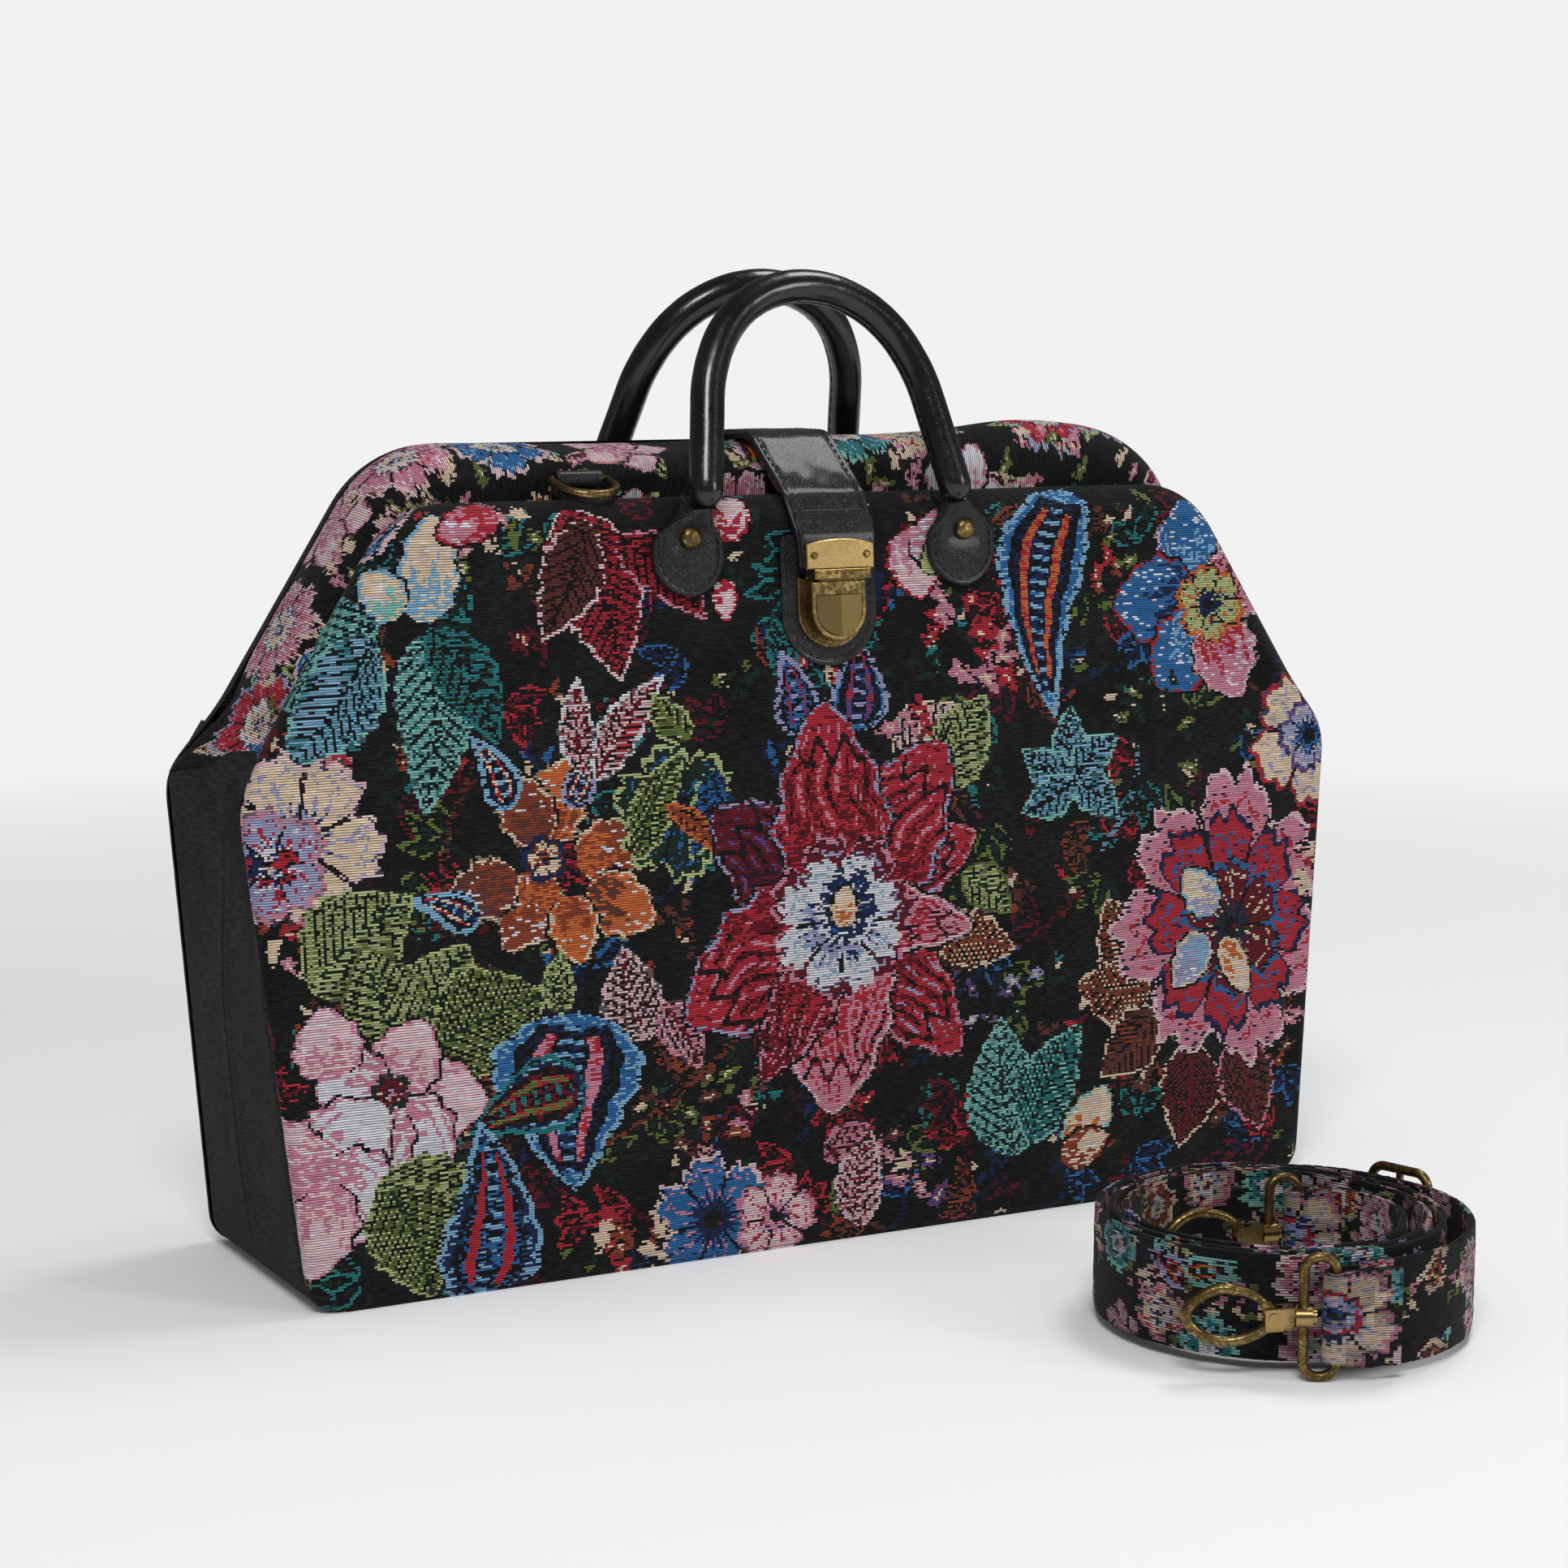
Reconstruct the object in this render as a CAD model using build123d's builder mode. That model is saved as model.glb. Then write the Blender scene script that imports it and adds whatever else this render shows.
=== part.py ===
"""A tapestry laptop bag with a hinged two-bow mouth, a push lock and a detachable shoulder strap.

The frame is millimetres, +Z up, +X to the bag's right as seen from the front and -Y towards the
viewer. The origin is on the floor under the middle of the bag's base. The bag stands on its base
with the mouth closed, and the shoulder strap lies coiled on its edge in front of it.
"""

from build123d import *
from math import atan2, cos, degrees, radians, sin, sqrt, tan
import os

# Body panels
BASE_HALF = 200.0          # half width of the panels at the floor
SHOULDER_HALF = 217.0      # half width at the shoulders, the widest place
SHOULDER_Z = 170.0         # height of the shoulders
BASE_DEPTH = 106.0         # front panel's face to back panel's face at the floor
WALL = 5.0                 # tapestry, foam and backing together
FRONT_LEAN = 3.6           # degrees that the front panel leans back
BACK_LEAN = 4.3            # degrees that the back panel leans forward
BASE_CORNER = 12.0         # rounding of the panels' lower corners
GUSSET_TUCK = 8.0          # how far a gusset folds in at the shoulder
GUSSET_START = 0.45        # share of the shoulder's height where the fold starts
GUSSET_START_TUCK = 1.0
FLOOR_THICK = 4.0          # bottom panel
LOWER_TOP_Z = 186.0        # where the fixed lower walls end

# Mouth
FRONT_TOP_Z = 265.0        # top of the front rim
FRONT_TOP_HALF = 158.0     # half width where the front slope would meet the rim
FRONT_TOP_ROUND = 34.0
ROLL_RADIUS = 8.0          # padded roll round the front bow
BACK_TOP_Z = 282.0         # top of the hood, the back half of the mouth
BACK_TOP_HALF = 150.0
BACK_TOP_ROUND = 40.0
HOOD_FRONT_Y = 36.0 - BASE_DEPTH / 2    # hood's front wall
HOOD_FRONT_ROUND = 12.0
HOOD_BACK_ROUND = 18.0
PANEL_EDGE_ROUND = 4.0     # rounding of the large panels' lower outer edges
LIP_WIDTH = 24.0           # how far the hood's front wall reaches in from its edge
ROLL_DEPTH = 8.8           # middle of the front roll, inside the front panel's face

# Steel bows and their hinge
BOW_RADIUS = 3.0
BOW_PLAY = 0.3             # room between a bow and its channel
BOW_FOOT_Z = 200.0         # lower end of each bow's tube
HINGE_Y = 29.0 - BASE_DEPTH / 2
HINGE_Z = 188.0
LUG_RADIUS = 4.5
LUG_THICK = 2.0
LUG_GAP = 0.4
LUG_SHIFT = 0.4            # middle of the two lugs, outside the middle of the two bows' feet
PIN_RADIUS = 1.75
PIN_PLAY = 0.05
PIN_HEAD_RADIUS = 3.4
PIN_HEAD_THICK = 1.2
SWING = 40.0               # degrees that each half opens
SEAM_GAP = 0.3             # gap between a swinging half and what it leaves behind

# Lining, base board and laptop divider
BOARD_THICK = 2.4
LINING_THICK = 1.2
LINING_TOP_Z = 180.0
LINING_ROOM = 0.3          # lining to panels, and divider to lining
GUSSET_ROOM = 0.4          # base board to gussets
BOARD_EDGE = 3.0           # how far the base board stays inside that room
BOARD_CORNER = 10.0
DIVIDER_BACK_ROOM = 39.0   # divider's front face to the back panel's face at the floor
DIVIDER_THICK = 6.0
DIVIDER_TOP_Z = 165.0
DIVIDER_CORNER = 18.0
DIVIDER_EDGE = 2.4
PLEAT_GAP = 0.3
PLEAT_DEPTH = 26.0
PLEAT_LOW_Z = 209.0
PLEAT_HIGH_Z = FRONT_TOP_Z - 2 * ROLL_RADIUS - 2.0
FLEX_OVERLAP = 40.0        # height of the outline that the flexing band is cut from

# Handles
HANDLE_RADIUS = 6.0
HANDLE_RISE = 73.0         # foot axis to the top of the arch, along the handle
HANDLE_CROWN_RADIUS = 42.0
HANDLE_CROWN_SWEEP = 58.0
HANDLE_FLANK_RADIUS = 60.0
HANDLE_LEG_SWEEP = 80.0
HANDLE_FOOT_OFF = 6.6      # foot axis off the panel's face
FRONT_FOOT_V = 266.5       # foot axis, measured up the panel
BACK_FOOT_V = 270.0
FRONT_HANDLE_LEAN = 18.0
BACK_HANDLE_LEAN = 24.0
KNUCKLE_PLAY = 0.35
TAB_X = 54.5
TAB_RADIUS = 13.6
TAB_LOW_V = 244.5
TAB_HIGH_V = 252.0
TAB_THICK = 3.6
NECK_EDGE = 1.0            # neck's top wider than the handle, each side
NECK_SHELF = 3.0           # level part of the neck at its top
NECK_RISE = 9.0            # neck's top off the panel's face
NECK_FOOT_SHARE = 0.96     # neck's foot over the tab's width
BACK_TAB_RAISE = 4.0       # back tabs sit this much higher
STUD_V = 251.0
STUD_RADIUS = 4.0
STUD_RISE = 3.2
STUD_SHANK = 1.4
STUD_BITE = 4.2            # how far a stud's post reaches into the panel

# Push lock on the front panel
PATCH_HALF = 19.0
PATCH_LOW_V = 204.5
PATCH_TOP_V = 251.0
PATCH_THICK = 2.4
LOCK_HALF = 13.4
LOCK_LOW_V = 211.0
LOCK_TOP_V = 236.0
LOCK_FLANGE = 1.4
HOUSE_INSET = 2.6
HOUSE_TOP_V = 234.4
HOUSE_RISE = 6.6
HOUSE_WALL = 1.6
BUTTON_PLAY = 0.25
BUTTON_TRAVEL = 1.5
BUTTON_PROUD = 1.4
BUTTON_FACET = 9.0         # degrees that the button's two facets fall away from its ridge
POCKET_DEPTH = 5.0
SLOT_HALF = 7.6
SLOT_DEEP = 4.4
SLOT_LOW = 1.7             # tongue slot above the patch, low and high side
SLOT_HIGH = 5.4

# Closure strap over the mouth
FLAP_HALF = 16.5
FLAP_THICK = 3.0
FLAP_AXIS_SHARE = 0.5943    # flap's axis between the hood's front wall and the back panel's face
FLAP_REST_GAP = 0.5        # flap above the hood and the front roll
FLAP_BEND = 10.0
FLAP_LEG_OFF = 4.9         # leather of the hanging end, off the panel's face
FLAP_LEG_TOP_V = 250.0
FLAP_END_V = 239.0
OVERLAY_THICK = 1.5
OVERLAY_REACH = 9.0        # overlay above the bend of the hanging end
ANCHOR_LOW_V = 246.0
ANCHOR_PLAY = 0.35
ANCHOR_BEND_SHARE = 0.92   # most that the anchor's bend takes of its top part
PLATE_HALF = 13.4
PLATE_LOW_V = 238.6
PLATE_HIGH_V = 247.2
PLATE_CROWN = 1.8
PLATE_THICK = 1.3
LEDGE_LOW_V = 235.0
LEDGE_HALF = 11.2
LEDGE_BACK = 5.2           # ledge and tongue start this far off the panel's face
LEDGE_FRONT = 12.4
TONGUE_HALF = 6.2
TONGUE_LONG = 3.2
TONGUE_THICK = 1.2
PLATE_PIN_X = 10.4
PLATE_PIN_V = 243.4
PLATE_PIN_RADIUS = 0.9
PLATE_PIN_HEAD = 1.3
PLATE_PIN_RISE = 0.8
LEDGE_EDGE = 0.6
OVERLAY_INSET = 0.6        # overlay narrower than the flap, each side

# D-rings and their leather loops
RING_X = 87.0
RING_WIRE = 1.5
RING_HALF = 10.6
RING_REACH = 17.0
RING_CORNER = 2.6
LOOP_HALF = 8.6
LOOP_LEATHER = 1.3
LOOP_PLAY = 0.2
FRONT_RING_Z = 270.4
FRONT_RING_DROP = 15.0     # degrees below level at rest
FRONT_STRIP_LOW_Z = 251.0
BACK_RING_V = 254.0
BACK_STRIP_HIGH_V = 266.0

# Shoulder strap, coiled on its edge
STRAP_WIDTH = 34.0
STRAP_THICK = 2.6
COIL_CENTRE = (77.0, -200.0)
COIL_START = -108.0        # bearing of the strap's outer end seen from the coil's middle
COIL_RADII = (62.0, 56.5, 54.2, 51.9, 49.6, 47.3, 40.0)
COIL_LAST_SWEEP = 150.0
LOOP_FOLD = 20.0           # length of the strap folded back behind an end loop
LOOP_WIDTH = 28.0          # webbing gathered round a ring's bar
FRAME_WIRE = 1.6           # wire radius of the end rings and the slider
FRAME_PLAY = 0.4
FRAME_TALL = STRAP_WIDTH + 2 * FRAME_PLAY + 4 * FRAME_WIRE
HARDWARE_Z = FRAME_TALL / 2
END_LOOP_PLAY = 0.15
END_RING_REACH = 10.0
END_RING_CORNER = 5.0
OUTER_RING_BEARING = 150.0
INNER_RING_BEARING = 165.0
SLIDER_BEARING = 15.0
SLIDER_LONG = 23.0
SLIDER_BAR = 1.3
BOSS_RADIUS = 3.4
BOSS_HALF = 2.6
POST_RADIUS = 1.5
POST_PLAY = 0.06
POST_HEAD = 2.4
NECK_START = 3.0           # along the hook from the middle of the ring's boss
NECK_END = 12.0
NECK_HALF_TALL = 4.4
NECK_HALF_THICK = 3.0
GATE_SLOT_HALF = 1.5
GATE_PLAY = 0.12
GATE_PIVOT = 9.2
HOOK_WIRE = 1.7
HOOK_TIP = 36.0
HOOK_HALF_TALL = 7.8
NOSE_END = 22.6
GATE_NOSE_GAP = 0.4
RIVET_RADIUS = 1.1
RIVET_PLAY = 0.05

EDGE_SLACK = 0.01           # edges this close together in height count as level

os.makedirs("parts", exist_ok=True)


def save(builder, label):
    """Label a finished piece and write it as one STEP file."""
    builder.part.label = label
    export_step(builder.part, f"parts/{label}.step")
    return builder


def rad(angle):
    """Degrees to radians."""
    return radians(angle)


# Planes on the outer faces of the two large panels: local x is along the panel and local y is up it.
FRONT_FACE = Plane(
    origin=(0, -BASE_DEPTH / 2, 0),
    x_dir=(1, 0, 0),
    z_dir=(0, -cos(rad(FRONT_LEAN)), sin(rad(FRONT_LEAN))),
)
BACK_FACE = Plane(
    origin=(0, BASE_DEPTH / 2, 0),
    x_dir=(-1, 0, 0),
    z_dir=(0, cos(rad(BACK_LEAN)), sin(rad(BACK_LEAN))),
)


def front_y(z, depth=0.0):
    """Y of the front panel at a height, a depth inside its face."""
    return -BASE_DEPTH / 2 + z * tan(rad(FRONT_LEAN)) + depth / cos(rad(FRONT_LEAN))


def back_y(z, depth=0.0):
    """Y of the back panel at a height, a depth inside its face."""
    return BASE_DEPTH / 2 - z * tan(rad(BACK_LEAN)) - depth / cos(rad(BACK_LEAN))


FLAP_AXIS_Y = HOOD_FRONT_Y + FLAP_AXIS_SHARE * (back_y(BACK_TOP_Z) - HOOD_FRONT_Y)


# Planes through the hinge axis, at the angle each half swings, so that a half clears the lower walls.
def swing_plane(side, shift=0.0):
    """Plane through the hinge axis that rises towards the front (-1) or the back (+1)."""
    tilt = rad(SWING)
    normal = (0, -side * sin(tilt), cos(tilt))
    origin = (0, HINGE_Y + normal[1] * shift, HINGE_Z + normal[2] * shift)
    return Plane(origin=origin, x_dir=(1, 0, 0), z_dir=normal)


def slope_outline(top_half, top_z, inset=0.0, low_z=SHOULDER_Z):
    """Corner points of a mouth half seen from the front, its slopes and top moved in by inset."""
    run, rise = SHOULDER_HALF - top_half, top_z - SHOULDER_Z
    length = sqrt(run * run + rise * rise)
    across = inset * length / rise
    top = top_z - inset

    def at(z):
        return SHOULDER_HALF - across - (z - SHOULDER_Z) * run / rise

    return [(-at(low_z), low_z), (-at(top), top), (at(top), top), (at(low_z), low_z)]


def hood_slab(inset, y_front, y_back, low_z=SHOULDER_Z):
    """Slab between two Y planes with the hood's outline, moved in, and rounded top corners."""
    with BuildPart() as slab:
        with BuildSketch(Plane.XZ.offset(-y_back)) as face:
            Polygon(*slope_outline(BACK_TOP_HALF, BACK_TOP_Z, inset, low_z), align=None)
            corners = face.vertices().group_by(Axis.Y)[-1]
            fillet(corners, max(BACK_TOP_ROUND - inset, 3.0))
        extrude(amount=y_back - y_front)
    return slab


def bow_line(plane, top_half, top_z, round_top, inset):
    """Wire of a bow on an upright plane: up one slope, over the top and down the other."""
    corners = slope_outline(top_half, top_z, inset, BOW_FOOT_Z)
    points = [plane.from_local_coords((x, z / plane.y_dir.Z, 0)) for x, z in corners]
    bend = max(round_top - inset, 12.0)
    with BuildLine() as line:
        FilletPolyline(*points, radius=bend)
    return line


def tube_along(line, radius):
    """Round bar swept along a wire."""
    with BuildPart() as tube:
        with BuildSketch(Plane(origin=line.line @ 0, z_dir=line.line % 0)):
            Circle(radius)
        sweep(path=line.line)
    return tube


# Lower body: two panels, two gussets and a bottom
def panel_outline(low, high):
    """Half-width points of a panel between two heights, below and above the shoulder."""
    slope = (SHOULDER_HALF - FRONT_TOP_HALF) / (FRONT_TOP_Z - SHOULDER_Z)
    grow = (SHOULDER_HALF - BASE_HALF) / SHOULDER_Z

    def half(v):
        if v <= SHOULDER_Z:
            return BASE_HALF + grow * v
        return SHOULDER_HALF - slope * (v - SHOULDER_Z)

    heights = [low] + [h for h in (SHOULDER_Z,) if low < h < high] + [high]
    right = [(half(v), v) for v in heights]
    return right + [(-x, v) for x, v in reversed(right)]


def build_large_panel(label, face):
    """One large panel from the floor to the foot of the mouth."""
    with BuildPart() as panel:
        with BuildSketch(face) as sketch:
            Polygon(*panel_outline(0, LOWER_TOP_Z), align=None)
            fillet(sketch.vertices().group_by(Axis.Z)[0], BASE_CORNER)
        extrude(amount=-WALL)
        low_edges = panel.edges().filter_by(GeomType.LINE).group_by(Axis.Z)[0].sort_by(Axis.Y)
        fillet(low_edges[-1 if face is BACK_FACE else 0], PANEL_EDGE_ROUND)
    return save(panel, label)


def rounded_ends():
    """Block with the large panels' front outline, for rounding the lower corners behind them."""
    with BuildPart() as block:
        with BuildSketch(Plane.XZ) as sketch:
            Polygon(*panel_outline(0, LOWER_TOP_Z + 10), align=None)
            fillet(sketch.vertices().group_by(Axis.Z)[0], BASE_CORNER)
        extrude(amount=BASE_DEPTH, both=True)
    return block


def gusset_section(side, z, half, tuck, tuck_y):
    """Bent strip that a gusset shows at one height."""
    outer, inner = half, half - WALL
    y0, y1 = front_y(z, WALL), back_y(z, WALL)
    outside = [(outer, y0), (outer - tuck, tuck_y), (outer, y1)]
    inside = [(inner, y1), (inner - tuck, tuck_y), (inner, y0)]
    return [(side * x, y) for x, y in outside + inside]


def build_gusset(label, side):
    """One black gusset, tucked in at the shoulder."""
    slope = (SHOULDER_HALF - FRONT_TOP_HALF) / (FRONT_TOP_Z - SHOULDER_Z)
    top_half = SHOULDER_HALF - slope * (LOWER_TOP_Z - SHOULDER_Z)
    start_half = BASE_HALF + (SHOULDER_HALF - BASE_HALF) * GUSSET_START
    stations = [
        (0.0, BASE_HALF, 0.0, 0.0),
        (SHOULDER_Z * GUSSET_START, start_half, GUSSET_START_TUCK, 0.0),
        (SHOULDER_Z, SHOULDER_HALF, GUSSET_TUCK, HINGE_Y / 2),
        (LOWER_TOP_Z, top_half, GUSSET_TUCK, HINGE_Y),
    ]
    with BuildPart() as gusset:
        for low, high in zip(stations, stations[1:]):
            for z, half, tuck, tuck_y in (low, high):
                with BuildSketch(Plane.XY.offset(z)):
                    Polygon(*gusset_section(side, z, half, tuck, tuck_y), align=None)
            loft(ruled=True)
        add(rounded_ends().part, mode=Mode.INTERSECT)
    return save(gusset, label)


def build_bottom():
    """Bottom panel between the gussets, with rounded lower edges."""
    y0, y1 = front_y(FLOOR_THICK, WALL), back_y(FLOOR_THICK, WALL)
    with BuildPart() as bottom:
        with BuildSketch():
            with Locations((0, (y0 + y1) / 2)):
                Rectangle(2 * (BASE_HALF - WALL), y1 - y0)
        extrude(amount=FLOOR_THICK)
        add(rounded_ends().part, mode=Mode.INTERSECT)
    return save(bottom, "bottom_panel")


# Inside: base board, lining, divider
def build_inside():
    """Base board, lining tub and the padded divider of the laptop sleeve."""
    room_half = BASE_HALF - WALL - GUSSET_ROOM
    with BuildPart() as board:
        with BuildSketch(Plane.XY.offset(FLOOR_THICK)) as sketch:
            Rectangle(2 * (room_half - BOARD_EDGE), BASE_DEPTH - 2 * (WALL + BOARD_EDGE))
            fillet(sketch.vertices(), BOARD_CORNER)
        extrude(amount=BOARD_THICK)
    save(board, "base_board")

    low = FLOOR_THICK + BOARD_THICK
    spans = []
    for z in (low, LINING_TOP_Z):
        spans.append((z, front_y(z, WALL) + LINING_ROOM, back_y(z, WALL) - LINING_ROOM))
    top_room = room_half - 2 * GUSSET_ROOM
    with BuildPart() as lining:
        for z, y0, y1 in spans:
            with BuildSketch(Plane.XY.offset(z)):
                with Locations((0, (y0 + y1) / 2)):
                    Rectangle(2 * top_room, y1 - y0)
        loft(ruled=True)
        offset(amount=-LINING_THICK, openings=lining.faces().sort_by(Axis.Z)[-1])
    save(lining, "lining")

    divider_back = BASE_DEPTH / 2 - DIVIDER_BACK_ROOM + DIVIDER_THICK
    with BuildPart() as divider:
        with BuildSketch(Plane.XZ.offset(-divider_back)) as sketch:
            foot = low + LINING_THICK + LINING_ROOM
            width = 2 * (top_room - LINING_THICK - LINING_ROOM)
            with Locations((0, (foot + DIVIDER_TOP_Z) / 2)):
                Rectangle(width, DIVIDER_TOP_Z - foot)
            fillet(sketch.vertices().group_by(Axis.Y)[-1], DIVIDER_CORNER)
        extrude(amount=DIVIDER_THICK)
        fillet(divider.edges().group_by(Axis.Z)[-1], DIVIDER_EDGE)
    save(divider, "laptop_divider")


# Steel bows, their lugs and the hinge pins
ROLL_PLANE = FRONT_FACE.offset(-ROLL_DEPTH)
FRONT_BOW = bow_line(ROLL_PLANE, FRONT_TOP_HALF, FRONT_TOP_Z, FRONT_TOP_ROUND, ROLL_RADIUS)
BOW_NEST = (HOOD_FRONT_ROUND - WALL - BOW_PLAY - BOW_RADIUS) / sqrt(2)
BACK_BOW_Y = HOOD_FRONT_Y + HOOD_FRONT_ROUND - BOW_NEST
BACK_BOW_PLANE = Plane(origin=(0, BACK_BOW_Y, 0), x_dir=(1, 0, 0), z_dir=(0, -1, 0))
BACK_BOW = bow_line(BACK_BOW_PLANE, BACK_TOP_HALF, BACK_TOP_Z, BACK_TOP_ROUND, HOOD_FRONT_ROUND - BOW_NEST)
FEET_X = (abs((FRONT_BOW.line @ 0).X) + abs((BACK_BOW.line @ 0).X)) / 2
LUG_INNER_X = FEET_X + LUG_SHIFT - LUG_THICK - LUG_GAP / 2
LUG_OUTER_X = LUG_INNER_X + LUG_THICK + LUG_GAP


def roll_y(z):
    """Y of the middle of the front roll at a height."""
    return front_y(z, ROLL_DEPTH)


def lug(side, inner_x, foot_y, grow=0.0):
    """Flattened end of a bow: a slotted plate from the tube's foot down to the hinge pin."""
    foot = (foot_y, BOW_FOOT_Z + 2)
    run, rise = foot[0] - HINGE_Y, foot[1] - HINGE_Z
    start = inner_x - grow if side > 0 else -inner_x - LUG_THICK - grow
    with BuildPart() as plate:
        with BuildSketch(Plane.YZ.offset(start)):
            with Locations(((foot[0] + HINGE_Y) / 2, (foot[1] + HINGE_Z) / 2)):
                SlotCenterToCenter(
                    sqrt(run * run + rise * rise),
                    2 * (LUG_RADIUS + grow),
                    rotation=degrees(atan2(rise, run)),
                )
        extrude(amount=LUG_THICK + 2 * grow)
    return plate


def build_bow(label, line, inner_x, foot_y):
    """One bent steel bow with a lug at each end, bored for the hinge pins."""
    with BuildPart() as bow:
        add(tube_along(line, BOW_RADIUS).part)
        for side in (-1, 1):
            add(lug(side, inner_x, foot_y).part)
        with Locations(Plane(origin=(0, HINGE_Y, HINGE_Z), z_dir=(1, 0, 0))):
            Cylinder(PIN_RADIUS + PIN_PLAY, 2 * SHOULDER_HALF, mode=Mode.SUBTRACT)
    return save(bow, label)


def build_hinge_pins():
    """A headed pin at each shoulder that both bows turn on."""
    for label, side in (("left_hinge_pin", -1), ("right_hinge_pin", 1)):
        low, high = LUG_INNER_X - 0.3, LUG_OUTER_X + LUG_THICK + 0.3
        with BuildPart() as pin:
            with BuildSketch(Plane(origin=(side * low, HINGE_Y, HINGE_Z), z_dir=(side, 0, 0))):
                Circle(PIN_RADIUS)
            extrude(amount=high - low)
            for x, reach in ((low, -PIN_HEAD_THICK), (high, PIN_HEAD_THICK)):
                with BuildSketch(Plane(origin=(side * x, HINGE_Y, HINGE_Z), z_dir=(side, 0, 0))):
                    Circle(PIN_HEAD_RADIUS)
                extrude(amount=reach)
        save(pin, label)


# The two swinging halves of the mouth
def build_front_half():
    """Upper front panel with the padded roll that holds the front bow, and the flexing band below it."""
    above = swing_plane(-1)
    below = swing_plane(-1, -SEAM_GAP)
    with BuildPart() as upper:
        with BuildSketch(FRONT_FACE) as sketch:
            Polygon(*slope_outline(FRONT_TOP_HALF, FRONT_TOP_Z, ROLL_RADIUS), align=None)
            fillet(sketch.vertices().group_by(Axis.Z)[-1], FRONT_TOP_ROUND - ROLL_RADIUS)
        extrude(amount=-WALL)
        add(tube_along(FRONT_BOW, ROLL_RADIUS).part)
        add(tube_along(FRONT_BOW, BOW_RADIUS + BOW_PLAY).part, mode=Mode.SUBTRACT)
        for side in (-1, 1):
            add(lug(side, LUG_OUTER_X, roll_y(BOW_FOOT_Z), BOW_PLAY).part, mode=Mode.SUBTRACT)
        add(stud_holes(FRONT_FACE).part, mode=Mode.SUBTRACT)
        split(bisect_by=above, keep=Keep.TOP)
    save(upper, "front_panel_top")

    with BuildPart() as band:
        with BuildSketch(FRONT_FACE):
            Polygon(*panel_outline(LOWER_TOP_Z + SEAM_GAP, LOWER_TOP_Z + FLEX_OVERLAP), align=None)
        extrude(amount=-WALL)
        split(bisect_by=below, keep=Keep.BOTTOM)
    save(band, "front_flex")


def hood_block(inset):
    """The hood as a solid block: mouth outline in front view, filleted along both its rims."""
    y0 = HOOD_FRONT_Y + inset
    block = hood_slab(inset, y0, BASE_DEPTH / 2)
    back_plane = BACK_FACE.offset(-inset)
    with BuildPart() as hood:
        add(block.part)
        split(bisect_by=back_plane, keep=Keep.BOTTOM)
        rims = hood.edges().filter_by(lambda e: e.center().Z > SHOULDER_Z + 2)
        front_rim = rims.filter_by(lambda e: abs(e.center().Y - y0) < EDGE_SLACK)
        fillet(front_rim, HOOD_FRONT_ROUND - inset)
        rims = hood.edges().filter_by(lambda e: e.center().Z > SHOULDER_Z + 2)
        back_rim = rims.filter_by(lambda e: abs(back_plane.to_local_coords(e.center()).Z) < EDGE_SLACK)
        fillet(back_rim, HOOD_BACK_ROUND - inset)
    return hood


def hood_shell():
    """Hollow hood: back, sloping sides, rounded top and a narrow front lip, open below."""
    mouth = hood_slab(LIP_WIDTH, HOOD_FRONT_Y - 1, HOOD_FRONT_Y + WALL + 1, SHOULDER_Z - LIP_WIDTH)
    with BuildPart() as shell:
        add(hood_block(0.0).part)
        add(hood_block(WALL).part, mode=Mode.SUBTRACT)
        add(mouth.part, mode=Mode.SUBTRACT)
        for side in (-1, 1):
            add(lug(side, LUG_INNER_X, BACK_BOW_Y, BOW_PLAY).part, mode=Mode.SUBTRACT)
    return shell


def build_back_half():
    """Hood that holds the back bow, and the flexing band between it and the lower walls."""
    shell = hood_shell()
    with BuildPart() as hood:
        add(shell.part)
        add(stud_holes(BACK_FACE, BACK_TAB_RAISE).part, mode=Mode.SUBTRACT)
        split(bisect_by=swing_plane(1), keep=Keep.TOP)
    save(hood, "back_hood")
    with BuildPart() as band:
        add(shell.part)
        split(bisect_by=swing_plane(1, -SEAM_GAP), keep=Keep.BOTTOM)
        split(bisect_by=Plane.XY.offset(LOWER_TOP_Z + SEAM_GAP), keep=Keep.TOP)
    save(band, "back_flex")


def build_pleats():
    """Folded ends of the mouth, lying flat between the front roll and the hood."""
    slope = slope_outline(FRONT_TOP_HALF, FRONT_TOP_Z, ROLL_RADIUS, PLEAT_LOW_Z)
    high = PLEAT_HIGH_Z
    run = (slope[3][0] - slope[2][0]) / (slope[2][1] - slope[3][1])
    low_x = slope[3][0]
    high_x = low_x - run * (high - PLEAT_LOW_Z)
    back = HOOD_FRONT_Y - PLEAT_GAP
    for label, side in (("left_pleat", -1), ("right_pleat", 1)):
        outer = [(low_x, PLEAT_LOW_Z), (high_x, high)]
        corners = outer + [(x - PLEAT_DEPTH, z) for x, z in reversed(outer)]
        with BuildPart() as pleat:
            with BuildSketch(Plane.YZ):
                Polygon(
                    (roll_y(PLEAT_LOW_Z) + ROLL_RADIUS + PLEAT_GAP, PLEAT_LOW_Z),
                    (roll_y(high) + ROLL_RADIUS + PLEAT_GAP, high),
                    (back, high),
                    (back, PLEAT_LOW_Z),
                    align=None,
                )
            extrude(amount=SHOULDER_HALF, both=True)
            with BuildSketch(Plane.XZ):
                Polygon(*[(side * x, z) for x, z in corners], align=None)
            extrude(amount=BASE_DEPTH, both=True, mode=Mode.INTERSECT)
        save(pleat, label)


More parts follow.
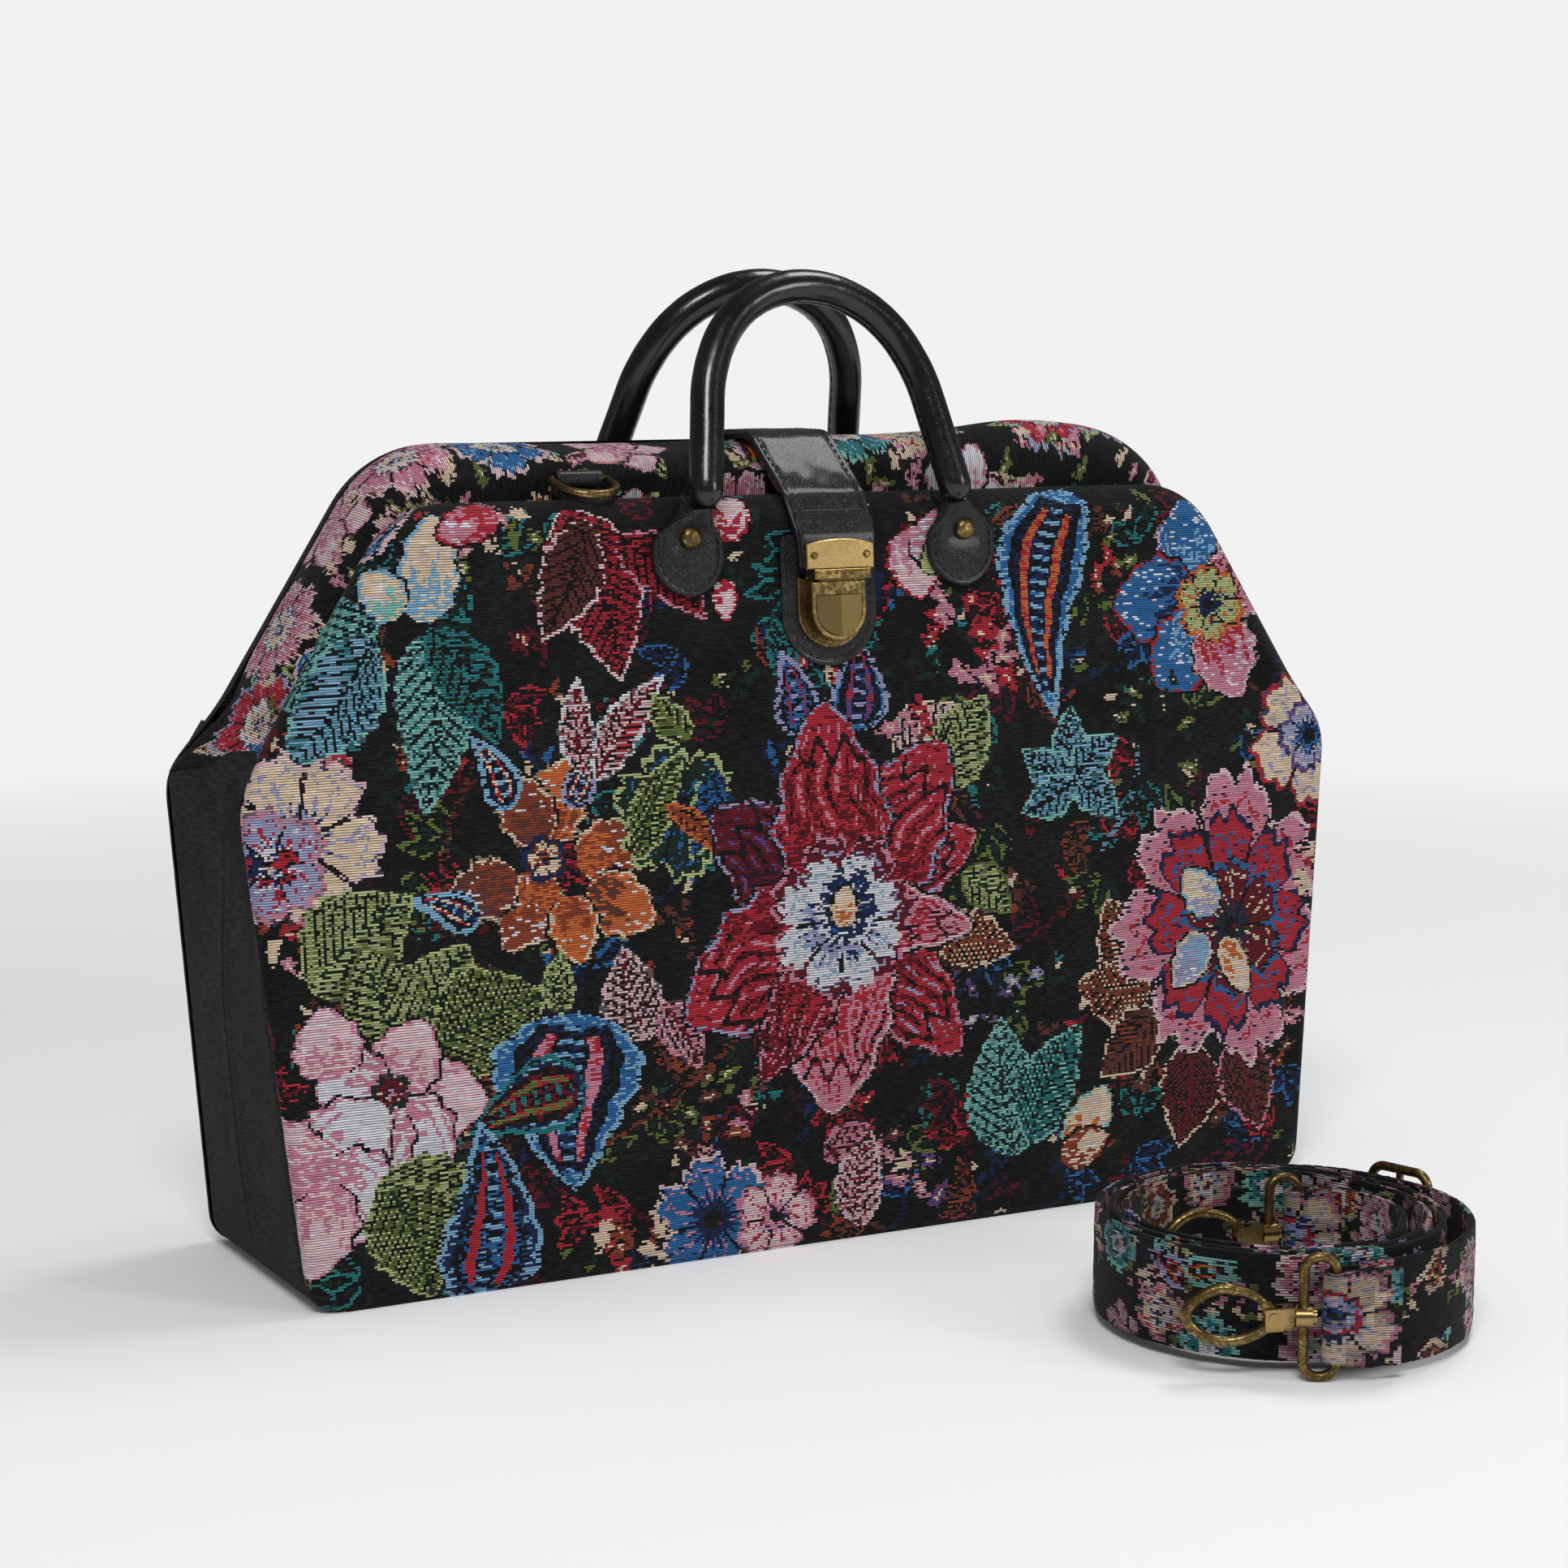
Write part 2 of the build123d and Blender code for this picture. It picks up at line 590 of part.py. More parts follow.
# Handles: a rolled leather arch on two stitched tabs with dome studs
def foot_frame(face, foot_v, lean, towards):
    """Plane of a handle's arch at its foot axis: local x along the bag, local y up the arch."""
    origin = face.from_local_coords((0, foot_v, HANDLE_FOOT_OFF))
    up = (0, towards * sin(rad(lean)), cos(rad(lean)))
    return Plane(origin=origin, x_dir=(1, 0, 0), z_dir=Vector(1, 0, 0).cross(Vector(*up)))


def build_handle(label, plane):
    """Rolled arch with round feet, so that it can tilt on its tabs."""
    with BuildLine() as arch:
        crown = JernArc((0, HANDLE_RISE), (1, 0), HANDLE_CROWN_RADIUS, -HANDLE_CROWN_SWEEP)
        flank = JernArc(crown @ 1, crown % 1, HANDLE_FLANK_RADIUS, HANDLE_CROWN_SWEEP - HANDLE_LEG_SWEEP)
        low = flank @ 1
        Line(low, (low.X + low.Y / tan(rad(HANDLE_LEG_SWEEP)), 0))
        mirror(about=Plane.YZ)
    wire = arch.wires()[0].moved(plane.location)
    with BuildPart() as handle:
        with BuildSketch(Plane(origin=wire @ 0, z_dir=wire % 0)):
            Circle(HANDLE_RADIUS)
        sweep(path=wire)
        for end in (wire @ 0, wire @ 1):
            with Locations(end):
                Sphere(HANDLE_RADIUS)
    save(handle, label)
    return plane.to_local_coords(wire @ 1)


def side_plane(face, x):
    """Plane square to a panel: local x runs up the panel, local y stands out of its face."""
    return Plane(origin=face.from_local_coords((x, 0, 0)), x_dir=face.y_dir, z_dir=face.x_dir)


def tab_neck(face, x, foot_x, foot_v, low, clear):
    """Thick neck of a tab: tapered in front view, ramped in side view."""
    high = foot_v - NECK_EDGE
    rise = NECK_RISE
    half_low, half_high = TAB_RADIUS * NECK_FOOT_SHARE, HANDLE_RADIUS + NECK_EDGE
    with BuildPart() as neck:
        with BuildSketch(face):
            Polygon(
                (x - half_low, low),
                (x + half_low, low),
                (foot_x + half_high, high),
                (foot_x - half_high, high),
                align=None,
            )
        extrude(amount=rise)
        with BuildSketch(side_plane(face, x)):
            Polygon(
                (low, 0),
                (high, 0),
                (high, rise),
                (high - NECK_SHELF, rise),
                (clear, TAB_THICK),
                (low, TAB_THICK),
                align=None,
            )
        extrude(amount=2 * TAB_RADIUS, both=True, mode=Mode.INTERSECT)
    return neck


def build_tab(label, face, side, foot_x, foot_v, drop=0.0):
    """Leather tab sewn to a panel, with a thick neck hollowed for the handle's round foot."""
    x, low, high = side * TAB_X, TAB_LOW_V + drop, TAB_HIGH_V + drop
    with BuildPart() as tab:
        with BuildSketch(face):
            with Locations((x, (low + high) / 2)):
                SlotCenterToCenter(high - low, 2 * TAB_RADIUS, rotation=90)
        extrude(amount=TAB_THICK)
        fillet(outer_edges(tab, face), TAB_THICK * 0.35)
        add(tab_neck(face, x, side * foot_x, foot_v, high, STUD_V + drop + STUD_RADIUS + 0.3).part)
        knuckle = face.from_local_coords((x, foot_v, HANDLE_FOOT_OFF))
        with Locations(Plane(origin=knuckle, z_dir=(1, 0, 0))):
            Cylinder(HANDLE_RADIUS + KNUCKLE_PLAY, 4 * TAB_RADIUS, mode=Mode.SUBTRACT)
        with Locations(Plane(origin=face.from_local_coords((x, STUD_V + drop, 0)), z_dir=face.z_dir)):
            Cylinder(STUD_SHANK, 4 * TAB_THICK, mode=Mode.SUBTRACT)
    return save(tab, label)


def outer_edges(builder, face):
    """Edges of a piece that lie furthest out of a panel's face."""
    edges = [(face.to_local_coords(edge.center()).Z, edge) for edge in builder.edges()]
    top = max(height for height, _ in edges)
    return ShapeList(edge for height, edge in edges if height > top - EDGE_SLACK)


def build_stud(label, face, side, drop=0.0):
    """Dome-headed stud whose post goes through a tab into the panel."""
    start = face.from_local_coords((side * TAB_X, STUD_V + drop, TAB_THICK))
    with BuildPart() as stud:
        with BuildSketch(Plane(origin=start, z_dir=face.z_dir)):
            Circle(STUD_RADIUS)
        extrude(amount=STUD_RISE)
        fillet(outer_edges(stud, face), STUD_RISE * 0.93)
        with BuildSketch(Plane(origin=start, z_dir=face.z_dir)):
            Circle(STUD_SHANK)
        extrude(amount=-TAB_THICK - STUD_BITE)
    return save(stud, label)


def stud_holes(face, drop=0.0):
    """Blind holes of a panel for the posts of its two studs."""
    with BuildPart() as holes:
        for x in (-TAB_X, TAB_X):
            with BuildSketch(Plane(origin=face.from_local_coords((x, STUD_V + drop, 0)), z_dir=face.z_dir)):
                Circle(STUD_SHANK)
            extrude(amount=-STUD_BITE)
    return holes


# Push lock: patch, base with a button pocket and a tongue slot, and the button
def tongue_outline(half, low, high):
    """Plate outline with a round lower end and a flat top, as a sketch in a panel's own plane."""
    with BuildSketch() as outline:
        with BuildLine():
            Polyline((-half, low + half), (-half, high), (half, high), (half, low + half))
            ThreePointArc((half, low + half), (0, low), (-half, low + half))
        make_face()
    return outline


def lock_sketch(height, half, low, high):
    """That outline placed at a height off the front panel's face."""
    return FRONT_FACE.offset(height).location * tongue_outline(half, low, high).sketch


def lock_block(height, rise, half, low, high):
    """Solid with that outline, from a height off the front panel's face and so much thicker."""
    return extrude(lock_sketch(height, half, low, high), amount=rise, dir=FRONT_FACE.z_dir)


def build_lock():
    """Patch, lock base and sliding button on the front panel."""
    with BuildPart() as patch:
        add(lock_block(0, PATCH_THICK, PATCH_HALF, PATCH_LOW_V, PATCH_TOP_V))
        fillet(outer_edges(patch, FRONT_FACE), PATCH_THICK * 0.3)
    save(patch, "lock_patch")

    house_half = LOCK_HALF - HOUSE_INSET
    house_low = LOCK_LOW_V + HOUSE_INSET
    well_half = house_half - HOUSE_WALL
    well_low = house_low + HOUSE_WALL
    well_high = HOUSE_TOP_V - SLOT_DEEP - BUTTON_PLAY
    top = PATCH_THICK + HOUSE_RISE
    with BuildPart() as base:
        add(lock_block(PATCH_THICK, LOCK_FLANGE, LOCK_HALF, LOCK_LOW_V, LOCK_TOP_V))
        fillet(outer_edges(base, FRONT_FACE), LOCK_FLANGE * 0.4)
        add(lock_block(PATCH_THICK, HOUSE_RISE, house_half, house_low, HOUSE_TOP_V))
        fillet(outer_edges(base, FRONT_FACE), HOUSE_WALL * 0.3)
        well = lock_block(top - POCKET_DEPTH, POCKET_DEPTH + 1, well_half, well_low, well_high)
        add(well, mode=Mode.SUBTRACT)
        with BuildSketch(FRONT_FACE.offset(PATCH_THICK + SLOT_LOW)):
            with Locations((0, HOUSE_TOP_V)):
                Rectangle(2 * SLOT_HALF, 2 * SLOT_DEEP)
        extrude(amount=SLOT_HIGH - SLOT_LOW, mode=Mode.SUBTRACT)
    save(base, "lock_base")

    rest = top - POCKET_DEPTH + BUTTON_TRAVEL + BUTTON_PLAY
    crest = top + BUTTON_PROUD
    with BuildPart() as button:
        half = well_half - BUTTON_PLAY
        add(lock_block(rest, crest - rest, half, well_low + BUTTON_PLAY, well_high - BUTTON_PLAY))
        for side in (-1, 1):
            tilt = rad(BUTTON_FACET) * side
            facet = FRONT_FACE.z_dir * cos(tilt) + FRONT_FACE.x_dir * sin(tilt)
            origin = FRONT_FACE.from_local_coords((0, LOCK_LOW_V, crest))
            split(bisect_by=Plane(origin=origin, z_dir=facet), keep=Keep.BOTTOM)
    save(button, "lock_button")


# Closure strap: its side profile is a chain of lines that just clear the hood and the front roll
def line_through(direction_deg, point):
    """Line as (normal y, normal z, offset), with its outward side to the left of its direction."""
    normal = (-sin(rad(direction_deg)), cos(rad(direction_deg)))
    return normal + (normal[0] * point[0] + normal[1] * point[1],)


def outer_tangent(a, radius_a, b, radius_b):
    """Line that touches two circles from above, going from the first to the second."""
    dy, dz = b[0] - a[0], b[1] - a[1]
    length = sqrt(dy * dy + dz * dz)
    swing = sqrt(1 - ((radius_a - radius_b) / length) ** 2)
    lean = (radius_a - radius_b) / length
    normal = (dy / length * lean + dz / length * swing, dz / length * lean - dy / length * swing)
    return normal + (normal[0] * a[0] + normal[1] * a[1] + radius_a,)


def meet(first, second, out=0.0):
    """Point where two lines meet once both are moved out by the same distance."""
    a1, b1, c1 = first
    a2, b2, c2 = second
    det = a1 * b2 - a2 * b1
    c1, c2 = c1 + out, c2 + out
    return ((c1 * b2 - c2 * b1) / det, (a1 * c2 - a2 * c1) / det)


def flap_lines():
    """Four lines under the flap: over the hood, down to the roll, past the roll, along the panel."""
    hood_round = (HOOD_FRONT_Y + HOOD_FRONT_ROUND, BACK_TOP_Z - HOOD_FRONT_ROUND)
    roll = (roll_y(FRONT_TOP_Z - ROLL_RADIUS), FRONT_TOP_Z - ROLL_RADIUS)
    leg_top = FRONT_FACE.from_local_coords((0, FLAP_LEG_TOP_V, FLAP_LEG_OFF))
    leg_point = (leg_top.Y, leg_top.Z)
    out = FRONT_FACE.z_dir
    return [
        (0.0, 1.0, BACK_TOP_Z + FLAP_REST_GAP),
        outer_tangent(hood_round, HOOD_FRONT_ROUND + FLAP_REST_GAP, roll, ROLL_RADIUS + FLAP_REST_GAP),
        outer_tangent(roll, ROLL_RADIUS + FLAP_REST_GAP, leg_point, 0.0),
        (out.Y, out.Z, out.Y * leg_top.Y + out.Z * leg_top.Z),
    ]


def leather_strip(points, bend, thick, half):
    """Leather strip: a bent centre path given by its underside, thickened outwards, across the bag."""
    with BuildPart() as strip:
        with BuildSketch(Plane.YZ) as profile:
            with BuildLine() as line:
                if len(points) > 2:
                    FilletPolyline(*points, radius=bend)
                else:
                    Line(*points)
                offset(amount=thick, side=Side.RIGHT)
            make_face()
        extrude(amount=half, both=True)
    return strip


def plate_pin_holes():
    """Bores of the two small rivets through the lock plate, the overlay and the flap."""
    with BuildPart() as bores:
        with BuildSketch(FRONT_FACE):
            with Locations((-PLATE_PIN_X, PLATE_PIN_V), (PLATE_PIN_X, PLATE_PIN_V)):
                Circle(PLATE_PIN_RADIUS)
        extrude(amount=LEDGE_FRONT + 4)
    return bores


def build_flap():
    """Closure strap with its overlay, its lock plate, two small rivets, and the anchor behind it."""
    over, down, past, leg = flap_lines()
    end = FRONT_FACE.from_local_coords((0, FLAP_END_V, FLAP_LEG_OFF))
    under = [(FLAP_AXIS_Y, BACK_TOP_Z + FLAP_REST_GAP), meet(over, down), meet(down, past), meet(past, leg)]
    under.append((end.Y, end.Z))
    axis_z = BACK_TOP_Z + FLAP_REST_GAP + FLAP_THICK / 2
    bores = plate_pin_holes()
    with BuildPart() as flap:
        add(leather_strip(under, FLAP_BEND, FLAP_THICK, FLAP_HALF).part)
        with Locations(Plane(origin=(0, FLAP_AXIS_Y, axis_z), z_dir=(1, 0, 0))):
            Cylinder(FLAP_THICK / 2, 2 * FLAP_HALF)
        add(bores.part, mode=Mode.SUBTRACT)
    save(flap, "flap_strap")

    bend = meet(past, leg, FLAP_THICK)
    start = meet(down, past, FLAP_THICK)
    length = sqrt((start[0] - bend[0]) ** 2 + (start[1] - bend[1]) ** 2)
    share = min(OVERLAY_REACH / length, 0.9)
    top = (bend[0] + (start[0] - bend[0]) * share, bend[1] + (start[1] - bend[1]) * share)
    low = FRONT_FACE.from_local_coords((0, FLAP_END_V, FLAP_LEG_OFF + FLAP_THICK))
    with BuildPart() as overlay:
        path = [top, bend, (low.Y, low.Z)]
        add(leather_strip(path, FLAP_BEND + FLAP_THICK, OVERLAY_THICK, FLAP_HALF - OVERLAY_INSET).part)
        add(bores.part, mode=Mode.SUBTRACT)
    save(overlay, "flap_overlay")

    plate_low = FLAP_LEG_OFF + FLAP_THICK + OVERLAY_THICK
    with BuildPart() as plate:
        with BuildSketch(FRONT_FACE.offset(plate_low)):
            with BuildLine():
                left, right = (-PLATE_HALF, PLATE_HIGH_V), (PLATE_HALF, PLATE_HIGH_V)
                Polyline(left, (-PLATE_HALF, PLATE_LOW_V), (PLATE_HALF, PLATE_LOW_V), right)
                ThreePointArc(right, (0, PLATE_HIGH_V + PLATE_CROWN), left)
            make_face()
        extrude(amount=PLATE_THICK)
        chamfer(outer_edges(plate, FRONT_FACE), PLATE_THICK * 0.3)
        with BuildSketch(FRONT_FACE.offset(LEDGE_BACK)):
            with Locations((0, (LEDGE_LOW_V + PLATE_LOW_V) / 2)):
                Rectangle(2 * LEDGE_HALF, PLATE_LOW_V - LEDGE_LOW_V)
        extrude(amount=LEDGE_FRONT - LEDGE_BACK)
        fillet(outer_edges(plate, FRONT_FACE), LEDGE_EDGE)
        with BuildSketch(FRONT_FACE.offset(LEDGE_BACK)):
            with Locations((0, LEDGE_LOW_V - TONGUE_LONG / 2)):
                Rectangle(2 * TONGUE_HALF, TONGUE_LONG)
        extrude(amount=TONGUE_THICK)
        add(bores.part, mode=Mode.SUBTRACT)
    save(plate, "lock_plate")

    for label, x in (("left_plate_rivet", -PLATE_PIN_X), ("right_plate_rivet", PLATE_PIN_X)):
        with BuildPart() as rivet:
            with BuildSketch(FRONT_FACE.offset(FLAP_LEG_OFF)):
                with Locations((x, PLATE_PIN_V)):
                    Circle(PLATE_PIN_RADIUS)
            extrude(amount=FLAP_THICK + OVERLAY_THICK + PLATE_THICK)
            with BuildSketch(FRONT_FACE.offset(plate_low + PLATE_THICK)):
                with Locations((x, PLATE_PIN_V)):
                    Circle(PLATE_PIN_HEAD)
            extrude(amount=PLATE_PIN_RISE)
            fillet(outer_edges(rivet, FRONT_FACE), PLATE_PIN_RISE * 0.75)
        save(rivet, label)

    back_line = (BACK_FACE.z_dir.Y, BACK_FACE.z_dir.Z, BACK_FACE.z_dir.Y * BASE_DEPTH / 2)
    corner = meet((0.0, 1.0, BACK_TOP_Z), back_line)
    foot = BACK_FACE.from_local_coords((0, ANCHOR_LOW_V, 0))
    path = [(foot.Y, foot.Z), corner, (FLAP_AXIS_Y, BACK_TOP_Z)]
    with BuildPart() as anchor:
        bend = min(HOOD_BACK_ROUND, ANCHOR_BEND_SHARE * (corner[0] - FLAP_AXIS_Y))
        add(leather_strip(path, bend, FLAP_THICK, FLAP_HALF).part)
        with Locations(Plane(origin=(0, FLAP_AXIS_Y, axis_z), z_dir=(1, 0, 0))):
            Cylinder(FLAP_THICK / 2 + ANCHOR_PLAY, 3 * FLAP_HALF, mode=Mode.SUBTRACT)
        split(bisect_by=Plane.XZ.offset(-FLAP_AXIS_Y - 0.6), keep=Keep.BOTTOM)
    save(anchor, "strap_anchor")


# D-rings on leather strips whose ends are rolled into loops
def ring_wire(half, reach, corner):
    """Closed D outline: a straight bar with rounded ends, straight sides and a half round."""
    with BuildSketch() as outline:
        with BuildLine():
            Polyline((-half, reach - half), (-half, 0), (half, 0), (half, reach - half))
            ThreePointArc((half, reach - half), (0, reach), (-half, reach - half))
        make_face()
        fillet(outline.vertices().group_by(Axis.Y)[0], corner)
    return outline.face().outer_wire()


def build_d_ring(label, strip_label, bar, face_dir, strip_dir, ring_dir, strip_long):
    """D-ring hanging from the rolled end of a leather strip that lies flat on a wall."""
    loop_outer = RING_WIRE + LOOP_PLAY + LOOP_LEATHER
    plane = Plane(origin=bar, x_dir=(1, 0, 0), z_dir=Vector(1, 0, 0).cross(Vector(*ring_dir)))
    wire = ring_wire(RING_HALF, RING_REACH, RING_CORNER).moved(plane.location)
    with BuildPart() as ring:
        with BuildSketch(Plane(origin=wire @ 0, z_dir=wire % 0)):
            Circle(RING_WIRE)
        sweep(path=wire)
    save(ring, label)
    strip_plane = Plane(origin=bar, x_dir=strip_dir, z_dir=(1, 0, 0))
    out = strip_plane.y_dir.dot(Vector(*face_dir))
    with BuildPart() as strip:
        with BuildSketch(strip_plane):
            with Locations((strip_long / 2, -out * (loop_outer - LOOP_LEATHER))):
                Rectangle(strip_long, 2 * LOOP_LEATHER)
            Circle(loop_outer)
            Circle(RING_WIRE + LOOP_PLAY, mode=Mode.SUBTRACT)
        extrude(amount=LOOP_HALF, both=True)
    save(strip, strip_label)


def build_d_rings():
    """Front D-ring at the left of the mouth, and the back one at the right of the back panel."""
    loop_outer = RING_WIRE + LOOP_PLAY + LOOP_LEATHER
    drop = rad(FRONT_RING_DROP)
    build_d_ring(
        "front_d_ring",
        "front_ring_strip",
        (-RING_X, HOOD_FRONT_Y - loop_outer, FRONT_RING_Z),
        (0, -1, 0),
        (0, 0, -1),
        (0, -cos(drop), -sin(drop)),
        FRONT_RING_Z - FRONT_STRIP_LOW_Z,
    )
    up = BACK_FACE.y_dir
    bar = BACK_FACE.from_local_coords((-RING_X, BACK_RING_V, loop_outer))
    build_d_ring(
        "back_d_ring",
        "back_ring_strip",
        (bar.X, bar.Y, bar.Z),
        (0, BACK_FACE.z_dir.Y, BACK_FACE.z_dir.Z),
        (0, up.Y, up.Z),
        (0, -up.Y, -up.Z),
        BACK_STRIP_HIGH_V - BACK_RING_V,
    )


# Shoulder strap
def bearing(angle):
    """Unit vector on the floor for a bearing in degrees."""
    return Vector(cos(rad(angle)), sin(rad(angle)))


def coil_arcs():
    """Half turns of the coil from its outer end inwards, as (centre, radius, start, sweep)."""
    centre = Vector(*COIL_CENTRE) - bearing(COIL_START + 180) * (COIL_RADII[0] - COIL_RADII[1])
    arcs = []
    for turn, radius in enumerate(COIL_RADII):
        start = COIL_START + 180 * turn
        if turn:
            centre = centre + bearing(start) * (COIL_RADII[turn - 1] - radius)
        last = turn == len(COIL_RADII) - 1
        arcs.append((centre, radius, start, COIL_LAST_SWEEP if last else 180.0))
    return arcs


LOOP_INNER = FRAME_WIRE + END_LOOP_PLAY
LOOP_OUTER = LOOP_INNER + STRAP_THICK


def end_frames():
    """For the outer and the inner end: middle of the loop, direction off the strap, outward side."""
    arcs = coil_arcs()
    centre, radius, start, _ = arcs[0]
    outer_dir = bearing(start - 90)
    outer = centre + bearing(start) * radius + outer_dir * LOOP_INNER
    centre, radius, start, sweep_angle = arcs[-1]
    inner_dir = bearing(start + sweep_angle + 90)
    inner = centre + bearing(start + sweep_angle) * radius + inner_dir * LOOP_INNER
    return (outer, outer_dir, 1.0), (inner, inner_dir, -1.0)


def build_webbing():
    """Coiled webbing with a gathered loop at each end and a short loop for the slider's bar."""
    with BuildPart() as webbing:
        with BuildSketch(Plane.XY.offset(HARDWARE_Z - STRAP_WIDTH / 2)):
            for centre, radius, start, sweep_angle in coil_arcs():
                with BuildLine():
                    arc = CenterArc((centre.X, centre.Y), radius, start, sweep_angle)
                    offset(arc, amount=STRAP_THICK / 2, side=Side.BOTH)
                make_face()
        extrude(amount=STRAP_WIDTH)
        with BuildSketch(Plane.XY.offset(HARDWARE_Z - LOOP_WIDTH / 2)):
            for middle, away, side in end_frames():
                out = Vector(away.Y, -away.X) * -side
                fold = middle - away * LOOP_FOLD / 2 + out * (STRAP_THICK * 0.95)
                with Locations((fold.X, fold.Y)):
                    Rectangle(LOOP_FOLD, STRAP_THICK, rotation=degrees(atan2(away.Y, away.X)))
                with Locations((middle.X, middle.Y)):
                    Circle(LOOP_OUTER)
            with Locations((slider_plane().origin.X, slider_plane().origin.Y)):
                Circle(SLIDER_BAR + END_LOOP_PLAY + STRAP_THICK * 0.8)
        extrude(amount=LOOP_WIDTH)
        with BuildSketch():
            for middle, _, _ in end_frames():
                with Locations((middle.X, middle.Y)):
                    Circle(LOOP_INNER)
            with Locations((slider_plane().origin.X, slider_plane().origin.Y)):
                Circle(SLIDER_BAR + END_LOOP_PLAY)
        extrude(amount=FRAME_TALL, mode=Mode.SUBTRACT)
    save(webbing, "strap_webbing")


def slider_plane():
    """Upright plane of the slider, outside the coil's outer turn: local x is along the strap."""
    centre, radius, _, _ = coil_arcs()[0]
    off = SLIDER_BAR + END_LOOP_PLAY + STRAP_THICK * 1.1
    place = centre + bearing(SLIDER_BEARING) * (radius + off)
    along = bearing(SLIDER_BEARING + 90)
    return Plane(origin=(place.X, place.Y, HARDWARE_Z), x_dir=along, z_dir=bearing(SLIDER_BEARING))


def upright_frame(plane, long, corner):
    """Closed rounded frame of round wire, as tall as all strap hardware, around a plane's origin."""
    with BuildSketch() as outline:
        RectangleRounded(long, FRAME_TALL - 2 * FRAME_WIRE, corner)
    wire = outline.face().outer_wire().moved(plane.location)
    with BuildPart() as frame:
        with BuildSketch(Plane(origin=wire @ 0, z_dir=wire % 0)):
            Circle(FRAME_WIRE)
        sweep(path=wire)
    return frame


def build_slider():
    """Slider: a frame of wire with a middle bar, held by the webbing's own loop."""
    plane = slider_plane()
    with BuildPart() as slider:
        add(upright_frame(plane, SLIDER_LONG, END_RING_CORNER).part)
        with BuildSketch(Plane(origin=plane.origin, z_dir=(0, 0, 1))):
            Circle(SLIDER_BAR)
        extrude(amount=FRAME_TALL / 2 - FRAME_WIRE, both=True)
    save(slider, "strap_slider")


def hook_plane(middle, angle):
    """Upright plane of an end ring and its hook: local x runs away from the strap, local y is up."""
    away = bearing(angle)
    return Plane(origin=(middle.X, middle.Y, HARDWARE_Z), x_dir=away, z_dir=Vector(away.Y, -away.X, 0))


def build_end_ring(label, plane):
    """Tall ring in an end loop, with a bored boss for the hook's post."""
    middle = plane.from_local_coords((END_RING_REACH / 2, 0, 0))
    shifted = Plane(origin=middle, x_dir=plane.x_dir, z_dir=plane.z_dir)
    boss_plane = Plane(origin=plane.from_local_coords((END_RING_REACH, 0, 0)), z_dir=plane.x_dir)
    with BuildPart() as ring:
        add(upright_frame(shifted, END_RING_REACH, END_RING_CORNER * 0.9).part)
        with Locations(boss_plane):
            Cylinder(BOSS_RADIUS, 2 * BOSS_HALF)
            Cylinder(POST_RADIUS + POST_PLAY, 4 * BOSS_HALF, mode=Mode.SUBTRACT)
    save(ring, label)


def hook_wire(own):
    """Bent round bar of a hook, its nose cut round about the gate's pivot."""
    tall = HOOK_HALF_TALL
    with BuildPart() as wire:
        with BuildLine(own) as path:
            Spline(
                (NECK_END - 1.5, -NECK_HALF_TALL + HOOK_WIRE),
                (HOOK_TIP * 0.58, -tall),
                (HOOK_TIP * 0.85, -tall * 0.82),
                (HOOK_TIP, 0),
                (HOOK_TIP * 0.87, tall * 0.8),
                (NOSE_END - 2.0, tall),
            )
        bent = path.wires()[0]
        with BuildSketch(Plane(origin=bent @ 0, z_dir=bent % 0)):
            Circle(HOOK_WIRE)
        sweep(path=bent)
        with BuildSketch(own):
            with Locations((GATE_PIVOT, 0)):
                Circle(nose_radius() + GATE_NOSE_GAP)
            with Locations((GATE_PIVOT, NECK_HALF_TALL + HOOK_TIP / 2)):
                Rectangle(2 * HOOK_TIP, HOOK_TIP, mode=Mode.INTERSECT)
        extrude(amount=2 * HOOK_WIRE, both=True, mode=Mode.SUBTRACT)
    return wire


def nose_radius():
    """Distance from the gate's pivot to the seam between the gate and the nose."""
    return sqrt((NOSE_END - GATE_PIVOT) ** 2 + (HOOK_HALF_TALL - HOOK_WIRE) ** 2)


